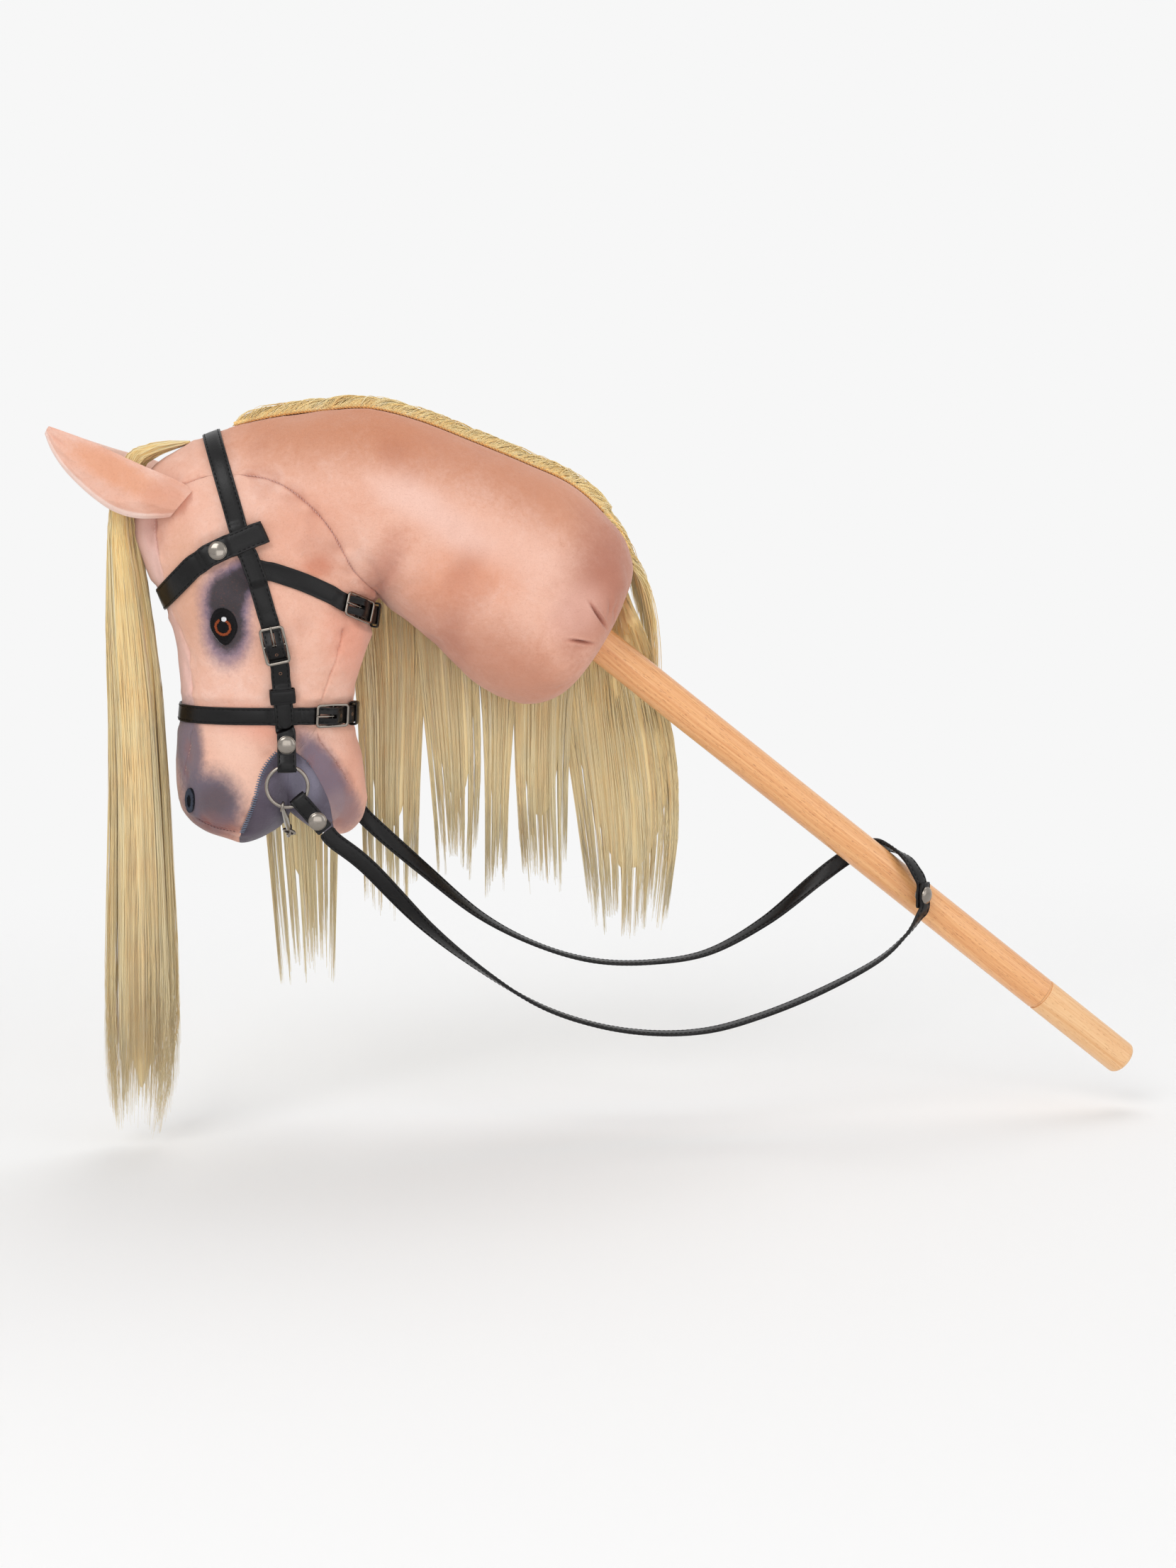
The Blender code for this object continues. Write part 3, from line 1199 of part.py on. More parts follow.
def there_and_back(path, left):
    """A profile given from the path's middle to its left end, with its mirror image before it."""
    right = [(path.length - p[0], *p[1:]) for p in left[:0:-1]]
    return mirrored_slots(right) + left


def mirrored_slots(profile):
    """A reversed profile with each slot on the same stretch as before."""
    padded = [(*p, False) if len(p) == 2 else p for p in profile]
    return [(p[0], p[1], q[2]) for p, q in zip(padded, padded[1:])] + [(*padded[-1][:2], False)]


def snap_hole(station, height, direction=1):
    """Profile points of a strap with the hole for a snap's post."""
    half = SLOT_WIDTH / 2
    return [(station - direction * half, height, True), (station + direction * half, height)]


def over_keeper(distance, height, before):
    """Profile points of a strap lifted by a keeper at a distance from the buckle's bar."""
    half = KEEPER_WIDTH / 2 + 0.4
    return [
        (distance - half - 3.0, before), (distance - half, height), (distance + half, height),
        (distance + half + 3.0, before),
    ]


# Bit and reins

def bit_arm(ring_centre, side):
    """One arm of the bit: an eye round the ring's wire, a bar and half of the middle link."""
    radial = np.array([math.cos(BIT_EYE_ANGLE), 0.0, math.sin(BIT_EYE_ANGLE)])
    tangent = np.array([-math.sin(BIT_EYE_ANGLE), 0.0, math.cos(BIT_EYE_ANGLE)])
    centre = np.asarray(ring_centre) * np.array([1.0, side, 1.0]) + radial * RING_RADIUS
    reach = (RING_WIRE + BIT_EYE_WIRE) / 2 + CLEARANCE
    eye = torus(centre, tangent, radial, reach, BIT_EYE_WIRE, EYE_SEGMENTS, WIRE_SIDES)
    middle = side_view(BIT_CENTRE)
    link = middle + np.array([0.0, np.sign(centre[1]) * BIT_LINK_RADIUS / 2, 0.0])
    towards = unit(link - centre)
    start = centre + towards * (reach - 0.1)
    length = np.linalg.norm(link - start) - BIT_LINK_RADIUS + 0.1
    wide, slim = BIT_ARM_DIAMETER / 2, BIT_EYE_WIRE / 2
    profile = (
        (0.0, 0.0), (0.0, slim), (3.0, wide * 0.9), (length * 0.5, wide), (length - 3.0, wide * 0.85),
        (length, slim), (length, 0.0),
    )
    bar = turned(profile, 12, start, towards, radial)
    axis = radial if side > 0 else tangent
    axis = unit(axis - np.dot(axis, towards) * towards)
    loop = torus(link, axis, towards, BIT_LINK_RADIUS, BIT_EYE_WIRE, EYE_SEGMENTS, WIRE_SIDES)
    return eye, bar, loop


def add_bit(ring_centre, metal):
    """Two loose rings and the jointed mouthpiece."""
    for name, side in (("left", 1.0), ("right", -1.0)):
        centre = np.asarray(ring_centre) * np.array([1.0, side, 1.0])
        ring = torus(centre, (0, 1, 0), (1, 0, 0), RING_RADIUS, RING_WIRE, RING_SEGMENTS, WIRE_SIDES)
        add_object("bit_ring_" + name, *ring, metal, centre)
        eye, bar, loop = bit_arm(ring_centre, side)
        arm = add_object("bit_arm_" + name, *bar, metal, centre)
        for end, mesh in (("eye", eye), ("link", loop)):
            boolean(arm, as_cutter(add_object(f"bit_{end}_{name}", *mesh, None)), "UNION")


def rein_mesh(route, hole):
    """A strap along a route of places and outward directions, with a snap's hole in stretch hole."""
    rows = catmull_rom(route, REIN_SPANS)
    points, out = rows[:, :3], rows[:, 3:]
    along = unit(np.gradient(points, axis=0))
    out = unit(out - np.sum(out * along, axis=1, keepdims=True) * along)
    slots = [hole * REIN_SPANS <= i < (hole + 1) * REIN_SPANS for i in range(len(points))]
    return strip(points, out * REIN_THICKNESS / 2, np.cross(along, out), REIN_WIDTH, slots)


def add_reins(ring_centre, leather, metal):
    """The snapped loops round the rings, and the reins from them to the snap at the stick."""
    facing = unit(REIN_SNAP_FACING)
    apart = (REIN_THICKNESS + LAYER_GAP) / 2
    for name, side, route in (("left", 1.0, LEFT_REIN_ROUTE), ("right", -1.0, RIGHT_REIN_ROUTE)):
        centre = np.asarray(ring_centre) * np.array([1.0, side, 1.0])
        angle = REIN_LOOP_ANGLES[name]
        radial = np.array([math.cos(angle), 0.0, math.sin(angle)])
        outside = np.array([0.0, -side, 0.0])
        radius = RING_WIRE / 2 + CLEARANCE + REIN_THICKNESS / 2
        near = SNAP_FROM_RING - SNAP_DIAMETER / 2 - 1.0
        path = StraightPath(centre + radial * RING_RADIUS, radial, outside)
        profile = [
            (REIN_LOOP_LENGTH, -apart),
            *snap_hole(SNAP_FROM_RING, -apart, -1),
            (near, -apart),
            (RING_WIRE / 2 + 1.0, -radius),
            *arc(-RING_SAG, 0.0, radius, 270, 90),
            (RING_WIRE / 2 + 1.0, radius),
            (near, apart),
            *snap_hole(SNAP_FROM_RING, apart),
            (REIN_LOOP_LENGTH, apart),
        ]
        add_object("rein_loop_" + name, *strap_on(path, profile, REIN_WIDTH, REIN_THICKNESS), leather)
        place, _, out, across = (v[0] for v in path.frame(SNAP_FROM_RING))
        reach = apart + REIN_THICKNESS / 2
        add_object("rein_snap_" + name, *snap_mesh(place, out, across, -reach, reach), metal)
        start = path.at(REIN_LOOP_LENGTH + 3 * LAYER_GAP, apart)
        end = np.asarray(REIN_SNAP_AT) + facing * (apart + LAYER_GAP) * side
        rise = np.array([0.0, 0.0, side])
        half = SLOT_WIDTH / 2
        full = [
            *((*(start + radial * step), *outside) for step in (0.0, 9.0)),
            *route,
            *((*(end + rise * step), *facing) for step in (-REIN_TAIL, -half, half, REIN_TAIL)),
        ]
        add_object("rein_" + name, *rein_mesh(full, len(full) - 3), leather)
    across = np.array([0.0, 0.0, 1.0])
    reach = apart + LAYER_GAP + REIN_THICKNESS / 2
    add_object("rein_end_snap", *snap_mesh(np.array(REIN_SNAP_AT), facing, across, -reach, reach), metal)


# Hair

def crest_line():
    """Crest points x, z under the mane, from its back end to its front end."""
    crest = catmull_rom([(r[0], r[1]) for r in BODY_SECTIONS], 3)
    return np.array([p for p in crest if p[0] > CREST_FROM_X and p[1] > CREST_TO_Z])


def crest_tube(skin, crest, lean, width, height, taper):
    """A bead of oval section along the crest, leaning to one side. Taper thins its ends."""
    rings = []
    runs = unit(np.gradient(crest, axis=0))
    for i, (point, run) in enumerate(zip(crest, runs)):
        run = side_view(run)
        outward = np.cross((0.0, 1.0, 0.0), run)
        direction = math.cos(lean) * outward + math.sin(lean) * np.array([0.0, 1.0, 0.0])
        place, normal = skin.hit(side_view(point) - outward * CREST_DEPTH, direction)
        normal = normal if np.dot(normal, direction) > 0 else -normal
        side = unit(np.cross(normal, run))
        share = i / (len(crest) - 1)
        size = 1 - taper * (1 - math.sin(math.pi * share)) ** 2
        middle = place + normal * (HAIR_GAP + height / 2 * size)
        turns = 2 * math.pi * np.arange(HAIR_SIDES) / HAIR_SIDES
        rings.append(np.array([
            middle + (side * width * math.cos(a) + normal * height * math.sin(a)) * size / 2 for a in turns
        ]))
    return tube_mesh(rings)


def mane_lock(skin, crest, lock):
    """One hanging lock: a slab that lies over the skin and straps and then hangs straight."""
    top_from, top_to, tip_from, tip_to, tip_z, lift = lock
    order = np.argsort(crest[:, 0])
    across = np.linspace(0.0, 1.0, LOCK_COLUMNS)
    rings = []
    for t in np.linspace(0.0, 1.0, LOCK_ROWS) ** 1.5:
        part = 0.5 + (across - 0.5) * (1 - 0.32 * smooth_step((t - 0.55) / 0.45))
        x = (top_from + (top_to - top_from) * part) * (1 - t) + (tip_from + (tip_to - tip_from) * part) * t
        high = np.interp(x, crest[order, 0], crest[order, 1]) - LOCK_DROP
        z = high * (1 - t) + tip_z * t
        gap = HAIR_GAP + (lift - HAIR_GAP) * smooth_step(t * 6.0)
        inner, outer = [], []
        for k in range(LOCK_COLUMNS):
            widths = [skin.side(x[k], z[k] + up, right=True) for up in LOCK_FEEL]
            y = max([w for w in widths if w is not None] + [LOCK_LEAST_Y * smooth_step(t * 2.5)]) + gap
            thick = LOCK_THICKNESS * (0.35 + 0.65 * math.sin(math.pi * across[k])) * (1 - 0.6 * t**2)
            thick *= 0.4 + 0.6 * smooth_step(t * 6.0)
            inner.append((x[k], y, z[k]))
            outer.append((x[k], y + thick, z[k]))
        rings.append(np.array(inner + outer[::-1]))
    return tube_mesh(rings)


def add_mane(skin, hair):
    """The stitched track, the hair that stands on the crest and the locks on the right side."""
    crest = crest_line()
    add_object("mane_track", *crest_tube(skin, crest, TRACK_LEAN, TRACK_DIAMETER, TRACK_DIAMETER, 0.0), hair)
    add_object("mane_crest", *crest_tube(skin, crest, TUFT_LEAN, TUFT_WIDTH, TUFT_HEIGHT, 0.6), hair)
    for number, lock in enumerate(MANE_LOCKS, start=1):
        add_object(f"mane_lock_{number}", *mane_lock(skin, crest, lock), hair)


def add_forelock(hair):
    """The lock that hangs before the forehead."""
    rows = catmull_rom(FORELOCK, 2)
    rings = []
    for i, (x, z, depth, width) in enumerate(rows):
        before, after = rows[max(i - 1, 0), :2], rows[min(i + 1, len(rows) - 1), :2]
        run = unit(side_view(after) - side_view(before))
        out = np.cross(run, (0.0, 1.0, 0.0))
        turns = 2 * math.pi * np.arange(FORELOCK_SIDES) / FORELOCK_SIDES
        middle = side_view((x, z))
        rings.append([middle + out * depth * math.cos(a) + np.array([0.0, width * math.sin(a), 0.0]) for a in turns])
    add_object("forelock", *tube_mesh(rings), hair)


def main():
    """Builds the whole toy."""
    for old in list(bpy.data.objects):
        bpy.data.objects.remove(old)
    plush = material("plush", (0.72, 0.44, 0.28), 0.95)
    lining = material("lining", (0.09, 0.07, 0.09), 0.95)
    slate = material("slate_thread", (0.12, 0.13, 0.17), 0.85)
    thread = material("eye_thread", (0.03, 0.02, 0.02), 0.6)
    leather = material("leather", (0.02, 0.02, 0.02), 0.4)
    metal = material("nickel", (0.75, 0.75, 0.76), 0.22, 1.0)
    wood = material("lacquered_beech", (0.70, 0.35, 0.13), 0.35)
    pale = material("plain_beech", (0.80, 0.50, 0.25), 0.5)
    hair = material("hair", (0.85, 0.66, 0.36), 0.7)
    skin = Skin()
    build_stick(wood, pale)
    build_body(plush, lining)
    allowance = body_allowance(SEAM_GAP)
    build_ears(plush, allowance)
    build_embroidery(skin, thread, slate)
    bridle = Bridle(skin, leather, metal)
    bridle.add_headpiece()
    bridle.add_browband()
    ring_centre = bridle.add_cheeks()
    bridle.add_throatlatch()
    bridle.add_noseband()
    add_bit(ring_centre, metal)
    add_reins(ring_centre, leather, metal)
    add_mane(skin, hair)
    add_forelock(hair)


main()
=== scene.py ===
"""Looks of a hobby horse: a stuffed horse's head on a beech stick, with a strap bridle and reins.

Places are millimetres in the row frame and become metres when a mesh is made. The head faces -X, its
left side is -Y and +Z is up. Left pieces are worked out first, and right ones mirror them.
"""

import json
import logging
import math
from dataclasses import dataclass, field, replace
from enum import Enum
from typing import Callable

import bmesh
import bpy
import numpy as np
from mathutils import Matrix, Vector
from mathutils.bvhtree import BVHTree

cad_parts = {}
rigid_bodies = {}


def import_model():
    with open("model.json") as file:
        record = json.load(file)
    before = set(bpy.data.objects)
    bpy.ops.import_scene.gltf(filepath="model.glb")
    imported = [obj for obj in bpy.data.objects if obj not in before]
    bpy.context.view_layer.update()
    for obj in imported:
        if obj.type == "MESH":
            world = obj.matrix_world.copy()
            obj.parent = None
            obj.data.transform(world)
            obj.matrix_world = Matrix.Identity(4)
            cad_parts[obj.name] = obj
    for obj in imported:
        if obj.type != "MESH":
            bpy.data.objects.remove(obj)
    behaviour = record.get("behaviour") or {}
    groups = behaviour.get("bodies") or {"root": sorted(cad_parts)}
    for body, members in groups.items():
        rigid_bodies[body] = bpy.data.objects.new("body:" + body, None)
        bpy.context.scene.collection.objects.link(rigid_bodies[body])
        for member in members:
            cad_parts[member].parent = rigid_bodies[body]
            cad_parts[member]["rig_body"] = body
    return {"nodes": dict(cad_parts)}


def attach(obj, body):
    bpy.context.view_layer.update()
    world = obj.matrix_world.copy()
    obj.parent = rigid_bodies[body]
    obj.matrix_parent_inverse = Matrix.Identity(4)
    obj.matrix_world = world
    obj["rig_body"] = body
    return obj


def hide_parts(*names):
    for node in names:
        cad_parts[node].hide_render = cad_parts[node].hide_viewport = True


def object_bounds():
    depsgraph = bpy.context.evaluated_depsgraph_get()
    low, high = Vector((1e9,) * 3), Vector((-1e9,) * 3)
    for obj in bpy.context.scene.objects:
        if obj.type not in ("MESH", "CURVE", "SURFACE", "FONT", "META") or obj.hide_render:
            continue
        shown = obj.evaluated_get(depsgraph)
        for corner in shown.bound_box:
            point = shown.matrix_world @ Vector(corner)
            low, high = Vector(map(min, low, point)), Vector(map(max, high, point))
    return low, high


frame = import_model()
cad_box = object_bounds()

Array = np.ndarray
Colour = tuple[float, float, float]
Pair = tuple[float, float]
Triple = tuple[float, float, float]
log = logging.getLogger("hobby_horse")
MM = 0.001
BOTH = (0, -1)
UP = np.array([0.0, 0.0, 1.0])
ASIDE = np.array([0.0, 1.0, 0.0])  # to the horse's right


# Curves


def unit(vectors: Array) -> Array:
    """The vectors scaled to length 1."""
    v = np.asarray(vectors, float)
    return v / np.maximum(np.linalg.norm(v, axis=-1, keepdims=True), 1e-12)


def smooth_step(x: Array) -> Array:
    """0 below 0, 1 above 1, and 3x^2 - 2x^3 between."""
    x = np.clip(x, 0.0, 1.0)
    return x * x * (3 - 2 * x)


def mirrored(points: Array) -> Array:
    """The points on the other side of the centre plane."""
    return np.asarray(points, float) * np.array([1.0, -1.0, 1.0])


def bell(x: Array) -> Array:
    """1 at 0, falling to both sides: e to the power of -x^2."""
    return np.exp(-(x**2))


def powered(x: Array, power: Array | float) -> Array:
    """The power of the size of x, with the sign of x."""
    return np.sign(x) * np.abs(x) ** power


def turns(count: int) -> Array:
    """Angles evenly round a circle."""
    return 2 * math.pi * np.arange(count) / count


def looked_up(at: Array, stations: Array, rows: Array) -> Array:
    """Rows of numbers between those of the stations, by linear interpolation."""
    return np.stack([np.interp(at, stations, rows[:, k]) for k in range(rows.shape[1])], axis=1)


def square_to(vectors: Array, along: Array) -> Array:
    """Unit vectors square to others: each less its part along the other."""
    return unit(vectors - np.sum(vectors * along, axis=-1, keepdims=True) * along)


def side_view(point: Array, y: float = 0.0) -> Array:
    """A point x, z of the side view as x, y, z."""
    return np.array([point[0], y, point[1]])


def catmull_rom(points: Array, per_span: int) -> Array:
    """A smooth curve through points, each span the cubic of Catmull and Rom through its four neighbours.

    Args:
        points: The points, one a row.
        per_span: Steps in each span.

    Returns:
        The curve's points, with the last one.
    """
    p = np.asarray(points, float)
    ends = np.vstack([2 * p[0] - p[1], p, 2 * p[-1] - p[-2]])
    t = np.linspace(0.0, 1.0, per_span, endpoint=False)[:, None]
    spans = [
        0.5 * (2 * b + (c - a) * t + (2 * a - 5 * b + 4 * c - d) * t**2 + (3 * b - a - 3 * c + d) * t**3)
        for a, b, c, d in zip(ends, ends[1:], ends[2:], ends[3:])
    ]
    return np.vstack(spans + [p[-1:]])


def lengths_along(points: Array) -> Array:
    """Distance of each point from the first, along the line."""
    steps = np.linalg.norm(np.diff(points, axis=0), axis=1)
    return np.concatenate([[0.0], np.cumsum(steps)])


def respaced(points: Array, step: float) -> Array:
    """The line's points moved to an even spacing of about step, by linear interpolation over its length.

    Args:
        points: Rows whose first three numbers are a place.
        step: Wanted spacing.

    Returns:
        The new rows.
    """
    p = np.asarray(points, float)
    s = lengths_along(p[:, :3])
    even = np.linspace(0.0, s[-1], max(2, int(round(s[-1] / step)) + 1))
    return looked_up(even, s, p)


def evened(values: Array, window: int) -> Array:
    """A running mean over window rows that keeps both ends where they are.

    Args:
        values: Rows of numbers.
        window: How many rows each mean takes.

    Returns:
        Rows of the same shape.
    """
    half = window // 2
    if half == 0 or len(values) <= half + 1:
        return values
    padded = np.vstack([2 * values[0] - values[half:0:-1], values, 2 * values[-1] - values[-2:-half - 2:-1]])
    mean = np.ones(2 * half + 1) / (2 * half + 1)
    return np.stack([np.convolve(column, mean, "valid") for column in padded.T], axis=1)


def lumps(points: Array, wavelength: float, seed: int, waves: int = 14) -> Array:
    """Smooth noise between about -1 and 1: the mean of sine waves that run in seeded directions.

    Args:
        points: Places, with x, y, z last.
        wavelength: Mean length of the waves.
        seed: Number that picks the directions and phases.
        waves: How many waves are summed.

    Returns:
        One value a place.
    """
    dice = np.random.default_rng(seed)
    ways = unit(dice.normal(size=(waves, 3))) * (2 * math.pi / wavelength)
    ways *= dice.uniform(0.7, 1.4, (waves, 1))
    phase = dice.uniform(0, 2 * math.pi, waves)
    return np.sin(points @ ways.T + phase).sum(axis=-1) * (1.4 / waves**0.5)


def distance_to(points: Array, lines: list[Array]) -> Array:
    """Distance of each point from the nearest of the lines.

    The lines are respaced to 1.5 mm. The nearest mark is found first, and then the distance from the two
    straight stretches beside it.

    Args:
        points: Places, with x, y, z last.
        lines: The lines, as rows of points.

    Returns:
        One distance a place.
    """
    marks = [respaced(line, 1.5) for line in lines]
    here = np.vstack(marks)
    before = np.vstack([np.vstack([m[:1], m[:-1]]) for m in marks])
    after = np.vstack([np.vstack([m[1:], m[-1:]]) for m in marks])
    flat = points.reshape(-1, 3)
    found = np.empty(len(flat))
    for start in range(0, len(flat), 6000):
        part = flat[start:start + 6000]
        near = ((here**2).sum(1)[None] - 2 * part @ here.T).argmin(axis=1)
        away = part - here[near]
        reach = np.full(len(part), np.inf)
        for other in (before, after):
            way = other[near] - here[near]
            share = np.clip((away * way).sum(1) / np.maximum((way**2).sum(1), 1e-9), 0.0, 1.0)
            reach = np.minimum(reach, np.linalg.norm(away - share[:, None] * way, axis=1))
        found[start:start + 6000] = reach
    return found.reshape(points.shape[:-1])


def between(grid: Array, row: Array, column: Array) -> Array:
    """Values of a grid between its rows and columns: the mean of the nearest four, weighted by nearness.

    Args:
        grid: Rows, columns, and numbers.
        row: Row numbers, which may have fractions. Past the edges the last step goes on.
        column: Column numbers like them.

    Returns:
        The values.
    """
    i = np.clip(row.astype(int), 0, len(grid) - 2)
    j = np.clip(column.astype(int), 0, grid.shape[1] - 2)
    t, u = (row - i)[..., None], (column - j)[..., None]
    near = grid[i, j] * (1 - t) * (1 - u) + grid[i + 1, j] * t * (1 - u)
    return near + grid[i, j + 1] * (1 - t) * u + grid[i + 1, j + 1] * t * u


# Meshes


class Mesher:
    """Gathers grids of points into the mesh of one piece."""

    def __init__(self) -> None:
        """Starts with nothing."""
        self.points: list[Array] = []
        self.faces: list[Array] = []
        self.uvs: list[Array] = []
        self.count = 0

    def grid(self, points: Array, around: bool = False, ring: bool = False, caps: tuple[int, ...] = (),
             uv: Array | None = None, skip: Array | None = None) -> "Mesher":
        """Adds a surface given as rows and columns of points.

        Args:
            points: Rows, columns, and x, y, z.
            around: Joins the last column to the first.
            ring: Joins the last row to the first.
            caps: Rows, 0 for the first and -1 for the last, that a fan round their middle closes.
            uv: Texture places of the rows and columns, one row or column more where these are joined.
            skip: Marks the faces, by row and column, that are left open.

        Returns:
            The mesher itself.
        """
        rows, columns = points.shape[:2]
        i = np.arange(rows if ring else rows - 1)[:, None]
        j = np.arange(columns if around else columns - 1)[None, :]
        corners = [np.broadcast_arrays(a, b) for a, b in ((i, j), (i, j + 1), (i + 1, j + 1), (i + 1, j))]
        index = np.stack([(a % rows) * columns + b % columns for a, b in corners], axis=-1)
        keep = np.ones(index.shape[:2], bool) if skip is None else ~skip
        self.points.append(points.reshape(-1, 3))
        self.faces.append(index[keep] + self.count)
        uv = np.zeros((rows + 1, columns + 1, 2)) if uv is None else uv
        self.uvs.append(np.stack([uv[a, b] for a, b in corners], axis=-2)[keep].reshape(-1, 2))
        first = self.count
        self.count += rows * columns
        for row in caps:
            edge = first + row % rows * columns + np.arange(columns)
            self.points.append(points[row].mean(axis=0)[None])
            middle = np.full(columns, self.count)
            self.faces.append(np.stack([edge, np.roll(edge, -1), middle], axis=1))
            self.uvs.append(np.repeat(uv[row % rows, :columns], 3, axis=0))
            self.count += 1
        return self

    def rod(self, points: Array) -> "Mesher":
        """Adds a closed rod of rings."""
        return self.grid(points, around=True, caps=BOTH)

    def hoop(self, points: Array) -> "Mesher":
        """Adds a ring of rings."""
        return self.grid(points, around=True, ring=True)

    def rods(self, points: Array, uv: Array | None = None) -> "Mesher":
        """Adds many closed rods of a few faces each.

        Args:
            points: Copies, rings, sides, and x, y, z.
            uv: Texture places of copies and of their points.

        Returns:
            The mesher itself.
        """
        copies, rings, sides = points.shape[:3]
        uv = np.zeros((copies, rings * sides, 2)) if uv is None else uv
        i, j = np.arange(rings - 1)[:, None] * sides, np.arange(sides)[None]
        after = (j + 1) % sides
        quads = np.stack(np.broadcast_arrays(i + j, i + after, i + sides + after, i + sides + j), axis=-1)
        ends = np.stack([np.arange(sides)[::-1], (rings - 1) * sides + np.arange(sides)])
        shift = self.count + np.arange(copies)[:, None, None] * rings * sides
        self.points.append(points.reshape(-1, 3))
        for faces in (quads.reshape(-1, 4), ends):
            self.faces.append((faces[None] + shift).reshape(-1, faces.shape[1]))
            self.uvs.append(uv[:, faces.ravel()].reshape(-1, 2))
        self.count += copies * rings * sides
        return self

    def piece(self, name: str, finish: bpy.types.Material, angle: float = 40.0,
              replaces: tuple[str, ...] = (), slot: str | None = None) -> bpy.types.Object:
        """Makes the piece's object at the origin, rides it on a body and lets it stand for CAD nodes.

        Args:
            name: The piece's name.
            finish: Its material.
            angle: Edges sharper than this many degrees stay sharp.
            replaces: CAD nodes it stands for.
            slot: Not used.

        Returns:
            The object.
        """
        mesh = bpy.data.meshes.new(name)
        corners = np.concatenate([f.ravel() for f in self.faces]).astype(np.int32)
        sizes = np.concatenate([np.full(len(f), f.shape[1]) for f in self.faces])
        mesh.vertices.add(self.count)
        mesh.vertices.foreach_set("co", (np.concatenate(self.points) * MM).astype(np.float32).ravel())
        mesh.loops.add(len(corners))
        mesh.loops.foreach_set("vertex_index", corners)
        mesh.polygons.add(len(sizes))
        mesh.polygons.foreach_set("loop_start", np.concatenate([[0], np.cumsum(sizes)[:-1]]).astype(np.int32))
        layer = mesh.uv_layers.new(name="UVMap")
        layer.data.foreach_set("uv", np.concatenate(self.uvs).astype(np.float32).ravel())
        mesh.update(calc_edges=True)
        return finished(name, mesh, finish, angle, replaces)


def in_scene(name: str, data: bpy.types.ID) -> bpy.types.Object:
    """A new object of the scene.

    Args:
        name: Its name.
        data: Its mesh, lamp or camera.

    Returns:
        The object.
    """
    made = bpy.data.objects.new(name, data)
    bpy.context.scene.collection.objects.link(made)
    return made


def finished(name: str, mesh: bpy.types.Mesh, finish: bpy.types.Material, angle: float = 40.0,
             replaces: tuple[str, ...] = ()) -> bpy.types.Object:
    """Turns faces outwards, smooths them, and makes the object, which rides with the node it replaces.

    Args:
        name: The piece's name.
        mesh: Its mesh, in metres.
        finish: Its material.
        angle: Edges sharper than this many degrees stay sharp.
        replaces: CAD nodes it stands for.

    Returns:
        The object.
    """
    work = bmesh.new()
    work.from_mesh(mesh)
    bmesh.ops.recalc_face_normals(work, faces=work.faces)
    work.to_mesh(mesh)
    work.free()
    mesh.shade_smooth()
    mesh.set_sharp_from_angle(angle=math.radians(angle))
    mesh.materials.clear()
    mesh.materials.append(finish)
    made = in_scene(name, mesh)
    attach(made, frame["nodes"][replaces[0]]["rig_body"] if replaces else "toy")
    if replaces:
        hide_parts(*replaces)
    log.info("%s: %d faces", name, len(mesh.polygons))
    return made


def as_mesh(name: str, mesher: Mesher, weld: float = 0.0) -> bpy.types.Mesh:
    """The mesher's surface as a closed mesh with outward faces, in metres.

    Args:
        name: The mesh's name.
        mesher: The surface.
        weld: Points closer than this many millimetres become one.

    Returns:
        The mesh.
    """
    mesh = bpy.data.meshes.new(name)
    faces = [f for block in mesher.faces for f in block.tolist()]
    mesh.from_pydata((np.concatenate(mesher.points) * MM).tolist(), [], faces)
    work = bmesh.new()
    work.from_mesh(mesh)
    if weld:
        bmesh.ops.remove_doubles(work, verts=work.verts, dist=weld * MM)
    bmesh.ops.recalc_face_normals(work, faces=work.faces)
    bmesh.ops.triangulate(work, faces=[f for f in work.faces if len(f.verts) > 4])
    work.to_mesh(mesh)
    work.free()
    return mesh


def lathe(profile: Array, origin: Array, axis: Array, sides: int) -> Array:
    """A turned surface: each (distance, radius) of the profile is a circle round the axis.

    Args:
        profile: Rows of distance along the axis and radius.
        origin: Where the distance is 0.
        axis: The axis's direction.
        sides: Points round each circle.

    Returns:
        Points of rows and columns.
    """
    p = np.asarray(profile, float)
    axis = unit(axis)
    across = unit(np.cross(axis, [0.31, 0.94, 0.17]))
    third = np.cross(axis, across)
    angle = turns(sides)
    round_it = np.cos(angle)[:, None] * across + np.sin(angle)[:, None] * third
    return np.asarray(origin, float) + p[:, None, :1] * axis + p[:, 1:, None] * round_it[None]


def tube(line: Array, radius: Array | float, sides: int, closed: bool = False, hint: Array = UP) -> Array:
    """A round wire: circles square to a line, turned as little as the hint allows.

    Args:
        line: The line's points.
        radius: One radius, or one a point.
        sides: Points round each circle.
        closed: The line ends where it starts.
        hint: A direction that the line never follows.

    Returns:
        Points of rows and columns.
    """
    p = np.asarray(line, float)
    run = np.roll(p, -1, axis=0) - np.roll(p, 1, axis=0) if closed else np.gradient(p, axis=0)
    run = unit(run)
    across = unit(np.cross(run, hint))
    third = np.cross(run, across)
    angle = turns(sides)
    size = np.broadcast_to(np.asarray(radius, float), len(p))[:, None, None]
    round_it = np.cos(angle)[None, :, None] * across[:, None] + np.sin(angle)[None, :, None] * third[:, None]
    return p[:, None] + size * round_it


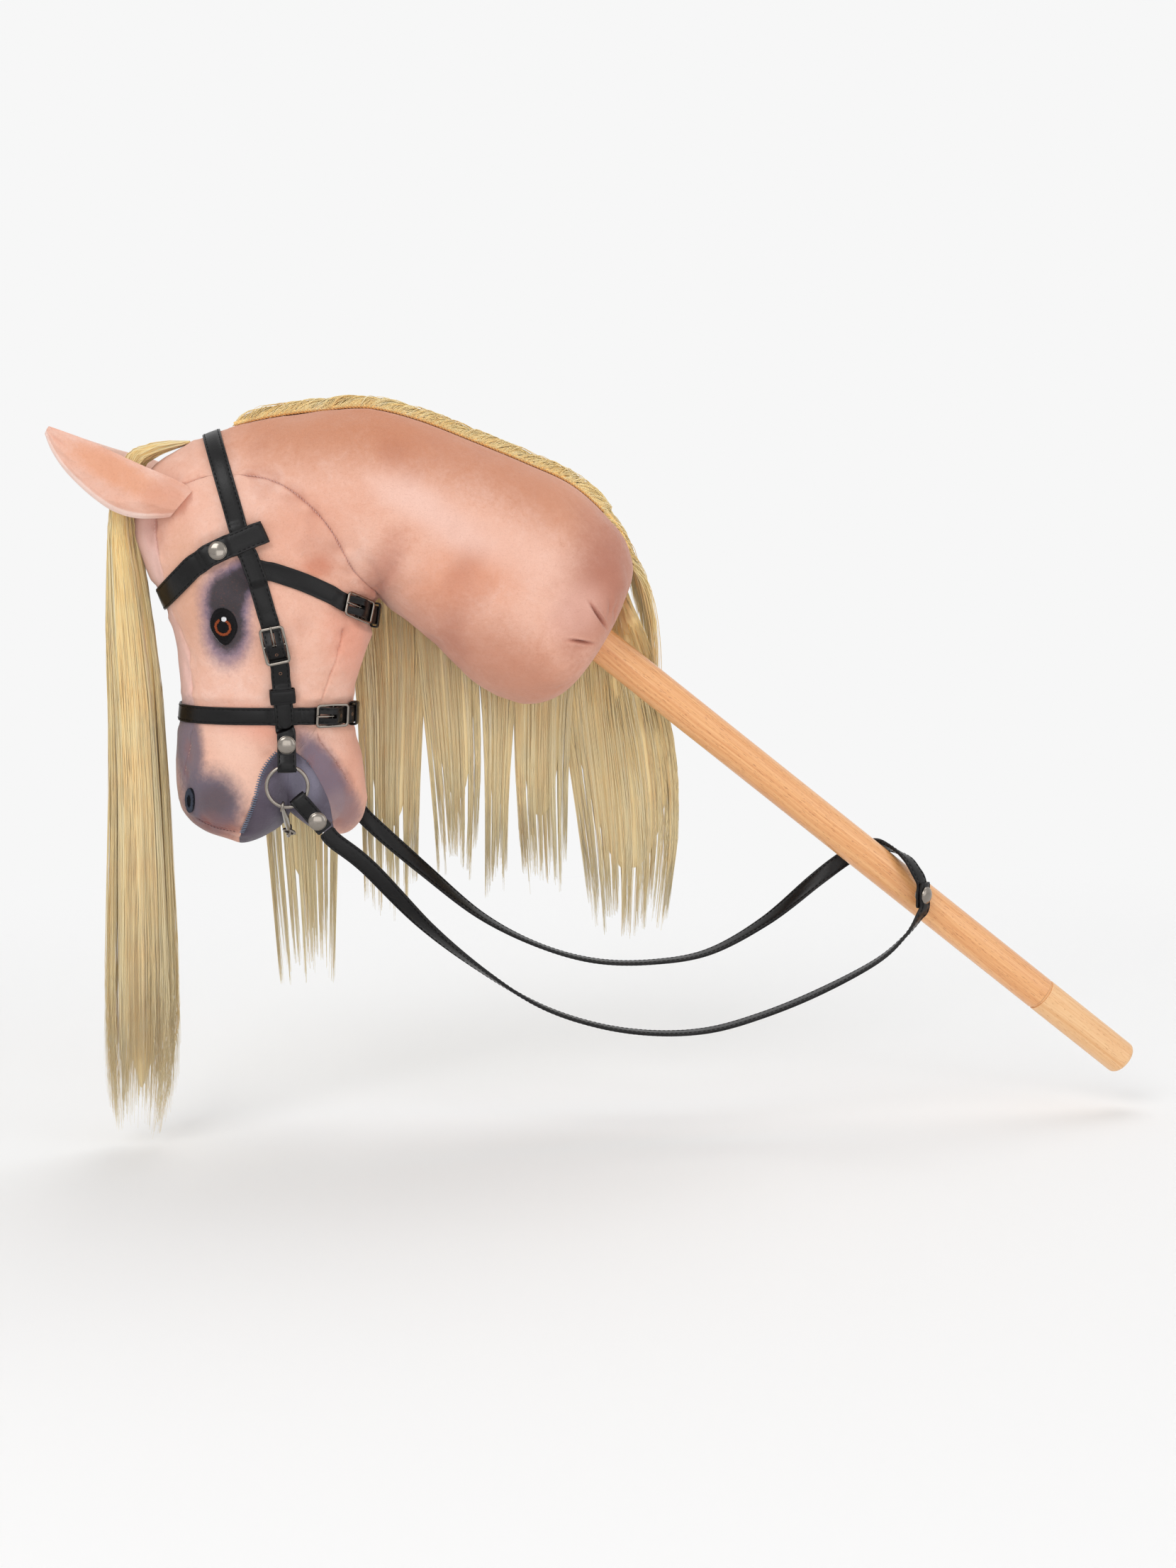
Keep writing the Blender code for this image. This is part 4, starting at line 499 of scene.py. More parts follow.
def torus(centre: Array, axis: Array, radius: float, wire: float, segments: int, sides: int) -> Array:
    """A ring of round wire: a circle of wire carried round a circle of radius square to the axis.

    Args:
        centre: The ring's middle.
        axis: Direction square to the ring.
        radius: From the middle to the middle of the wire.
        wire: The wire's thickness.
        segments: Points round the ring.
        sides: Points round the wire.

    Returns:
        Points of rows and columns.
    """
    axis = unit(axis)
    across = unit(np.cross(axis, [0.31, 0.94, 0.17]))
    turn = turns(segments)
    line = np.cos(turn)[:, None] * across + np.sin(turn)[:, None] * np.cross(axis, across)
    return tube(np.asarray(centre, float) + radius * line, wire / 2, sides, True, axis)


# Shader maths


class Value:
    """One output of a node. Arithmetic on it adds Math nodes."""

    def __init__(self, nodes: "Nodes", socket: bpy.types.NodeSocket) -> None:
        """Keeps the tree and the socket."""
        self.nodes = nodes
        self.socket = socket

    def __add__(self, other: "Value | float") -> "Value":
        """Sum."""
        return self.nodes.math("ADD", self, other)

    def __sub__(self, other: "Value | float") -> "Value":
        """Difference."""
        return self.nodes.math("SUBTRACT", self, other)

    def __rsub__(self, other: float) -> "Value":
        """Difference from a number."""
        return self.nodes.math("SUBTRACT", other, self)

    def __mul__(self, other: "Value | float") -> "Value":
        """Product."""
        return self.nodes.math("MULTIPLY", self, other)

    def __truediv__(self, other: "Value | float") -> "Value":
        """Quotient."""
        return self.nodes.math("DIVIDE", self, other)

    def __pow__(self, other: "Value | float") -> "Value":
        """Power."""
        return self.nodes.math("POWER", self, other)

    __radd__ = __add__
    __rmul__ = __mul__

    def rises(self, low: float, high: float) -> "Value":
        """A smooth rise from 0 at low to 1 at high, or a fall where high is the lower.

        Args:
            low: Where the rise starts.
            high: Where it ends.

        Returns:
            The rise.
        """
        fall = high < low
        settings = {"interpolation_type": "SMOOTHSTEP"}
        step = self.nodes.add("ShaderNodeMapRange", settings, {0: self, 1: min(low, high), 2: max(low, high)})
        return 1 - step if fall else step


class Nodes:
    """The nodes of one material or world, round the shader that it starts with."""

    def __init__(self, owner: bpy.types.Material | bpy.types.World) -> None:
        """Turns the owner's nodes on.

        Args:
            owner: What the nodes belong to.
        """
        owner.use_nodes = True
        self.owner, self.tree = owner, owner.node_tree
        self.output = next(node for node in self.tree.nodes if not node.outputs)
        self.shader = next(node for node in self.tree.nodes if node.outputs)

    @classmethod
    def named(cls, name: str) -> "Nodes":
        """The nodes of a new material."""
        return cls(bpy.data.materials.new(name))

    def add(
        self, kind: str, settings: dict | None = None, inputs: dict | None = None, output: int = 0,
    ) -> Value:
        """Adds one node.

        Args:
            kind: Its type.
            settings: Its properties, and a ramp's stops as pairs of place and colour, which are set first.
            inputs: Values or links of its sockets, by name or number.
            output: Number of the output that is wanted.

        Returns:
            That output.
        """
        node = self.tree.nodes.new(kind)
        for name, value in (settings or {}).items():
            if name != "stops":
                setattr(node, name, value)
                continue
            ramp = node.color_ramp.elements
            for k, (place, colour) in enumerate(value):
                stop = ramp[k] if k < 2 else ramp.new(place)
                stop.position = place
                stop.color = (*colour, 1.0)
        for key, value in (inputs or {}).items():
            self.feed(node.inputs[key], value)
        return Value(self, node.outputs[output])

    def feed(self, socket: bpy.types.NodeSocket, value: "Value | float | tuple") -> None:
        """Links a value to a socket or sets it there.

        Args:
            socket: The socket.
            value: A link, number or colour.
        """
        if isinstance(value, Value):
            self.tree.links.new(value.socket, socket)
        else:
            socket.default_value = (*value, 1.0) if socket.type == "RGBA" else value

    def math(self, operation: str, first: "Value | float", second: "Value | float" = 0.0) -> Value:
        """A Math node."""
        return self.add("ShaderNodeMath", {"operation": operation}, {0: first, 1: second})

    def place(self) -> Value:
        """Object coordinates, in metres."""
        return self.add("ShaderNodeTexCoord", output=3)

    def texture_place(self) -> tuple[Value, Value]:
        """The piece's texture coordinates, apart."""
        both = self.add("ShaderNodeTexCoord", output=2)
        return self.apart(both)[:2]

    def apart(self, vector: Value) -> tuple[Value, Value, Value]:
        """The three parts of a vector."""
        first = self.add("ShaderNodeSeparateXYZ", None, {0: vector})
        return first, Value(self, first.socket.node.outputs[1]), Value(self, first.socket.node.outputs[2])

    def together(self, x: "Value | float", y: "Value | float", z: "Value | float" = 0.0) -> Value:
        """A vector from three parts."""
        return self.add("ShaderNodeCombineXYZ", None, {0: x, 1: y, 2: z})

    def noise(
        self, vector: Value, scale: float, detail: float = 2.0, rough: float = 0.5, swirl: float = 0.0,
    ) -> Value:
        """Noise between 0 and 1."""
        inputs = {"Vector": vector, "Scale": scale, "Detail": detail, "Roughness": rough, "Distortion": swirl}
        return self.add("ShaderNodeTexNoise", None, inputs)

    def mix(self, first: "Value | Colour", second: "Value | Colour", share: "Value | float",
            blend: str = "MIX") -> Value:
        """Two colours mixed."""
        settings = {"data_type": "RGBA", "blend_type": blend}
        return self.add("ShaderNodeMix", settings, {0: share, 6: first, 7: second}, 2)

    def bump(
        self, height: Value, distance: float, strength: float = 1.0, under: Value | None = None,
    ) -> Value:
        """A normal that a height in millimetres of distance shapes, over another normal if one is given.

        Args:
            height: The height.
            distance: Millimetres that a height of 1 stands for.
            strength: Its strength.
            under: A normal that it works on.

        Returns:
            The normal.
        """
        inputs = {"Height": height, "Distance": distance * MM, "Strength": strength}
        if under is not None:
            inputs["Normal"] = under
        return self.add("ShaderNodeBump", None, inputs)

    def finish(self, **sockets: "Value | float | Colour") -> bpy.types.Material:
        """Feeds the shader's sockets, whose names have _ for a space.

        Args:
            sockets: Values or links by socket name.

        Returns:
            What the nodes belong to.
        """
        for name, value in sockets.items():
            self.feed(self.shader.inputs[name.replace("_", " ")], value)
        return self.owner

    def mixed_with(self, other: Value, share: Value) -> None:
        """Shows the other shader in place of the owner's own, as far as the share says.

        Args:
            other: The other shader.
            share: 0 for the own one, 1 for the other.
        """
        both = self.add(
            "ShaderNodeMixShader", None, {0: share, 1: Value(self, self.shader.outputs[0]), 2: other},
        )
        self.tree.links.new(both.socket, self.output.inputs["Surface"])

    def directly_seen(self) -> Value:
        """1 for rays of the camera, gloss and clear surfaces, and 0 for the light that falls on things."""
        ray = [self.add("ShaderNodeLightPath", output=k) for k in (0, 3, 6)]
        return self.math("MINIMUM", ray[0] + ray[1] + ray[2], 1.0)


def rgb(red: float, green: float, blue: float) -> Colour:
    """A colour from 0 to 255 as it looks, as the linear numbers that a shader takes.

    Args:
        red: Red.
        green: Green.
        blue: Blue.

    Returns:
        The linear colour.
    """
    parts = [c / 255 for c in (red, green, blue)]
    return tuple(c / 12.92 if c <= 0.04045 else ((c + 0.055) / 1.055) ** 2.4 for c in parts)


# Finishes


@dataclass(frozen=True)
class Shade:
    """A soft patch of the plush, an ellipse of the side view with a ragged edge: mostly airbrushed colour,
    and in a few places painted highlights and painted shade.
    """

    centre: Pair
    radii: Pair
    colour: Colour
    strength: float = 1.0
    tilt: float = 0.0
    soft: float = 0.6

    def mask(self, nodes: Nodes, x: Value, z: Value, ragged: Value) -> Value:
        """1 inside and 0 outside: sqrt((u/a)^2 + (v/b)^2) of the turned place, pushed about by noise.

        Args:
            nodes: The material's nodes.
            x: The place's x, in metres.
            z: The place's z.
            ragged: Noise that pushes the edge about.

        Returns:
            The mask.
        """
        c, s = math.cos(math.radians(self.tilt)), math.sin(math.radians(self.tilt))
        across, up = x - self.centre[0] * MM, z - self.centre[1] * MM
        u = (across * c + up * s) / (self.radii[0] * MM)
        v = (up * c - across * s) / (self.radii[1] * MM)
        far = nodes.math("SQRT", u * u + v * v) + ragged
        return far.rises(1 + self.soft / 2, 1 - self.soft / 2) * self.strength


@dataclass(frozen=True)
class Plush:
    """Short-pile velour: mottled colour, brushed nap, airbrushed patches, painted highlights and shade."""

    name: str = "plush"
    pale: Colour = rgb(245, 204, 188)
    middle: Colour = rgb(238, 186, 164)
    deep: Colour = rgb(226, 164, 138)
    gusset: Colour | None = None  # colour of the strip down the face, where the mesh marks it
    # fold: colour of painted shade in seams and creases, partly the plush's own brown; it also darkens random
    # tufts
    fold: Colour = rgb(168, 98, 78)  # colour in seams and creases, where the mesh marks them
    shades: tuple[Shade, ...] = ()
    sheen: float = 0.25

    def make(self) -> bpy.types.Material:
        """The material.

        Returns:
            The material.
        """
        n = Nodes.named(self.name)
        place = n.place()
        cloud = n.noise(place, 14.0, 3.0, 0.55, 0.5)
        patch = n.noise(place, 55.0, 4.0, 0.62, 1.4)
        nap = n.noise(place, 330.0, 3.0, 0.6, 0.6)
        pile = n.noise(place, 2300.0, 2.0, 0.6)
        tone = cloud * 0.42 + patch * 0.32 + nap * 0.16 + pile * 0.10
        colour = n.mix(self.deep, self.middle, tone.rises(0.28, 0.50))
        colour = n.mix(colour, self.pale, tone.rises(0.46, 0.70))
        if self.gusset:
            marked = n.add("ShaderNodeAttribute", {"attribute_name": "gusset"}, output=2)
            colour = n.mix(colour, self.gusset, marked * 0.75)
        if self.shades:
            x, _, z = n.apart(place)
            ragged = (patch - 0.5) * 0.25 + (nap - 0.5) * 0.3
            for shade in self.shades:
                colour = n.mix(colour, shade.colour, shade.mask(n, x, z, ragged))
        # Painted shade, partly the plush's own brown, in seams and creases, as deep as the mesh's crease mark
        # says
        folded = n.add("ShaderNodeAttribute", {"attribute_name": "crease"}, output=2)
        colour = n.mix(colour, self.fold, folded * 0.6)
        tuft = n.noise(place, 900.0, 3.0, 0.65, 0.8)
        colour = n.mix(colour, self.fold, tuft.rises(0.5, 0.8) * 0.22)
        height = nap * 0.4 + tuft * 0.35 + pile * 0.25
        return n.finish(
            Base_Color=colour, Roughness=0.92, Sheen_Weight=self.sheen, Sheen_Roughness=0.45,
            Specular_IOR_Level=0.2, Normal=n.bump(height, 0.85, 0.9),
        )


@dataclass(frozen=True)
class Leather:
    """Glossy black grained leather, paler near its edges."""

    name: str = "leather"
    colour: Colour = rgb(9, 8, 9)
    rubbed: Colour = rgb(38, 36, 37)
    half_width: float = 6.0

    def make(self) -> bpy.types.Material:
        """The material.

        Returns:
            The material.
        """
        n = Nodes.named(self.name)
        place = n.place()
        _, across = n.texture_place()
        grain = n.add("ShaderNodeTexVoronoi", {"feature": "F1"}, {"Vector": place, "Scale": 1300.0})
        cloud = n.noise(place, 90.0, 3.0, 0.6, 0.4)
        edge = n.math("ABSOLUTE", across).rises((self.half_width - 0.7) * MM, self.half_width * MM)
        # Paler towards the strap's edges in cloudy patches, and faintly mottled all over
        edge_paling = edge * cloud.rises(0.4, 0.7) * 0.7 + (cloud - 0.5) * 0.12
        wrinkle = n.noise(place, 260.0, 4.0, 0.65, 0.8)
        bumps = n.bump(wrinkle, 0.28, 0.35, n.bump(grain, 0.12, 0.5))
        return n.finish(
            Base_Color=n.mix(self.colour, self.rubbed, edge_paling), Roughness=0.24 + cloud * 0.2,
            Specular_IOR_Level=0.26, Normal=bumps,
        )


@dataclass(frozen=True)
class Nickel:
    """Nickel plate with faint wiping marks, its colour darker than bright nickel as a painted dark
    reflection.
    """

    name: str = "nickel"
    # Darker than nickel is: painted dark reflection of the surroundings
    colour: Colour = rgb(142, 135, 127)
    dull: Colour = rgb(104, 96, 88)

    def make(self) -> bpy.types.Material:
        """The material.

        Returns:
            The material.
        """
        n = Nodes.named(self.name)
        place = n.place()
        smear = n.noise(place, 240.0, 4.0, 0.7, 1.0)
        pits = n.noise(place, 2600.0, 2.0, 0.5)
        return n.finish(
            Base_Color=n.mix(self.colour, self.dull, smear.rises(0.45, 0.9) * 0.45), Metallic=1.0,
            Roughness=0.10 + smear * 0.12, Normal=n.bump(pits, 0.03, 0.25),
        )


@dataclass(frozen=True)
class Beech:
    """Beech along the stick: long soft grain, short dark flecks, and lacquer over it."""

    name: str = "lacquered_beech"
    pale: Colour = rgb(242, 184, 126)
    deep: Colour = rgb(220, 148, 88)
    fleck: Colour = rgb(176, 104, 56)
    slope: float = math.radians(38.5)
    lacquer: float = 0.5

    def make(self) -> bpy.types.Material:
        """The material. Along the stick is x cos - z sin of the slope, and up is x sin + z cos.

        Returns:
            The material.
        """
        n = Nodes.named(self.name)
        x, y, z = n.apart(n.place())
        c, s = math.cos(self.slope), math.sin(self.slope)
        along, up = x * c - z * s, x * s + z * c
        wander = n.noise(n.together(along * 5.0, y * 20.0, up * 20.0), 1.0, 2.0) * 0.012
        ring = n.math("SQRT", (y + 0.031) * (y + 0.031) + (up + 0.047) * (up + 0.047)) + wander
        bands = n.noise(n.together(ring * 520.0, along * 3.0, 0.0), 1.0, 3.0, 0.65)
        fibre = n.noise(n.together(along * 30.0, y * 1500.0, up * 1500.0), 1.0, 3.0, 0.6)
        flecks = n.noise(n.together(along * 210.0, y * 1900.0, up * 1900.0), 1.0, 1.0, 0.5).rises(0.63, 0.70)
        tone = bands * 0.6 + fibre * 0.4
        colour = n.mix(self.deep, self.pale, tone.rises(0.32, 0.66))
        colour = n.mix(colour, self.fleck, flecks * 0.62)
        return n.finish(
            Base_Color=colour, Roughness=0.34 + fibre * 0.16, Coat_Weight=self.lacquer, Coat_Roughness=0.12,
            Normal=n.bump(fibre * 0.5 + flecks * -0.5, 0.06, 0.4),
        )


@dataclass(frozen=True)
class Hair:
    """Combed blonde hair, painted brighter with paler tips for light that shines through it. The texture's
    first number is a strand's tone and its second the way along it.
    """

    name: str = "hair"
    # Near white, brighter than the hair's own colour: painted light through the thin hair
    gold: Colour = rgb(254, 207, 124)
    blonde: Colour = rgb(255, 232, 172)
    pale: Colour = rgb(255, 245, 216)

    def make(self) -> bpy.types.Material:
        """The material.

        Returns:
            The material.
        """
        n = Nodes.named(self.name)
        tone, along = n.texture_place()
        drift = n.noise(n.place(), 45.0, 2.0, 0.5)
        streak = n.noise(n.together(tone * 400.0, along * 5.0), 1.0, 2.0, 0.6)
        mixed = tone * 0.35 + drift * 0.3 + streak * 0.35
        colour = n.mix(self.gold, self.blonde, mixed.rises(0.2, 0.55))
        colour = n.mix(colour, self.pale, mixed.rises(0.5, 0.85) * 0.8)
        # Paler towards the tips: painted light through the translucent ends
        colour = n.mix(colour, self.pale, along.rises(0.55, 1.0) * 0.35)
        return n.finish(
            Base_Color=colour, Roughness=0.40 + streak * 0.12, Specular_IOR_Level=0.4, Sheen_Weight=0.35,
            Sheen_Roughness=0.4, Normal=n.bump(streak, 0.15, 0.1),
        )


@dataclass(frozen=True)
class Thread:
    """Sewing or embroidery thread. Its sheen runs in fine ribs across the texture's second number, and
    painted shade darkens the hollows of its fuzz and ribs.
    """

    name: str = "thread"
    colour: Colour = rgb(90, 90, 95)
    rough: float = 0.55
    ribs: float = 0.0

    def make(self) -> bpy.types.Material:
        """The material.

        Returns:
            The material.
        """
        n = Nodes.named(self.name)
        place = n.place()
        fuzz = n.noise(place, 1800.0, 2.0, 0.6)
        # Painted shade: darker where the fuzz and ribs are low
        hollow_shade = tuple(c * 0.55 for c in self.colour)
        height = fuzz
        if self.ribs:
            _, across = n.texture_place()
            rib = n.math("SINE", across * (2 * math.pi / (self.ribs * MM))) * 0.5 + 0.5
            height = rib * 0.7 + fuzz * 0.3
        return n.finish(
            Base_Color=n.mix(hollow_shade, self.colour, height.rises(0.1, 0.75)), Roughness=self.rough,
            Specular_IOR_Level=0.15, Normal=n.bump(height, 0.18, 0.6),
        )


def thread(name: str, *colour: float) -> bpy.types.Material:
    """The material of a thread of a colour from 0 to 255."""
    return Thread(name, rgb(*colour)).make()


PLUSH_SHADES = (
    Shade((-262.0, 199.0), (66.0, 30.0), rgb(196, 128, 92), 0.75, -2.0, 1.5),
    Shade((-180.0, 188.0), (62.0, 27.0), rgb(198, 128, 92), 0.75, -20.0, 1.5),
    Shade((-102.0, 157.0), (62.0, 26.0), rgb(200, 132, 98), 0.75, -32.0, 1.5),
    Shade((-158.0, 92.0), (36.0, 18.0), rgb(224, 148, 112), 0.6, 12.0, 1.6),
    # Painted highlights: pale bands where light falls on the neck's round side
    Shade((-193.0, 147.0), (24.0, 11.0), rgb(246, 206, 192), 0.55, -24.0, 1.6),
    Shade((-160.0, 124.0), (28.0, 11.0), rgb(246, 206, 192), 0.55, -30.0, 1.6),
    Shade((-105.0, 101.0), (30.0, 14.0), rgb(244, 198, 180), 0.5, -30.0, 1.6),
    # Painted shade in the gathers round the collar
    Shade((-60.0, 92.0), (24.0, 46.0), rgb(180, 118, 98), 0.9, -12.0, 1.6),
    Shade((-82.0, 70.0), (20.0, 14.0), rgb(240, 190, 174), 0.6, 40.0, 1.4),
    # Under the neck: the plush's own brown, and painted shade
    Shade((-118.0, 26.0), (76.0, 24.0), rgb(192, 126, 98), 0.7, -30.0, 1.6),
    Shade((-212.0, 92.0), (10.0, 30.0), rgb(190, 124, 104), 0.6, -20.0, 1.5),
    Shade((-254.0, 101.0), (11.0, 7.0), rgb(214, 136, 108), 0.6, 10.0, 1.4),
    Shade((-262.0, 128.0), (30.0, 19.0), rgb(226, 158, 130), 0.5, 20.0, 1.6),
    Shade((-338.0, 84.0), (12.0, 38.0), rgb(214, 160, 130), 0.6, 8.0, 1.5),
    Shade((-232.0, 52.0), (15.0, 26.0), rgb(236, 158, 134), 0.55, 10.0, 1.5),
    Shade((-300.0, -4.0), (24.0, 11.0), rgb(230, 150, 126), 0.55, -14.0, 1.5),
    Shade((-309.0, -30.0), (16.0, 28.0), rgb(246, 204, 184), 0.6, 20.0, 1.4),
    Shade((-227.0, -38.0), (12.0, 30.0), rgb(238, 172, 146), 0.5, -10.0, 1.5),
    Shade((-313.5, 81.8), (17.0, 21.0), rgb(116, 106, 132), 0.85, -18.0, 0.8),
    Shade((-314.0, 59.5), (16.0, 24.0), rgb(116, 106, 132), 0.85, 0.0, 0.8),
    Shade((-303.6, 94.2), (10.5, 13.0), rgb(116, 106, 132), 0.8, -30.0, 0.8),
    Shade((-313.5, 81.8), (12.5, 16.0), rgb(66, 61, 64), 0.96, -18.0, 0.5),
    Shade((-314.0, 62.5), (11.5, 18.0), rgb(66, 61, 64), 0.96, 0.0, 0.5),
    Shade((-304.6, 92.2), (7.5, 9.5), rgb(66, 61, 64), 0.92, -30.0, 0.5),
    Shade((-327.0, -60.0), (21.0, 25.0), rgb(96, 92, 108), 0.95, 14.0, 0.85),
    Shade((-341.5, -22.0), (10.0, 31.0), rgb(106, 98, 112), 0.9, 2.0, 0.8),
    Shade((-324.0, -56.0), (12.0, 10.0), rgb(98, 84, 88), 0.7, 20.0, 1.2),
    Shade((-250.0, -40.0), (11.5, 36.0), rgb(110, 101, 120), 0.9, 31.0, 0.8),
    Shade((-240.0, -66.0), (13.0, 15.0), rgb(156, 134, 138), 0.8, 20.0, 0.9),
)
EAR_SHADES = (
    Shade((-385.0, 164.0), (32.0, 9.0), rgb(228, 156, 116), 0.6, -28.0, 0.9),
    Shade((-352.0, 146.0), (14.0, 14.0), rgb(222, 158, 132), 0.6, -28.0, 0.9),
)
LINING_SHADES = (
    Shade((-300.0, -70.0), (12.0, 22.0), rgb(84, 74, 86), 0.7, -18.0, 0.8),
    Shade((-266.0, -44.0), (10.0, 16.0), rgb(146, 142, 160), 0.8, 30.0, 0.9),
)


# Studio


@dataclass
class Studio:
    """The camera at the photograph's viewing angle, soft lamps, and a pale floor that sweeps up behind."""

    place: Triple = (-286.55, -1570.05, 141.39)
    azimuth: float = -8.0
    elevation: float = 7.0
    focal_share: float = 3200.0 / 2212.0  # of the picture's height
    sensor: float = 36.0
    white: Colour = rgb(247, 247, 247)
    ambient: float = 0.6
    floor_gap: float = 1.0
    half_floor: float = 7000.0
    sweep_start: float = 1100.0
    sweep_radius: float = 900.0

    def add_camera(self) -> None:
        """The camera."""
        eye = bpy.data.cameras.new("camera")
        eye.sensor_fit = "AUTO"
        eye.sensor_width = self.sensor
        eye.lens = self.sensor * self.focal_share
        eye.clip_start, eye.clip_end = 0.05, 60.0
        made = in_scene("camera", eye)
        a, e = math.radians(self.azimuth), math.radians(self.elevation)
        back = Vector((math.sin(a) * math.cos(e), -math.cos(a) * math.cos(e), math.sin(e)))
        made.location = Vector(self.place) * MM
        made.rotation_euler = (-back).to_track_quat("-Z", "Y").to_euler()
        bpy.context.scene.camera = made

    def add_lamp(self, name: str, place: Triple, size: float, power: float) -> None:
        """A square lamp, in metres, that faces the head.

        Args:
            name: Its name.
            place: Where it stands.
            size: Length of its side.
            power: Watts.
        """
        light = bpy.data.lights.new(name, "AREA")
        light.size = size
        light.energy = power
        made = in_scene(name, light)
        made.location = place
        made.rotation_euler = (Vector((-0.1, 0.0, 0.0)) - Vector(place)).to_track_quat("-Z", "Y").to_euler()

    def light(self) -> None:
        """Lamps, and a world that the camera, glossy and clear surfaces see as white."""
        self.add_lamp("key", (-1.5, -2.0, 2.0), 1.6, 27.0)
        self.add_lamp("low", (-0.2, -2.4, -0.1), 1.6, 10.0)
        self.add_lamp("fill", (1.9, -1.6, 0.7), 1.8, 9.0)
        self.add_lamp("top", (0.3, 1.0, 2.4), 1.6, 15.0)
        n = Nodes(bpy.data.worlds.new("world"))
        bpy.context.scene.world = n.owner
        n.finish(Color=(1.0, 1.0, 1.0), Strength=self.ambient)
        n.mixed_with(n.add("ShaderNodeBackground", None, {"Color": self.white}), n.directly_seen())

    def add_floor(self, lowest: float) -> None:
        """The floor: flat, then a quarter circle, then upright, carried from side to side.

        Args:
            lowest: Height of the toy's lowest point.
        """
        turn = np.linspace(0.0, math.pi / 2, 25)
        r, start = self.sweep_radius, self.sweep_start
        curve = np.stack([start + r * np.sin(turn), r * (1 - np.cos(turn))], axis=1)
        line = np.vstack([[-4500.0, 0.0], [0.0, 0.0], curve, [start + r, 5000.0]])
        line[:, 1] += lowest - self.floor_gap
        points = np.stack([[(x, y, z) for x in (-self.half_floor, self.half_floor)] for y, z in line])
        mesh = as_mesh("floor", Mesher().grid(points))
        mesh.shade_smooth()
        mesh.materials.append(self.paper())
        in_scene("floor", mesh)

    def paper(self) -> bpy.types.Material:
        """White paper that keeps the toy's shadow, and far off shows one even white to camera and gloss.

        Returns:
            The material.
        """
        n = Nodes.named("floor_paper")
        _, y, _ = n.apart(n.place())
        glow = n.add("ShaderNodeEmission", None, {"Color": self.white, "Strength": 1.0})
        n.mixed_with(glow, y.rises(0.25, 1.1) * n.directly_seen())
        return n.finish(Base_Color=self.white, Roughness=0.9, Specular_IOR_Level=0.1)


# Stuffed body

# Collar to mouth: crest or face line x, z; throat or jaw line x, z; half width; squareness
BODY_SECTIONS = (
    (-46.2, 69.0, -73.4, 25.4, 26.0, 2.0),
    (-40.4, 81.5, -80.8, 15.0, 38.0, 2.0),
    (-38.2, 97.5, -91.2, 7.8, 47.5, 2.05),
    (-43.0, 118.5, -104.5, 4.3, 53.5, 2.1),
    (-56.5, 136.8, -119.5, 6.8, 56.0, 2.1),
    (-79.0, 155.8, -137.0, 14.6, 57.0, 2.1),
    (-110.0, 169.9, -156.0, 27.8, 56.5, 2.1),
    (-146.0, 184.4, -174.0, 45.5, 55.5, 2.1),
    (-184.0, 198.8, -190.0, 61.3, 54.5, 2.1),
    (-218.0, 206.4, -201.5, 72.4, 53.5, 2.1),
    (-252.0, 204.0, -208.6, 79.6, 52.5, 2.1),
    (-285.0, 199.4, -212.2, 81.4, 52.0, 2.1),
    (-316.0, 191.2, -213.6, 79.6, 51.5, 2.15),
    (-342.0, 180.0, -214.2, 76.6, 51.0, 2.2),
    (-361.5, 166.5, -214.8, 73.0, 51.0, 2.2),
    (-372.2, 145.5, -215.4, 69.0, 52.5, 2.2),
    (-375.2, 123.5, -216.3, 63.2, 54.5, 2.2),
    (-369.0, 104.5, -218.2, 54.5, 55.5, 2.25),
    (-357.6, 79.0, -221.4, 43.5, 54.0, 2.3),
    (-348.8, 53.5, -225.4, 31.0, 50.5, 2.3),
    (-345.8, 28.5, -228.9, 16.5, 46.5, 2.3),
    (-346.3, 5.0, -230.2, 0.0, 43.8, 2.3),
    (-349.4, -15.5, -229.2, -15.5, 43.0, 2.3),
    (-350.8, -31.0, -225.4, -30.0, 43.5, 2.3),
)
# Lower edge of the lips on the centre plane, from the nose to the chin
LIP_EDGE = (
    (-349.2, -58.0), (-347.0, -66.5), (-341.5, -74.5), (-333.0, -81.2), (-321.0, -87.2), (-309.0, -90.6),
    (-299.5, -87.8), (-290.5, -82.8), (-283.0, -77.6), (-277.8, -72.0), (-274.6, -66.8), (-268.5, -71.8),
    (-262.0, -77.6), (-254.5, -82.8), (-245.0, -85.6), (-235.5, -84.4), (-228.3, -79.0), (-223.8, -71.0),
    (-221.2, -60.0),
)
# Seams of the side view
CHEEK_SEAM = (
    (-374.0, 150.0), (-358.0, 149.0), (-341.0, 155.5), (-326.6, 160.4), (-311.3, 161.6), (-294.2, 160.9),
    (-276.8, 155.3), (-260.7, 143.3), (-246.1, 127.0), (-236.1, 109.2), (-229.6, 98.0), (-220.0, 88.0),
    (-211.6, 82.0),
)
FRONT_SEAM = (
    (-361.0, 134.0), (-360.4, 118.0), (-355.4, 95.5), (-349.9, 70.0), (-342.8, 53.4), (-339.2, 42.4),
    (-338.2, 27.2), (-337.1, 9.0), (-337.9, -6.3), (-341.0, -19.7), (-344.5, -34.6), (-346.3, -44.6),
)
NOSE_SEAM = ((-345.0, -64.0), (-334.6, -72.8), (-323.3, -77.4), (-309.1, -79.5))
CHIN_SEAM = (
    (-236.6, 58.9), (-241.6, 41.3), (-248.0, 24.1), (-251.5, 14.1), (-255.6, -9.4), (-249.1, -22.5),
    (-240.2, -34.3), (-234.1, -46.0),
)
MOUTH_CORNER = (-275.6, -20.5)
UPPER_LIP_SEAM = ((-282.9, -23.3), (-289.7, -30.9), (-294.1, -40.0), (-299.1, -58.6), (-306.0, -76.3))
LOWER_LIP_SEAM = ((-269.7, -23.5), (-260.8, -32.3), (-252.9, -46.9), (-247.9, -59.6), (-245.4, -75.0))
JAW_SPLIT = ((-252.0, -2.0), (-226.0, 0.5))


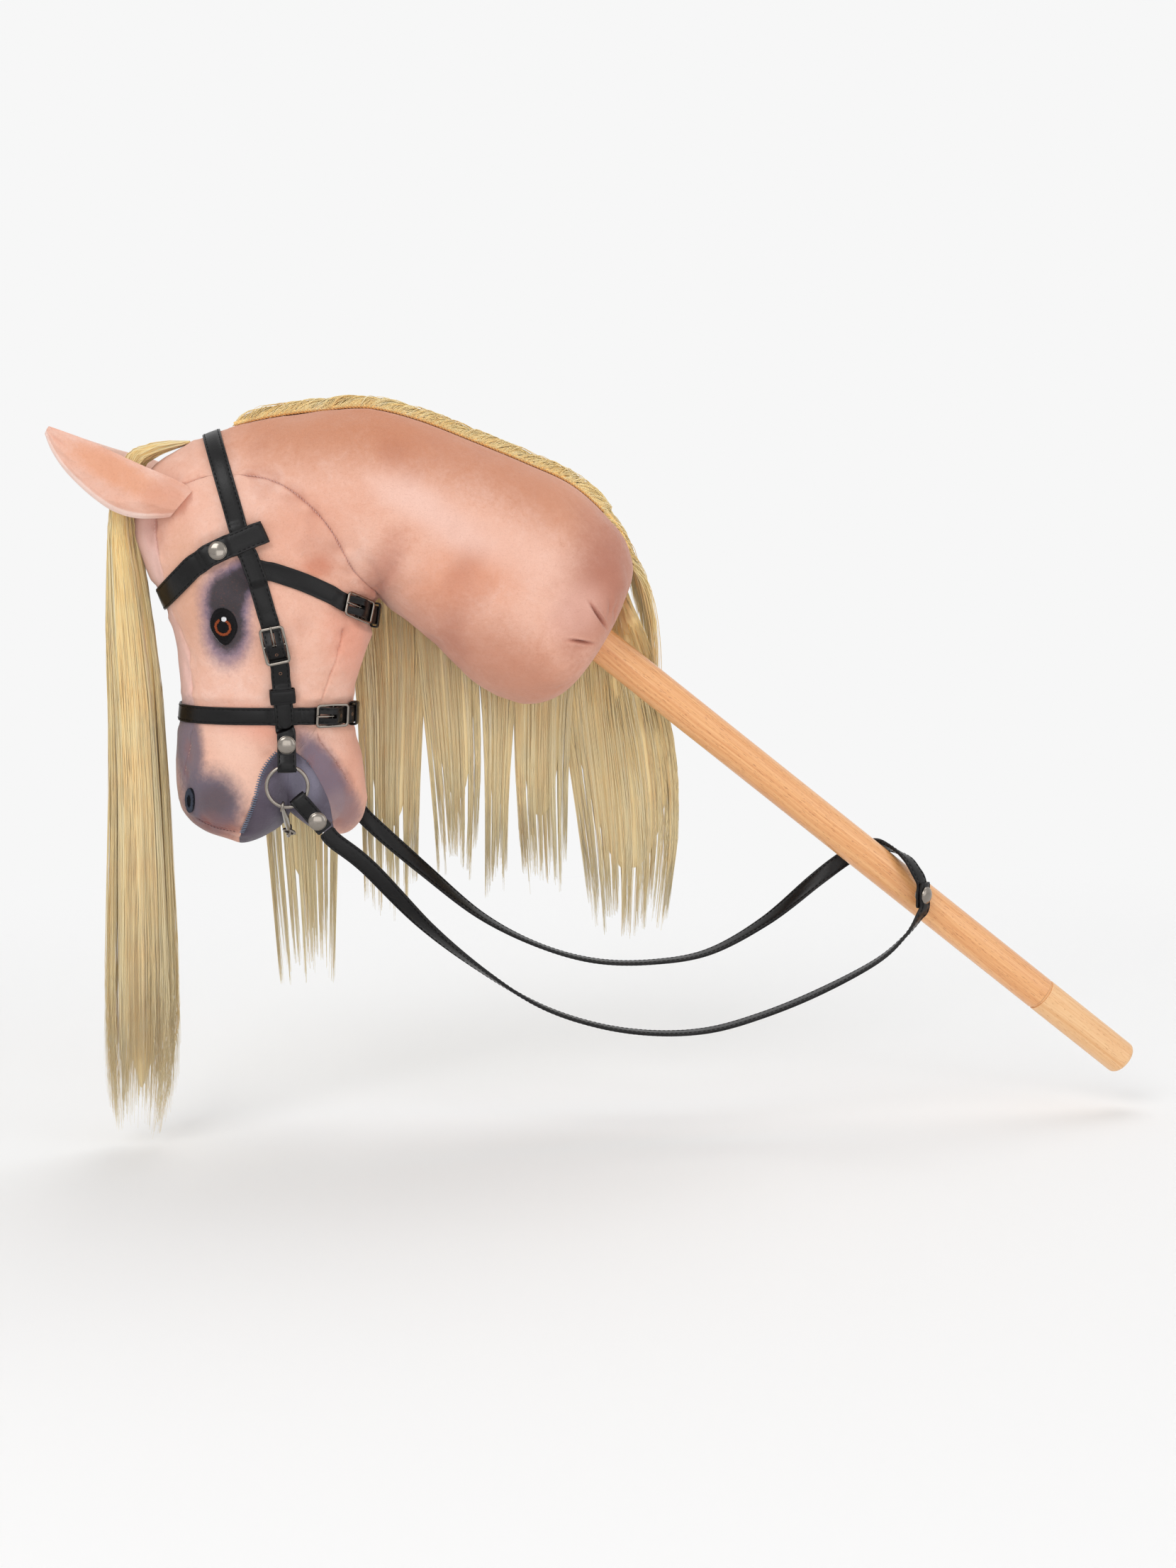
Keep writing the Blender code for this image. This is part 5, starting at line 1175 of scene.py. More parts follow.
@dataclass
class StuffedForm:
    """The stuffed head and neck's plain shape: rows of closed rings from the collar to the lips."""

    slope: float = math.radians(38.5)
    neck_exit: float = 79.0
    collar_radius: float = 14.45
    bore_radius: float = 12.85
    sleeve: float = 107.0
    mouth_fold: Pair = (-274.8, -18.0)
    fold_height: float = 34.0
    fold_width: float = 8.0
    fold_share: float = 0.30

    def grid(self, per_span: int, columns: int, cap_rows: int) -> Array:
        """Rings of the body.

        Between crest and throat a point's share is (1 - cos) / 2 and its half width is w sin, both to the
        power 2 / squareness. The cap carries the last ring to the lips' edge by sine while it narrows by
        cosine. The mouth's fold narrows the ring by a bell curve along x.

        Args:
            per_span: Rings between two given sections.
            columns: Points round each ring.
            cap_rows: Rings of the cap.

        Returns:
            Points of rows, columns and x, y, z.
        """
        axis, up = self.axes()
        middle = -self.neck_exit * axis
        top, low = middle + self.collar_radius * up, middle - self.collar_radius * up
        first = (top[0], top[2], low[0], low[2], self.collar_radius, 2.0)
        sections = catmull_rom((first, *BODY_SECTIONS), per_span)
        crest, under, width = sections[:, 0:2], sections[:, 2:4], sections[:, 4]
        angle = turns(columns)
        cosine, sine = np.cos(angle), np.sin(angle)
        power = 2.0 / sections[:, 5:6]
        share = (1 - powered(cosine, power)) / 2
        swell = powered(sine, power)
        flat = crest[:, None] * (1 - share[..., None]) + under[:, None] * share[..., None]
        y = -width[:, None] * swell
        edge = catmull_rom(LIP_EDGE, 6)
        x_end = LIP_EDGE[0][0] * (1 - share[-1]) + LIP_EDGE[-1][0] * share[-1]
        lips = np.stack([x_end, np.interp(x_end, edge[:, 0], edge[:, 1])], axis=1)
        turn = (np.arange(cap_rows) + 1) / cap_rows * math.pi / 2
        left = np.cos(turn) ** power[-1]
        left[-1] = 0.0
        cap = flat[-1][None] + np.sin(turn)[:, None, None] * (lips - flat[-1])[None]
        flat = np.concatenate([flat, cap])
        y = np.concatenate([y, -width[-1] * swell[-1][None] * left[:, None]])
        fold = smooth_step((self.mouth_fold[1] - flat[..., 1]) / self.fold_height)
        fold = fold * bell((flat[..., 0] - self.mouth_fold[0]) / self.fold_width)
        return np.stack([flat[..., 0], y * (1 - self.fold_share * fold), flat[..., 1]], axis=-1)

    def axes(self) -> tuple[Array, Array]:
        """The stick's direction down from the neck, and up square to it."""
        c, s = math.cos(self.slope), math.sin(self.slope)
        return np.array([c, 0.0, -s]), np.array([s, 0.0, c])

    def collar_sleeve(self, columns: int) -> Array:
        """Rings inside the collar, from the end of the stick's bore to its hem, which is a half round.

        Args:
            columns: Points round each ring.

        Returns:
            Points of rows, columns and x, y, z.
        """
        axis, up = self.axes()
        hem = (self.collar_radius - self.bore_radius) / 2
        turn = np.linspace(math.pi, 0.0, 8)[:-1]
        deep = np.linspace(-self.sleeve, -4.0, 14)
        along = np.concatenate([deep, hem * np.sin(turn)]) - self.neck_exit
        radius = np.concatenate(
            [np.full(len(deep), self.bore_radius), self.bore_radius + hem * (1 + np.cos(turn))],
        )
        angle = turns(columns)
        round_it = np.cos(angle)[:, None] * up - np.sin(angle)[:, None] * ASIDE
        return along[:, None, None] * axis + radius[:, None, None] * round_it[None]


class Skin:
    """The plain form as a surface that rays find."""

    far = 300.0

    def __init__(self, form: StuffedForm) -> None:
        """Builds the surface on which the bridle was laid.

        Args:
            form: The plain form.
        """
        grid = form.grid(6, 96, 16)
        mesher = Mesher().grid(grid, around=True, caps=(0,))
        faces = [row for block in mesher.faces for row in block.tolist()]
        self.tree = BVHTree.FromPolygons(np.concatenate(mesher.points).tolist(), faces)

    def hit(self, origin: Array, direction: Array) -> tuple[Array, Array]:
        """Where a ray meets the skin, and the normal there, against the ray.

        Args:
            origin: Where the ray starts.
            direction: Where it goes.

        Returns:
            The place and the normal.
        """
        direction = unit(direction)
        place, normal, _, _ = self.tree.ray_cast(Vector(origin), Vector(direction))
        normal = np.array(normal)
        return np.array(place), normal if np.dot(normal, direction) < 0 else -normal

    def from_inside(self, centre: Array, towards: Array, angle: float) -> tuple[Array, Array]:
        """The skin seen from a point of the centre plane, at an angle from a side-view direction to the left.

        Args:
            centre: The point, x, z.
            towards: The side-view direction.
            angle: Radians from it to the left.

        Returns:
            The place and the outward normal.
        """
        way = math.cos(angle) * unit(side_view(towards)) + math.sin(angle) * -ASIDE
        place, normal = self.hit(side_view(centre), way)
        return place, -normal

    def left_of(self, points: Array) -> tuple[Array, Array]:
        """The left skin and its normals under side-view points.

        Args:
            points: The points, x, z.

        Returns:
            Places and normals.
        """
        found = [self.hit(side_view(p, -self.far), ASIDE) for p in points]
        return np.array([f[0] for f in found]), np.array([f[1] for f in found])

    def half_width(self, x: float, z: float) -> float | None:
        """The skin's half width at a side-view point, or None past the outline.

        Args:
            x: The point's x.
            z: The point's z.

        Returns:
            Half the width there.
        """
        place, _, _, _ = self.tree.ray_cast(Vector((x, self.far, z)), Vector((0.0, -1.0, 0.0)))
        return None if place is None else abs(place.y)


@dataclass
class Seam:
    """A seam on the left skin: its line, and the skin's normals along it."""

    places: Array
    normals: Array

    @classmethod
    def under(cls, skin: Skin, points: Array, step: float = 1.0) -> "Seam":
        """The seam under a smooth line of the side view.

        Args:
            skin: The skin.
            points: Points x, z that the line runs through.
            step: Spacing of the seam's places.

        Returns:
            The seam.
        """
        line = respaced(np.array([side_view(p) for p in catmull_rom(points, 6)]), step)
        places, normals = skin.left_of(line[:, [0, 2]])
        return cls(evened(places, 5), unit(evened(normals, 7)))

    def stitches(self, pitch: float, length: float, size: float, turn: float, depth: float, flip: float = 1.0,
                 height: float = 1.0, start: float = 0.0) -> list[Array]:
        """Frames of stitches on both sides of the toy.

        Args:
            pitch: Distance from stitch to stitch.
            length: Length of a stitch.
            size: Thickness of the thread.
            turn: Degrees between a stitch and the seam.
            depth: How far the stitches lie under the plain skin.
            flip: -1 leans them the other way.
            height: Height of a stitch, as a share of its thickness.
            start: Length without stitches at the start.

        Returns:
            Rows of place, half length, half height and half width for the left, and for the right.
        """
        s = lengths_along(self.places)
        marks = np.arange(start + pitch / 2, s[-1] - pitch / 2, pitch)
        way = unit(np.gradient(self.places, s, axis=0))
        place, along, out = (looked_up(marks, s, v) for v in (self.places, way, self.normals))
        across = np.cross(along, out) * flip
        wobble = np.radians(turn) + 0.12 * np.sin(marks * 2.1)
        lead = np.cos(wobble)[:, None] * along + np.sin(wobble)[:, None] * across
        sides = lead * length / 2, out * size * height / 2, np.cross(lead, out) * size / 2
        rows = np.stack([place - out * depth, *sides], axis=1)
        return [rows, mirrored(rows)]


def values_of(
    rows: bpy.types.bpy_prop_collection, name: str, width: int = 1, kind: type = np.float32,
) -> Array:
    """One property of all rows of a mesh's part, as an array.

    Args:
        rows: The mesh's vertices, edges, loops or polygons.
        name: The property's name.
        width: How many numbers it has.
        kind: The numbers' type.

    Returns:
        The numbers, in rows if the width is more than 1.
    """
    flat = np.empty(len(rows) * width, kind)
    rows.foreach_get(name, flat)
    flat = flat.astype(float) if kind is np.float32 else flat
    return flat.reshape(-1, width) if width > 1 else flat


def cut(mesh: bpy.types.Mesh, cutter: bpy.types.Mesh, operation: str) -> bpy.types.Mesh:
    """A closed mesh cut by another, which is used up. Faces of the cut get material number 1.

    Args:
        mesh: The mesh that is cut.
        cutter: The cutter.
        operation: INTERSECT or DIFFERENCE.

    Returns:
        A new mesh.
    """
    for one in (mesh, cutter):
        while len(one.materials) < 2:
            one.materials.append(None)
    cutter.polygons.foreach_set("material_index", np.ones(len(cutter.polygons), np.int32))
    pair = [in_scene(one.name, one) for one in (mesh, cutter)]
    step = pair[0].modifiers.new("cut", "BOOLEAN")
    step.operation, step.object, step.solver = operation, pair[1], "MANIFOLD"
    bpy.context.view_layer.update()
    made = bpy.data.meshes.new_from_object(pair[0].evaluated_get(bpy.context.evaluated_depsgraph_get()))
    for one in pair:
        bpy.data.objects.remove(one)
    bpy.data.meshes.remove(cutter)
    return made


@dataclass
class StuffedBody:
    """The sewn neck, head, jaw and lips, cut from one stuffed form along their seams."""

    form: StuffedForm
    skin: Skin
    pressed: list[tuple[Array, float]]  # lines of what lies on the plush, and how far to each side it presses
    per_span: int = 12
    columns: int = 208
    cap_rows: int = 36
    seam_gap: float = 0.10
    seam_round: float = 2.4
    seam_depth: float = 1.5
    seam_valley: float = 0.9
    pressed_height: float = 0.25
    plump: float = 0.9
    outside: float = 130.0
    pleats: int = 13
    pleat_depth: float = 0.9
    pleat_reach: float = 17.0
    # A fold this far below the pressed height gets its full painted shade
    crease_depth: float = 3.4  # depth at which a fold has its full colour
    creases: tuple[tuple[tuple[Pair, ...], float, float], ...] = (
        (((-214.0, 84.0), (-208.0, 95.0), (-201.0, 107.0)), 1.6, 3.0),
        (((-211.0, 86.0), (-216.0, 99.0), (-223.0, 108.0)), 0.9, 3.5),
        (((-206.0, 80.0), (-193.0, 88.0), (-183.0, 92.0)), 0.8, 3.5),
        (((-74.1, 79.6), (-68.1, 70.5), (-57.5, 55.5)), 3.6, 1.0),
        (((-89.7, 51.1), (-79.8, 50.1), (-64.0, 47.0)), 3.6, 1.0),
        (((-60.3, 83.0), (-57.8, 74.8), (-58.6, 66.1)), 1.5, 1.6),
        (((-53.4, 80.2), (-53.9, 71.9), (-55.5, 66.0)), 1.2, 1.6),
        (((-96.4, 25.4), (-89.5, 27.2), (-82.7, 31.6)), 1.0, 1.8),
        (((-300.0, 184.0), (-296.0, 190.0), (-298.0, 195.0)), 0.6, 1.8),
    )

    def __post_init__(self) -> None:
        """Finds the seams on the skin."""
        self.cheek = Seam.under(self.skin, CHEEK_SEAM[1:])
        self.front = Seam.under(self.skin, FRONT_SEAM)
        self.nose = Seam.under(self.skin, NOSE_SEAM)
        self.chin = Seam.under(self.skin, CHIN_SEAM)
        self.upper = Seam.under(self.skin, (MOUTH_CORNER, *UPPER_LIP_SEAM, (-307.6, -80.0)))
        self.lower = Seam.under(self.skin, (MOUTH_CORNER, *LOWER_LIP_SEAM))
        self.wrinkles = [
            (Seam.under(self.skin, line).places, depth, width) for line, depth, width in self.creases
        ]

    def regions(self) -> dict[str, Array]:
        """Outlines of the side view that part the body.

        Returns:
            Closed outlines, x, z, by name.
        """
        left, right, top, floor = -420.0, 40.0, 260.0, -130.0
        cheek = catmull_rom(CHEEK_SEAM, 6).tolist()
        upper = catmull_rom((MOUTH_CORNER, *UPPER_LIP_SEAM), 6).tolist()
        lower = catmull_rom((MOUTH_CORNER, *LOWER_LIP_SEAM), 6).tolist()
        throat = [[-208.6, 74.0], [-206.5, 62.0], [-206.5, floor]]
        split = [[-206.5, 2.0], *map(list, JAW_SPLIT[::-1])]
        nose, chin = [[-309.0, -84.0], [-309.0, floor]], [[-243.5, -84.0], [-243.5, floor]]
        fold = [[self.form.mouth_fold[0], floor]]
        return {
            "neck": [[left, 150.0], *cheek, *throat, [right, floor], [right, top], [left, top]],
            "head": [[left, 150.0], *cheek, *throat[:2], *split, *lower[6:7], *upper, *nose, [left, floor]],
            "jaw": [*split, *lower[6:], *chin, [-206.5, floor]],
            "upper_lip": [*upper, *nose, *fold],
            "lower_lip": [*lower, *chin, *fold],
        }

    def inset(self, outline: list[list[float]]) -> Array:
        """The closed outline moved inwards by half the seam gap, with mitred corners.

        Args:
            outline: The outline's corners.

        Returns:
            The moved corners.
        """
        p = np.asarray(outline, float)
        area = np.sum(p[:, 0] * np.roll(p[:, 1], -1) - np.roll(p[:, 0], -1) * p[:, 1])
        edge = unit(np.roll(p, -1, axis=0) - p)
        inward = np.sign(area) * np.stack([-edge[:, 1], edge[:, 0]], axis=1)
        mitre = unit(inward + np.roll(inward, 1, axis=0))
        stretch = 1.0 / np.maximum(np.sum(mitre * inward, axis=1), 0.35)
        return p + mitre * (self.seam_gap / 2 * stretch)[:, None]

    def part(self, whole: bpy.types.Mesh, outline: Array) -> bpy.types.Mesh:
        """The body within an outline that is carried from side to side.

        Args:
            whole: The body's mesh.
            outline: The closed outline, x, z.

        Returns:
            A new mesh.
        """
        walls = np.stack([side_view(p, y) for y in (-self.outside, self.outside) for p in outline])
        walls = Mesher().grid(walls.reshape(2, -1, 3), around=True)
        count = len(outline)
        ends = np.array([np.arange(count), np.arange(count, 2 * count)])
        walls.faces.append(ends)
        return cut(whole, as_mesh("region", walls), "INTERSECT")

    def seams(self) -> list[Array]:
        """Lines of all seams on both sides."""
        left = [s.places for s in (self.cheek, self.front, self.nose, self.chin, self.upper, self.lower)]
        return left + [mirrored(line) for line in left]

    def relief(self, p: Array) -> Array:
        """Height of the sewn plush over the plain form, in millimetres.

        It is stuffing's low waves, less a quarter-round groove and a wide valley at each seam, less creases
        and the collar's pleats; where something lies on it, it is pressed to one low height.

        Args:
            p: Places on the plain form.

        Returns:
            One height a place.
        """
        seam = distance_to(p, self.seams())
        waves = lumps(p, 90.0, 3) * 0.9 + lumps(p, 30.0, 5) * 0.3 + lumps(p, 12.0, 8) * 0.07
        share = np.clip(1 - seam / self.seam_round, 0.0, 1.0)
        height = self.plump + waves
        height -= self.seam_depth * (1 - np.sqrt(1 - share**2))
        pucker = 1 + 0.45 * lumps(p, 11.0, 7)
        height -= self.seam_valley * bell(seam / 8.0) * pucker
        for line, depth, width in self.wrinkles:
            far = distance_to(p, [line, mirrored(line)])
            folded = np.stack([p[..., 0], -np.abs(p[..., 1]), p[..., 2]], axis=-1)
            ends = [np.linalg.norm(folded - end, axis=-1) for end in (line[0], line[-1])]
            deep = depth * smooth_step(ends[0] / 15.0 + 0.1) * smooth_step(ends[1] / 8.0 + 0.2)
            height -= deep * (bell(far / width) - 0.3 * bell((far - 2.2 * width) / width))
        return self.pleated(p, height)

    def pleated(self, p: Array, height: Array) -> Array:
        """The height with the collar's pleats, which fade up the neck, and with what presses on it.

        Args:
            p: Places on the plain form.
            height: The height there.

        Returns:
            The new height.
        """
        axis, up = self.form.axes()
        run = -self.form.neck_exit - p @ axis
        turn = np.arctan2(p[..., 1], p @ up)
        fade = bell(run / self.pleat_reach) * smooth_step(run / 3.0)
        fold = (0.5 + 0.5 * np.cos(self.pleats * turn + 1.8 * lumps(p, 60.0, 12))) ** 3
        height = height * smooth_step(run / 14.0) - self.pleat_depth * fade * (fold - 0.15)
        clear = np.full(p.shape[:-1], np.inf)
        for line, half in self.pressed:
            clear = np.minimum(clear, distance_to(p, [line]) - half)
        free = smooth_step((clear - 1.6) / 5.0)
        rim = 0.45 * bell((clear - 7.0) / 3.5)
        return self.pressed_height * (1 - free) + (height + rim) * free

    def sewn(self, mesh: bpy.types.Mesh) -> None:
        """Refines a part near its seams and moves its skin by the relief along its normals.

        Args:
            mesh: The part.
        """
        self.refine(mesh, 5.0, 2)
        p = self.points(mesh)
        corner, total = (
            values_of(rows, name, kind=np.int32)
            for rows, name in ((mesh.loops, "vertex_index"), (mesh.polygons, "loop_total"))
        )
        skin = values_of(mesh.polygons, "material_index", kind=np.int32) == 0
        area = values_of(mesh.polygons, "area") * skin
        weight = values_of(mesh.polygons, "normal", 3) * area[:, None]
        summed = np.zeros_like(p)
        np.add.at(summed, corner, np.repeat(weight, total, axis=0))
        axis, up = self.form.axes()
        away = np.hypot(p[:, 1], p @ up)
        inside = (-self.form.neck_exit - p @ axis > 0.0) & (away < self.form.bore_radius + 0.5)
        relief = self.relief(p)
        moved = p + unit(summed) * (relief * ~inside)[:, None]
        mesh.vertices.foreach_set("co", (moved * MM).astype(np.float32).ravel())
        # The crease mark for the plush's painted shade: how far a place sinks below the pressed height
        crease = np.clip((self.pressed_height - relief) / self.crease_depth, 0.0, 1.0)
        for name, values in (("gusset", self.gusset(p)), ("crease", crease)):
            mesh.attributes.new(name, "FLOAT", "POINT").data.foreach_set("value", values.astype(np.float32))
        mesh.polygons.foreach_set("material_index", np.zeros(len(skin), np.int32))
        mesh.update()

    def gusset(self, p: Array) -> Array:
        """1 on the strip down the face between the front seams, and 0 outside them.

        Args:
            p: Places.

        Returns:
            One number a place.
        """
        line = self.front.places[np.argsort(self.front.places[:, 2])]
        x = np.interp(p[:, 2], line[:, 2], line[:, 0])
        inner = smooth_step((x - p[:, 0]) / 0.8 + 0.5)
        return inner * smooth_step((p[:, 2] + 50.0) / 6.0) * smooth_step((146.0 - p[:, 2]) / 6.0)

    def points(self, mesh: bpy.types.Mesh) -> Array:
        """The mesh's vertices in millimetres."""
        return values_of(mesh.vertices, "co", 3) / MM

    def refine(self, mesh: bpy.types.Mesh, reach: float, cuts: int) -> None:
        """Divides the edges that lie within reach of a seam or a fold.

        Args:
            mesh: The part.
            reach: How near an edge has to be.
            cuts: How many cuts an edge gets.
        """
        folds = [
            turned for line, depth, _ in self.wrinkles if depth > 1.0 for turned in (line, mirrored(line))
        ]
        near = distance_to(self.points(mesh), self.seams() + folds) < reach
        ends = values_of(mesh.edges, "vertices", 2, np.int32)
        p = self.points(mesh)
        short = np.linalg.norm(p[ends[:, 0]] - p[ends[:, 1]], axis=1) < 6.0
        chosen = np.flatnonzero(near[ends].all(axis=1) & short)
        work = bmesh.new()
        work.from_mesh(mesh)
        work.edges.ensure_lookup_table()
        bmesh.ops.subdivide_edges(work, edges=[work.edges[i] for i in chosen], cuts=cuts, use_grid_fill=True)
        work.to_mesh(mesh)
        work.free()

    def add(self, plush: bpy.types.Material, lining: bpy.types.Material) -> None:
        """The five stuffed pieces.

        Args:
            plush: Finish of the neck, head and jaw.
            lining: Finish of the lips.
        """
        body = self.form.grid(self.per_span, self.columns, self.cap_rows)
        grid = np.concatenate([self.form.collar_sleeve(self.columns), body])
        mesher = Mesher().grid(grid, around=True, caps=(0,))
        whole = as_mesh("stuffed", mesher, 0.01)
        for name, outline in self.regions().items():
            part = self.part(whole, self.inset(outline))
            self.sewn(part)
            finish, slot = (lining, "lining") if "lip" in name else (plush, "plush")
            finished(f"{name}_plush", part, finish, replaces=(name,))

    def add_stitches(
        self, pink: bpy.types.Material, slate: bpy.types.Material, dark: bpy.types.Material,
    ) -> None:
        """Seam stitches: fine pink ones on the cheeks and face, slate whip stitches round the mouth.

        Args:
            pink: Thread of the fine stitches.
            slate: Thread round the mouth.
            dark: Thread on the nose.
        """
        fine = self.cheek.stitches(2.3, 1.9, 0.42, 24.0, 0.95)
        fine += self.front.stitches(2.6, 1.5, 0.34, 4.0, 1.1)
        fine += self.chin.stitches(3.4, 1.2, 0.36, 4.0, 1.1)
        stitched(Mesher(), fine).piece("seam_stitches", pink)
        whip = self.upper.stitches(1.75, 3.4, 0.95, 78.0, -0.35, height=0.9, start=2.0)
        whip += self.lower.stitches(2.4, 2.0, 0.4, 62.0, 0.35, start=2.0)
        stitched(Mesher(), whip).piece("mouth_stitches", slate)
        stitched(Mesher(), self.nose.stitches(2.4, 1.6, 0.4, 4.0, 1.0)).piece("nose_stitches", dark)


# Straps


@dataclass
class StrapForm:
    """A flat strap along a line: its middle, its directions at each station, and its section."""

    middle: Array
    along: Array
    out: Array
    width: float
    thickness: float
    slotted: Array | None = None  # marks the stretches with a slot for a prong or a post
    base: Array | None = None  # station of each row on the path below
    pointed: tuple[float, ...] = (1.2, 1.2)  # length over which each end narrows
    crown: float = 0.14
    groove: float = 0.16
    seam_from_edge: float = 1.5
    slot_width: float = 2.7
    bend_steps: int = 4

    def __post_init__(self) -> None:
        """The direction across is along times out."""
        self.across = np.cross(self.along, self.out)
        self.station = lengths_along(self.middle)

    @property
    def section(self) -> Array:
        """Points (across, out) round the strap: round edges, and both faces crowned and grooved at the seams.

        Returns:
            The points.
        """
        w, h = self.width / 2, self.thickness / 2
        r = min(0.42, h * 0.8)
        seam = w - self.seam_from_edge
        # The lining's fold colour is its painted shade in seams and creases
        bend = np.radians(np.linspace(0.0, 90.0, self.bend_steps))
        edge = np.stack([w - r + r * np.cos(bend), h - r + r * np.sin(bend)], axis=1)
        face = np.array([
            (seam + 0.45, h), (seam, h - self.groove), (seam - 0.45, h + self.crown * 0.4),
            (self.slot_width / 2, h + self.crown),
        ])
        quarter = np.vstack([edge, face])
        return np.vstack([
            quarter, quarter[::-1] * [-1.0, 1.0], quarter * [-1.0, -1.0], quarter[::-1] * [1.0, -1.0],
        ])

    def narrowing(self) -> Array:
        """The width's share at each station: near an end it falls as a quarter of an ellipse.

        Returns:
            One share a station.
        """
        share = np.ones(len(self.station))
        for reach, away in zip(self.pointed, (self.station, self.station[-1] - self.station)):
            t = np.clip(1 - away / max(reach, 1e-6), 0.0, 1.0)
            least = 0.2 if reach > 2 else 0.86
            share = np.minimum(share, least + (1 - least) * np.sqrt(1 - t**2))
        return share

    def surface(self) -> tuple[Array, Array]:
        """The strap's points, section carried along the line, and texture places: along and across in metres.

        Returns:
            The points of rows and columns, and the texture places.
        """
        section = self.section
        flat = section[None, :, :1] * self.narrowing()[:, None, None]
        points = self.middle[:, None] + flat * self.across[:, None] + section[None, :, 1:] * self.out[:, None]
        around = np.vstack([section, section[:1]])
        uv = np.zeros((len(points) + 1, len(around), 2))
        uv[:-1, :, 0] = self.station[:, None] * MM
        uv[:, :, 1] = around[None, :, 0] * MM
        return points, uv

    def add_to(self, mesher: Mesher) -> Mesher:
        """Adds the strap, with walls round its slots.

        Args:
            mesher: Where it goes.

        Returns:
            The mesher.
        """
        points, uv = self.surface()
        rows, columns = points.shape[:2]
        quarter = columns // 4
        top, low = quarter - 1, 3 * quarter - 1
        skip = np.zeros((rows - 1, columns), bool)
        if self.slotted is not None:
            skip[:, top] = skip[:, low] = self.slotted
        first = mesher.count
        mesher.grid(points, around=True, caps=BOTH, uv=uv, skip=skip)
        if self.slotted is None or not self.slotted.any():
            return mesher
        open_rows = np.flatnonzero(self.slotted)
        walls = []
        for a, b in ((top, low + 1), (top + 1, low)):
            here, there = first + open_rows * columns, first + (open_rows + 1) * columns
            walls.append(np.stack([here + a, there + a, there + b, here + b], axis=1))
        edge = np.diff(np.concatenate([[0], self.slotted.astype(int), [0]]))
        for row in np.flatnonzero(edge):
            start = first + row * columns
            walls.append(np.array([[start + top, start + top + 1, start + low, start + low + 1]]))
        walls = np.concatenate(walls)
        mesher.faces.append(walls)
        mesher.uvs.append(np.zeros((walls.size, 2)))
        return mesher

    def stitches(self, pitch: float = 3.4, length: float = 2.3, size: float = 0.72,
                 faces: tuple[int, ...] = (1,), ends: float = 2.5) -> list[Array]:
        """Frames of the stitches beside both edges.

        Args:
            pitch: Distance from stitch to stitch.
            length: Length of a stitch.
            size: Thickness of the thread.
            faces: 1 for the outer face and -1 for the inner one.
            ends: Length without stitches at both ends.

        Returns:
            One array of copies, 4 vectors (place, half length, half height, half width) and xyz a row.
        """
        marks = np.arange(ends, self.station[-1] - ends, pitch)
        bend = np.linalg.norm(np.gradient(self.along, self.station, axis=0), axis=1)
        marks = marks[np.interp(marks, self.station, bend) < 0.16]
        frames = (self.middle, self.along, self.out, self.across)
        place, along, out, across = (looked_up(marks, self.station, v) for v in frames)
        rows = []
        for face in faces:
            for edge in (-1, 1):
                side = across * edge * (self.width / 2 - self.seam_from_edge)
                start = place + side + out * face * (self.thickness / 2 - self.groove + size * 0.2)
                rows.append(np.stack([start, along * length / 2, out * size / 2, across * size / 2], axis=1))
        return rows

    def reversed_side(self) -> "StrapForm":
        """The same strap on the right side of the toy.

        Returns:
            The mirrored strap.
        """
        middle, along, out = mirrored(self.middle), mirrored(self.along), mirrored(self.out)
        return replace(self, middle=middle, along=along, out=out)

    def cross_row(self, row: int, size: float = 0.56) -> Array:
        """Stitches across the outer face at a row.

        Args:
            row: The row.
            size: Thickness of the thread.

        Returns:
            The stitches' frames.
        """
        offsets = np.arange(-self.width / 2 + 2.6, self.width / 2 - 2.0, 2.9)[:, None]
        along, out, across = self.along[row], self.out[row], self.across[row]
        place = self.middle[row] + across * offsets + out * (self.thickness / 2 + size * 0.1)
        spread = np.broadcast_to(
            np.stack([across * 1.15, out * size / 2, along * size / 2]), (len(offsets), 3, 3),
        )
        return np.concatenate([place[:, None], spread], axis=1)

    def row_at(self, station: float, nearest: bool = True) -> int:
        """The row over a station of the path: the nearest one, or the first one past it."""
        away = self.base - station
        return int(np.abs(away).argmin() if nearest else np.flatnonzero(away >= 0)[0])


def stitched(mesher: Mesher, rows: list[Array]) -> Mesher:
    """Adds one small spindle of thread for each frame: circles of 5 points that shrink to both ends.

    Args:
        mesher: Where they go.
        rows: Arrays of copies, 4 vectors (place, half length, half height, half width) and xyz.

    Returns:
        The mesher.
    """
    frames = np.concatenate([r for r in rows if len(r)])
    sides, along = 5, np.array([-1.0, -0.75, 0.0, 0.75, 1.0])
    radius = np.array([0.3, 0.8, 1.0, 0.8, 0.3])
    angle = turns(sides)
    wide, high = radius[:, None] * np.cos(angle), radius[:, None] * np.sin(angle)
    local = np.stack(np.broadcast_arrays(along[:, None], high, wide), axis=-1)
    return mesher.rods(frames[:, None, :1] + np.einsum("rsk,nkx->nrsx", local, frames[:, 1:]))


class Path:
    """A line with a frame at each station: its place, and the directions along, outwards and across."""

    def frame(self, s: Array | float) -> tuple[Array, Array, Array, Array]:
        """The frames at the stations s, which each kind of path works out."""
        raise NotImplementedError

    def frame_at(self, s: float) -> tuple[Array, ...]:
        """The frame at one station."""
        return tuple(v[0] for v in self.frame(s))

    def at(self, s: float, height: float) -> Array:
        """One point over the line."""
        place, _, out, _ = self.frame_at(s)
        return place + out * height


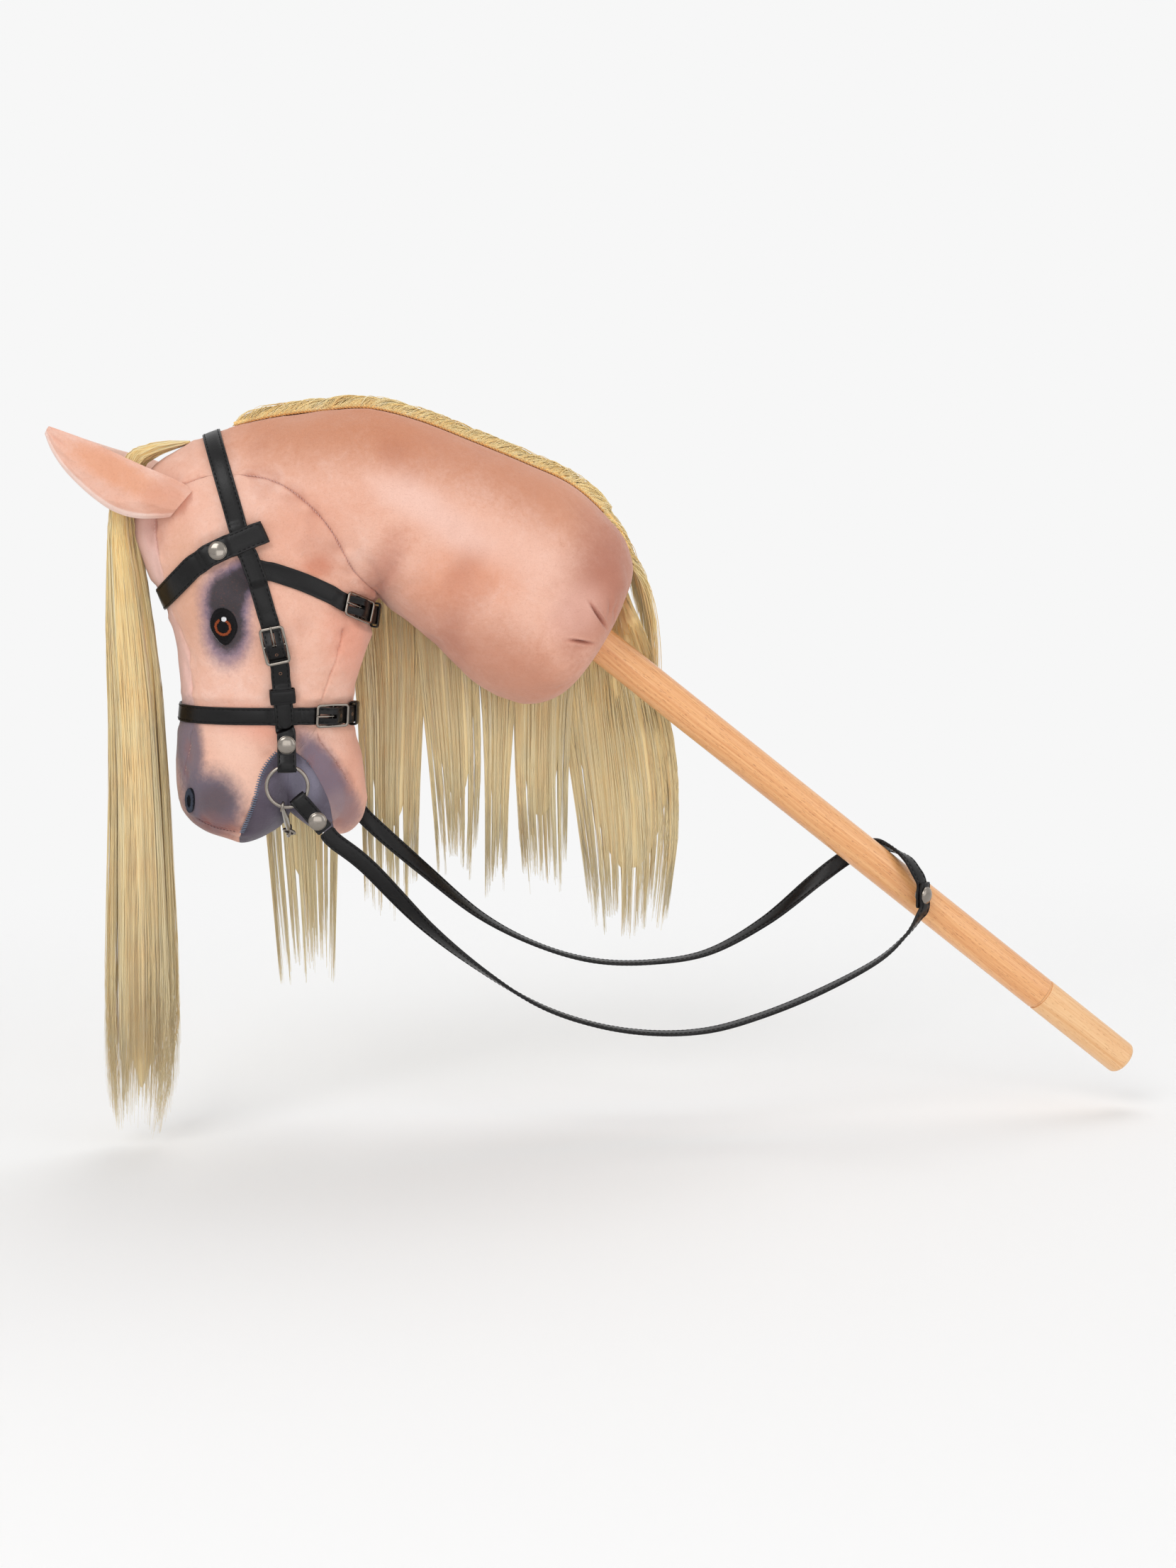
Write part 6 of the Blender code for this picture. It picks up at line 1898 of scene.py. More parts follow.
class SkinPath(Path):
    """A line on the skin."""

    def __init__(self, places: Array, normals: Array, closed: bool = False) -> None:
        """Spaces the stations 1 mm apart. A closed line runs round three times, from one round before 0.

        Args:
            places: The line's places.
            normals: The skin's normals there.
            closed: The line ends where it starts.
        """
        p, n = np.asarray(places, float), np.asarray(normals, float)
        if closed:
            p, n = np.vstack([p, p[:1]]), np.vstack([n, n[:1]])
        length = lengths_along(p)
        self.length, self.closed = length[-1], closed
        s = np.linspace(0.0, self.length, int(self.length) + 1)
        p, n = looked_up(s, length, p), looked_up(s, length, n)
        if closed:
            s = np.concatenate([s[:-1] - self.length, s[:-1], s + self.length])
            p, n = np.vstack([p[:-1], p[:-1], p]), np.vstack([n[:-1], n[:-1], n])
        self.s, self.p, self.n = s, evened(p, 5), unit(evened(n, 9))

    def frame(self, s: Array | float) -> tuple[Array, Array, Array, Array]:
        """Place, along, outwards and across at the stations s.

        Args:
            s: The stations.

        Returns:
            Four arrays with one row a station.
        """
        s = np.atleast_1d(np.asarray(s, float))
        step = np.gradient(self.p, self.s, axis=0)
        place, along, out = (looked_up(s, self.s, v) for v in (self.p, step, self.n))
        along = unit(along)
        out = square_to(out, along)
        over = s - np.clip(s, self.s[0], self.s[-1])
        return place + over[:, None] * along, along, out, np.cross(along, out)

    def nearest(self, x: float, z: float, side: int = -1) -> float:
        """The station closest to a point of the side view, on the left if side is -1.

        Args:
            x: The point's x.
            z: The point's z.
            side: 1 for the right.

        Returns:
            The station.
        """
        distance = np.hypot(self.p[:, 0] - x, self.p[:, 2] - z) + Skin.far * (self.p[:, 1] * side < -1.0)
        if self.closed:
            distance = distance + Skin.far * ((self.s < 0) | (self.s >= self.length))
        return float(self.s[int(np.argmin(distance))])

    def down_to(self, z: float) -> float:
        """The station on the left where the line comes down to a height."""
        left = slice(len(self.s) // 2, None)
        return float(np.interp(-z, -self.p[left, 2], self.s[left]))

    def point_down(self, s0: float, half: float, width: float, blend: float = 8.0) -> None:
        """Makes the line's last part hang straight down on both sides at a half width.

        Args:
            s0: The station on the left from which it hangs.
            half: Length before it that hangs too.
            width: The half width.
            blend: Length over which it bends there.
        """
        for start, side in ((s0, -1.0), (self.length - s0, 1.0)):
            place = self.at(start, 0.0)
            place[1] = side * width
            away = (self.s - start) * (-side)
            keep = smooth_step((-away - half) / blend)[:, None]
            down = place + away[:, None] * -UP
            self.p = keep * self.p + (1 - keep) * down
            self.n = unit(keep * self.n + (1 - keep) * np.array([0.0, side, 0.0]))

    def straighten(self, s0: float, half: float, blend: float = 8.0, place: Array | None = None,
                   out: Array | None = None) -> None:
        """Makes the line straight for half to each side of s0, there or through a given place.

        Args:
            s0: The middle of the straight part.
            half: Half its length.
            blend: Length over which it bends back.
            place: The place it runs through.
            out: Its outward direction.
        """
        own_place, along, own_out, _ = self.frame_at(s0)
        place = own_place if place is None else place
        out = own_out if out is None else out
        along = unit(along - np.dot(along, out) * out)
        for shift in (-self.length, 0.0, self.length) if self.closed else (0.0,):
            away = self.s - (s0 + shift)
            keep = smooth_step((np.abs(away) - half) / blend)[:, None]
            self.p = keep * self.p + (1 - keep) * (place + away[:, None] * along)
            self.n = unit(keep * self.n + (1 - keep) * out)


@dataclass
class StraightPath(Path):
    """A straight line with a constant frame."""

    place: Array
    along: Array
    out: Array

    def frame(self, s: Array | float) -> tuple[Array, Array, Array, Array]:
        """Place, along, outwards and across at the stations s.

        Args:
            s: The stations.

        Returns:
            Four arrays with one row a station.
        """
        s = np.atleast_1d(np.asarray(s, float))
        along, out = (np.repeat(unit(v)[None], len(s), axis=0) for v in (self.along, self.out))
        return self.place + s[:, None] * along, along, out, np.cross(along, out)


def carried(path: Path, profile: list[tuple], width: float, thickness: float = 1.3,
            soften: int = 5, pointed: Pair = (1.2, 1.2), step: float = 0.7) -> StrapForm:
    """A strap whose side view over the path is a profile, evened out where it bends.

    Args:
        path: The line under it.
        profile: Points of station, height and whether the stretch after it is slotted.
        width: The strap's width.
        thickness: Its thickness.
        soften: Rows over which bends are evened.
        pointed: Length over which each end narrows.
        step: Spacing of the rows.

    Returns:
        The strap's form.
    """
    corners = np.array([p[:2] for p in profile], float)
    slots = np.array([len(p) > 2 and bool(p[2]) for p in profile])
    length = lengths_along(corners)
    even = np.linspace(0.0, length[-1], int(length[-1] / step) + 1)
    sh = evened(looked_up(even, length, corners), soften)
    middle_of = (even[1:] + even[:-1]) / 2
    slotted = slots[np.searchsorted(length, middle_of, side="right") - 1]
    place, _, out, across = path.frame(sh[:, 0])
    middle = place + out * sh[:, 1:2]
    along = unit(np.gradient(middle, axis=0))
    facing = unit(np.cross(across, along))
    return StrapForm(middle, along, facing, width, thickness, slotted, sh[:, 0], pointed)


def arc(
    s: float, height: float, radius: float, start: float, stop: float, slotted: bool = False,
) -> list[tuple]:
    """Profile points on an arc round (s, height), angles in degrees from the strap's direction."""
    angles = np.radians(np.linspace(start, stop, 13))
    return [(s + radius * math.cos(a), height + radius * math.sin(a), slotted) for a in angles]


class Side(Enum):
    """The horse's left and right."""

    LEFT = -1
    RIGHT = 1

    @property
    def word(self) -> str:
        """Its name in the names of pieces and nodes."""
        return self.name.lower()

    def turn(self, points: Array) -> Array:
        """Left points, or their mirror image on the right."""
        return points if self is Side.LEFT else mirrored(points)


def places_of(name: str, both: bool) -> list[tuple[Side, str]]:
    """The sides that a part is on, with the name of its CAD node there."""
    return [(side, f"{name}_{side.word}") for side in Side] if both else [(Side.LEFT, name)]


@dataclass(frozen=True)
class StrapSizes:
    """Sizes and clearances that the bridle's pieces share."""

    width: float = 12.5
    thickness: float = 1.3
    browband: float = 15.0
    noseband: float = 11.8
    clearance: float = 0.35
    skin_gap: float = 0.8
    layer_gap: float = 0.32
    slot: float = 2.7
    snap: float = 12.5
    snap_height: float = 2.6
    snap_base: float = 0.9
    snap_post: float = 1.9
    keeper: float = 10.0
    keeper_thickness: float = 1.0
    keeper_room: float = 0.9

    def layer(self, k: int) -> float:
        """Height over the skin of the middle of the strap that is the k-th from below."""
        return self.skin_gap + self.thickness / 2 + (k - 1) * (self.thickness + self.layer_gap)

    @property
    def snap_lower(self) -> float:
        """Height of the lower strap under a snap."""
        return self.clearance + self.snap_base + self.layer_gap + self.thickness / 2

    @property
    def snap_upper(self) -> float:
        """Height of the upper strap under a snap."""
        return self.snap_lower + self.thickness + self.layer_gap

    @property
    def keeper_low(self) -> float:
        """Height of the lower strap in a keeper."""
        return self.skin_gap + self.keeper_thickness + self.layer_gap + self.thickness / 2

    @property
    def keeper_high(self) -> float:
        """Height of the upper strap in a keeper."""
        return self.keeper_low + self.thickness + self.layer_gap

    def over_keeper(
        self, distance: float, height: float, before: float, after: float | None = None,
    ) -> list[tuple]:
        """Profile points of a strap lifted by a keeper at a distance from the buckle's bar.

        Args:
            distance: From the bar to the keeper's middle.
            height: The strap's height in the keeper.
            before: Its height before the keeper.
            after: Its height after it, if that isn't the same.

        Returns:
            The points.
        """
        half = self.keeper / 2 + 0.3
        return [(distance - half - 3.0, before), (distance - half, height), (distance + half, height),
                (distance + half + 1.7, before if after is None else after)]

    def snap_hole(self, station: float, height: float, direction: int = 1) -> list[tuple]:
        """Profile points of a strap with the hole for a snap's post."""
        half = self.slot / 2
        return [(station - direction * half, height, True), (station + direction * half, height)]


SIZES = StrapSizes()


@dataclass
class Hardware:
    """Metal fittings and leather keepers, made on a frame of place and directions."""

    leather: bpy.types.Material
    metal: bpy.types.Material
    thread: bpy.types.Material
    wire: float = 1.7
    buckle_length: float = 25.5
    corner: float = 2.2
    side_clearance: float = 0.4
    prong_wire: float = 1.3

    def pair(self, name: str, build: Callable[[Mesher, Side], Mesher], finish: bpy.types.Material,
             both: bool = True, slot: str | None = None) -> None:
        """Pieces for both sides, or one on the left, that replace the nodes of the same name.

        Args:
            name: Name of the node, without its side.
            build: Puts a side's surface into a mesher.
            finish: The material.
            both: On both sides.
            slot: The record's material slot.
        """
        for side, node in places_of(name, both):
            build(Mesher(), side).piece(f"{node}_piece", finish, 35.0, (node,), slot)

    def snap(self, place: Array, out: Array, low: float, high: float) -> Array:
        """A press stud: base under the straps, post through them, and over them a domed cap with a rim.

        Args:
            place: Point of the skin under it.
            out: Direction outwards.
            low: Height of the straps' lower face.
            high: Height of their upper face.

        Returns:
            Points of rows and columns.
        """
        z = SIZES
        cap, base, post = z.snap / 2, z.snap * 0.39, z.snap_post / 2
        under, over = low - z.layer_gap, high + z.layer_gap * 0.6
        turn = np.radians(np.linspace(0.0, 88.0, 16))
        dome = np.stack(
            [over + z.snap_height * (0.34 + 0.66 * np.sin(turn)), cap * 0.93 * np.cos(turn)], axis=1,
        )
        profile = np.vstack([
            [(under - z.snap_base, base - 0.25), (under - z.snap_base + 0.2, base), (under - 0.15, base),
             (under, base - 0.2), (under, post), (over, post), (over, cap - 0.4), (over + 0.12, cap - 0.1),
             (over + 0.42, cap), (over + 0.72, cap - 0.12), (over + 0.84, cap - 0.4)], dome,
        ])
        return lathe(profile, place, out, 48)

    def keeper(self, path: SkinPath, station: float, width: float) -> StrapForm:
        """A loop of leather round a lower and an upper strap: a rectangle with round corners.

        Args:
            path: The line it sits on.
            station: Its station.
            width: The straps' width.

        Returns:
            The loop's form.
        """
        z = SIZES
        reach = width / 2 + z.layer_gap + z.keeper_thickness / 2 + z.keeper_room
        low = z.skin_gap + z.keeper_thickness / 2
        high = z.keeper_high + z.thickness / 2 + z.layer_gap + z.keeper_thickness / 2
        place, along, out, across = path.frame_at(station)
        round_off, steps = 1.1, np.radians(np.linspace(0.0, 90.0, 7))
        corners = []
        for turn, (a, b) in enumerate(((reach, high), (-reach, high), (-reach, low), (reach, low))):
            angle = steps + turn * math.pi / 2
            middle = np.array([a - math.copysign(round_off, a), b - (round_off if b == high else -round_off)])
            corners.append(middle + round_off * np.stack([np.cos(angle), np.sin(angle)], axis=1))
        ring = np.vstack(corners + [corners[0][:1]])
        ring = respaced(np.column_stack([ring, np.zeros(len(ring))]), 0.7)[:-1, :2]
        line = place + ring[:, :1] * across + ring[:, 1:] * out
        run = unit(np.roll(line, -1, axis=0) - np.roll(line, 1, axis=0))
        facing = unit(np.cross(np.broadcast_to(along, run.shape), run))
        outward = line - (place + out * (low + high) / 2)
        facing *= np.sign(np.sum(facing * outward, axis=1, keepdims=True))
        return StrapForm(line, run, facing, z.keeper, z.keeper_thickness, pointed=(), seam_from_edge=1.2)

    def add_keeper(self, name: str, path: SkinPath, station: float, width: float, both: bool) -> None:
        """The keeper, with its stitches, on one side or both.

        Args:
            name: Name of the node, without its side.
            path: The line it sits on.
            station: Its station.
            width: The straps' width.
            both: On both sides.
        """
        form = self.keeper(path, station, width)
        points, _ = form.surface()
        rows = form.stitches(ends=0.0, pitch=2.6, length=1.7, size=0.34)
        for side, node in places_of(name, both):
            Mesher().hoop(side.turn(points)).piece(f"{node}_piece", self.leather, 50.0, (node,), "leather")
            stitched(Mesher(), [side.turn(r) for r in rows]).piece(f"{node}_stitches", self.thread)


class Buckle:
    """A centre-bar buckle on a path: how the straps pass it, its frame and its prong.

    Distances are from the centre bar, towards the tail of the pointed strap. Sign is -1 where the path's
    stations run the other way, and turns counts the times round a closed path.
    """

    prong_clear = 2.4

    def __init__(self, tools: Hardware, path: SkinPath, station: float, sign: int, width: float) -> None:
        """Straightens the path there and works out the buckle's own frame, tilted from layer 1 to layer 2.

        Args:
            tools: The fittings' sizes and finishes.
            path: The line it sits on.
            station: Station of the centre bar.
            sign: 1 or -1, the way to the tail.
            width: The strap's width.
        """
        z = SIZES
        self.tools, self.path, self.station, self.sign, self.width = tools, path, station, sign, width
        self.half = (tools.buckle_length - tools.wire) / 2
        self.over = z.thickness / 2 + z.clearance + tools.wire / 2
        far, near = z.layer(1) + self.over, z.layer(2) + self.over
        self.bar = (far + near) / 2
        self.top = self.bar + self.over + z.thickness + z.layer_gap
        path.straighten(station, self.half + 2.0)
        place, along, out, self.across = path.frame_at(station)
        self.tilt = unit(along * sign * 2 * self.half + out * (near - far))
        self.out = unit(out - np.dot(out, self.tilt) * self.tilt)
        self.centre = place + out * self.bar

    def stations(self, points: list[tuple], turns: int = 0) -> list[tuple]:
        """Profile points given from the centre bar, as stations of the path."""
        start = self.station + turns * self.path.length
        return [(start + self.sign * p[0], *p[1:]) for p in points]

    def billet(self, before: list[tuple], after: list[tuple], turns: int = 0) -> list[tuple]:
        """The pointed strap: under the far bar, over the centre bar and under the near bar.

        Args:
            before: Profile points before the buckle.
            after: Profile points after it.
            turns: Times round a closed path.

        Returns:
            The strap's profile.
        """
        z, foot = SIZES, self.half - self.prong_clear
        points = [
            *before, (-self.half - 3.0, z.layer(1)), (-foot, z.layer(1)),
            (0.8 - foot, z.layer(1) + 0.5, True),
            (-1.4, self.top, True), (0.3, self.top), (1.4, self.top), (7.6, z.layer(3)), (9.4, z.layer(2)),
            (self.half + 1.5, z.layer(2)), *after,
        ]
        return self.stations(points, turns)

    def loop(self, onwards: list[tuple]) -> list[tuple]:
        """The buckle strap: from its folded end over and round the centre bar, then onwards.

        Args:
            onwards: Profile points after the bar.

        Returns:
            The strap's profile.
        """
        z, turn = SIZES, self.over
        return self.stations([
            (7.0, z.layer(2)), (4.6, z.layer(2) + 0.15, True), (1.6, self.bar + turn - 0.35, True),
            *arc(0.0, self.bar, turn, 90, 270, slotted=True),
            (1.6, self.bar - turn, True), (4.8, z.layer(1)), *onwards,
        ])

    def place(self, along: Array, across: Array, out: Array) -> Array:
        """Points of the buckle's own frame."""
        a, c, o = np.broadcast_arrays(along, across, out)
        return self.centre + a[..., None] * self.tilt + c[..., None] * self.across + o[..., None] * self.out

    def frame(self, mesher: Mesher, side: Side) -> Mesher:
        """The rounded rectangle of flattened wire, and its centre bar.

        Args:
            mesher: Where it goes.
            side: The toy's side.

        Returns:
            The mesher.
        """
        t = self.tools
        wide = self.width / 2 + t.side_clearance + t.wire / 2
        line = []
        for turn, (a, c) in enumerate(((1, 1), (-1, 1), (-1, -1), (1, -1))):
            angle = np.radians(90 * turn + np.linspace(0.0, 90.0, 9))
            line.append(np.stack([a * (self.half - t.corner) + t.corner * np.cos(angle),
                                  c * (wide - t.corner) + t.corner * np.sin(angle)], axis=1))
        line = np.vstack(line)
        run = np.roll(line, -1, axis=0) - np.roll(line, 1, axis=0)
        outward = unit(np.stack([run[:, 1], -run[:, 0]], axis=1))
        angle = 2 * math.pi * (np.arange(20) + 0.5) / 20
        flat = powered(np.cos(angle), 0.72) * t.wire * 0.56
        up = powered(np.sin(angle), 0.72) * t.wire * 0.47
        points = self.place(
            line[:, :1] + outward[:, :1] * flat, line[:, 1:] + outward[:, 1:] * flat, up[None],
        )
        mesher.hoop(side.turn(points))
        radius = t.wire * 0.47
        bar = lathe(
            ((-wide, 0.3), (-wide, radius), (wide, radius), (wide, 0.3)), self.centre, self.across, 16,
        )
        return mesher.rod(side.turn(bar))

    def prong(self, mesher: Mesher, side: Side) -> Mesher:
        """A wire bent round the centre bar, resting on the far bar, with a rounded tip.

        Args:
            mesher: Where it goes.
            side: The toy's side.

        Returns:
            The mesher.
        """
        t = self.tools
        ring = (t.wire + t.prong_wire) / 2 + SIZES.clearance * 0.8
        angle = np.radians(np.linspace(-190.0, 90.0, 29))
        bent = np.stack([ring * np.cos(angle), ring * np.sin(angle)], axis=1)
        straight = [[-self.half * k, ring] for k in (0.2, 0.4, 0.6, 0.8)]
        straight += [[1.0 - self.half, ring], [-self.half - 1.6, ring - 0.2]]
        flat = np.vstack([bent, straight])
        flat = respaced(np.column_stack([flat, np.zeros(len(flat))]), 0.45)
        line = self.place(flat[:, 0], np.zeros(len(flat)), flat[:, 1])
        s = lengths_along(line)
        size = t.prong_wire / 2 * np.sqrt(1 - np.clip(1 - (s[-1] - s) / 0.7, 0.0, 0.97) ** 2)
        points = tube(line, size, 14, hint=self.across)
        return mesher.rod(side.turn(points))

    def add(self, name: str, both: bool) -> None:
        """The buckle's frame and prong, on one side or both."""
        self.tools.pair(f"{name}_buckle", self.frame, self.tools.metal, both, "nickel")
        self.tools.pair(f"{name}_prong", self.prong, self.tools.metal, both, "nickel")


@dataclass
class Bridle:
    """The bridle's straps and fittings, laid on the skin like the CAD ones."""

    skin: Skin
    tools: Hardware
    poll: tuple[Pair, Pair] = ((-309.0, 140.0), (-13.5, 49.5))
    forehead: tuple[Pair, Pair] = ((-335.0, 101.5), (-23.5, -24.0))
    throat_fan: tuple[Pair, Pair] = ((-238.0, 77.5), (22.4, -11.0))
    nose_fan: tuple[Pair, Pair] = ((-288.0, 1.5), (-100.0, 1.0))
    cheek_line: tuple[Pair, ...] = (
        (-305.5, 126.0), (-301.5, 113.0), (-296.5, 100.0), (-291.0, 82.0), (-286.2, 64.0), (-282.8, 50.0),
        (-280.2, 36.0), (-278.4, 15.0), (-277.6, 0.0), (-276.8, -17.4), (-276.2, -33.0), (-276.0, -48.0),
    )
    brow_line: tuple[Pair, ...] = (
        (-327.1, 106.3), (-318.9, 111.1), (-305.0, 117.0), (-295.9, 121.0), (-289.0, 124.0), (-279.0, 128.5),
    )
    throat_line: tuple[Pair, ...] = (
        (-246.0, 82.5), (-262.0, 90.0), (-277.0, 95.5), (-288.8, 99.2), (-301.0, 102.5),
    )
    brow_crossing: Pair = (-303.0, 118.0)
    brow_snap: Pair = (-318.9, 111.1)
    brow_turn: Pair = (-290.0, 123.6)
    crown_end: float = 93.5
    billet_start: float = 108.5
    cheek_buckle: float = 50.0
    cheek_snap: float = -17.4
    throat_buckle: Pair = (-228.5, 73.0)
    throat_crossing: Pair = (-294.0, 100.6)
    nose_buckle: Pair = (-247.4, 1.5)
    nose_crossing: float = -277.6
    flat_crossing: float = 8.5
    hang_clear: float = 2.34
    keeper_at: dict[str, float] = field(default_factory=lambda: {"cheek": 35.4, "throat": 21.5, "nose": 21.5})
    ring_top: float = -45.5 + 13.75 - 1.55
    ring_wire: float = 2.5
    ring_sag: float = 1.55

    def __post_init__(self) -> None:
        """Lays the paths: fans of rays over the poll, forehead, throat and nose, then down the sides."""
        self.cheek = self.both_sides(self.poll, self.cheek_line)
        self.brow = self.both_sides(self.forehead, self.brow_line)
        self.throat = self.both_sides(self.throat_fan, self.throat_line)
        ring = self.fan(self.nose_fan, range(0, 360, 5))
        self.nose = SkinPath(*ring, closed=True)
        self.ring_turn = self.cheek.down_to(self.ring_top)
        snap = self.cheek.down_to(self.cheek_snap)
        widest = max(abs(self.cheek.at(s, 0.0)[1]) for s in np.linspace(snap, self.ring_turn, 12))
        self.cheek.point_down(
            self.ring_turn, self.ring_turn - snap + SIZES.snap / 2, widest + self.hang_clear,
        )
        self.join(self.brow, self.brow_crossing)
        self.join(self.throat, self.throat_crossing)
        self.join(self.nose, (self.nose_crossing, self.nose_fan[0][1]))
        self.seams: list[Array] = []
        self.holes: list[tuple[Array, Array]] = []

    def fan(self, centre_and_way: tuple[Pair, Pair], angles: range) -> tuple[Array, Array]:
        """Skin points and normals seen from a centre, swinging from a direction towards the left side."""
        found = [self.skin.from_inside(*centre_and_way, math.radians(a)) for a in angles]
        return np.array([f[0] for f in found]), np.array([f[1] for f in found])

    def both_sides(self, centre_and_way: tuple[Pair, Pair], line: tuple[Pair, ...]) -> SkinPath:
        """A path that starts on the right side, crosses the centre plane and ends on the left side.

        Args:
            centre_and_way: The fan's centre and first direction.
            line: Points x, z down the left side.

        Returns:
            The path.
        """
        over = self.fan(centre_and_way, range(0, 91, 6))
        down = self.skin.left_of(catmull_rom(line, 5))
        places, normals = (np.vstack([a, b]) for a, b in zip(over, down))
        return SkinPath(*(np.vstack([mirrored(v[:0:-1]), v]) for v in (places, normals)))

    def join(self, path: SkinPath, point: Pair) -> None:
        """Lets a path and the cheek line share a flat place where they cross on each side.

        Args:
            path: The other path.
            point: Where they cross, x, z.
        """
        at = self.cheek.down_to(point[1])
        for side, station in ((-1, at), (1, self.cheek.length - at)):
            self.cheek.straighten(station, self.flat_crossing, 4.0)
            place, _, out, _ = self.cheek.frame_at(station)
            path.straighten(path.nearest(place[0], place[2], side), self.flat_crossing, 5.0, place, out)

    def there_and_back(self, path: SkinPath, left: list[tuple]) -> list[tuple]:
        """A profile given from the path's middle to its left end, with its mirror image before it.

        Args:
            path: The path.
            left: Profile points of the left half.

        Returns:
            The whole profile.
        """
        padded = [(*p, False) if len(p) == 2 else p for p in left]
        right = [(path.length - p[0], p[1], q[2]) for p, q in zip(padded[:0:-1], padded[-2::-1])]
        return right + padded

    def lay(self, name: str, form: StrapForm, both: bool = False, faces: tuple[int, ...] = (1,)) -> None:
        """A strap on one side or both, for the node of its name. Its stitches are kept for one piece.

        Args:
            name: Name of the node, without its side.
            form: The left strap.
            both: On both sides.
            faces: Faces with stitches, 1 outside and -1 inside.
        """
        for side, node in places_of(name, both):
            own = form if side is Side.LEFT else form.reversed_side()
            own.add_to(Mesher()).piece(f"{node}_strap", self.tools.leather, 50.0, (node,), "leather")
            self.seams += [side.turn(r) for r in form.stitches(faces=faces)]

    def add(self) -> None:
        """All straps and fittings."""
        self.add_headpiece()
        self.add_browband()
        self.add_cheeks()
        self.add_throatlatch()
        self.add_noseband()
        stitched(Mesher(), self.seams).piece("bridle_stitches", self.tools.thread)
        # Each hole gets a raw-leather rim and a matt black disc, painted shade for the hole's dark inside
        rims, dark = Mesher(), Mesher()
        for place, out in self.holes:
            rims.hoop(torus(place + out * 0.05, out, 0.92, 0.34, 20, 8))
            dark.rod(lathe(((-0.1, 0.1), (-0.1, 0.85), (0.03, 0.85), (0.03, 0.1)), place, out, 20))
        rims.piece("punched_edges", thread("raw_leather", 150, 112, 88))
        dark.piece("punched_holes", self.tools.thread)

    def punch(self, form: StrapForm, stations: list[float], both: bool = False) -> None:
        """Notes punched holes on a strap, on one side or both.

        Args:
            form: The strap.
            stations: The holes' stations.
            both: On both sides.
        """
        for row in (form.row_at(s) for s in stations):
            place, out = form.middle[row] + form.out[row] * form.thickness / 2, form.out[row]
            self.holes += [(side.turn(place), side.turn(out)) for side, _ in places_of("", both)]

    def add_headpiece(self) -> None:
        """The strap over the poll and its lower ends."""
        z, path = SIZES, self.cheek
        crossing = path.down_to(self.brow_crossing[1]) - z.browband / 2
        left = [(path.length / 2, z.layer(1)), (crossing - 6.0, z.layer(1)), (crossing - 2.0, z.layer(2)),
                (path.down_to(self.crown_end), z.layer(2))]
        self.lay("crownpiece", carried(path, self.there_and_back(path, left), z.width))

    def add_snap(self, name: str, path: SkinPath, station: float) -> None:
        """The snap through a path's straps, on both sides.

        Args:
            name: Name of the node, without its side.
            path: The path.
            station: The snap's station.
        """
        place, _, out, _ = path.frame_at(station)
        half = SIZES.thickness / 2
        points = self.tools.snap(place, out, SIZES.snap_lower - half, SIZES.snap_upper + half)
        self.tools.pair(
            name, lambda m, side: m.rod(side.turn(points)), self.tools.metal, slot="nickel"
        )

    def add_browband(self) -> None:
        """The browband, folded round the crownpiece and snapped on each side."""
        z, path = SIZES, self.brow
        snap = path.nearest(*self.brow_snap)
        for station in (snap, path.length - snap):
            path.straighten(station, z.snap / 2, 4.0)
        turn = path.nearest(*self.brow_turn)
        radius = (z.layer(3) - z.layer(1)) / 2 + 0.15
        left = [
            (path.length / 2, z.layer(1)), (snap - 14.0, z.layer(1)), (snap - 9.5, z.snap_upper),
            *z.snap_hole(snap, z.snap_upper), (snap + 6.7, z.snap_upper), (snap + 9.0, z.layer(3) + 0.15),
            *arc(turn, z.layer(2), radius, 90, -90), (snap + 9.4, z.layer(1)), (snap + 5.8, z.snap_lower),
            *z.snap_hole(snap, z.snap_lower, -1), (snap - 8.0, z.snap_lower),
        ]
        form = carried(path, self.there_and_back(path, left), z.browband, soften=3)
        self.lay("browband", form)
        seam = form.cross_row(form.row_at(snap - 10.5, nearest=False))
        self.seams += [seam, mirrored(seam)]
        self.add_snap("browband_snap", path, snap)

    def add_cheeks(self) -> None:
        """Both cheek straps, with buckles, keepers and the snapped loops round the bit's rings."""
        z, path = SIZES, self.cheek
        buckle = Buckle(self.tools, path, path.down_to(self.cheek_buckle), 1, z.width)
        keeper, at = self.keeper_at["cheek"], buckle.station
        crossing = path.down_to(self.nose_fan[0][1]) - at
        snap, turn = path.down_to(self.cheek_snap) - at, self.ring_turn - at
        path.straighten(at + keeper, z.keeper / 2 + 1.0, 5.0)
        path.straighten(path.length - at - keeper, z.keeper / 2 + 1.0, 5.0)
        end = path.down_to(self.crown_end) - at
        billet = buckle.billet(
            [
                (path.down_to(self.billet_start) - at, z.layer(3)), (end + 1.5, z.layer(3)),
                (end + 6.0, z.layer(1)),
            ],
            [
                *z.over_keeper(keeper, z.keeper_high, z.layer(2), z.layer(3)),
                (crossing - 1.0, z.layer(3) + 0.1), (crossing + z.noseband / 2 + 1.8, z.layer(3)),
            ],
        )
        form = carried(path, billet, z.width, pointed=(1.2, 9.0), soften=3)
        self.lay("cheek_billet", form, both=True)
        self.punch(form, [at + 5.2, at + 19.0], both=True)
        radius = self.ring_wire / 2 + z.clearance + z.thickness / 2
        lower = buckle.loop([
            *z.over_keeper(keeper, z.keeper_low, z.layer(1)),
            (snap - 9.4, z.layer(1)), (snap - 5.8, z.snap_lower),
            *z.snap_hole(snap, z.snap_lower), *arc(turn, z.snap_lower + radius, radius, -90, 90),
            (turn - self.ring_sag - self.ring_wire / 2 - 0.8, z.snap_lower + 2 * radius),
            (snap + z.snap / 2 + 0.8, z.snap_upper), *z.snap_hole(snap, z.snap_upper, -1),
            (snap - 7.2, z.snap_upper),
        ])
        self.lay("cheek_strap", carried(path, lower, z.width, soften=3), both=True, faces=(1, -1))
        buckle.add("cheek", both=True)
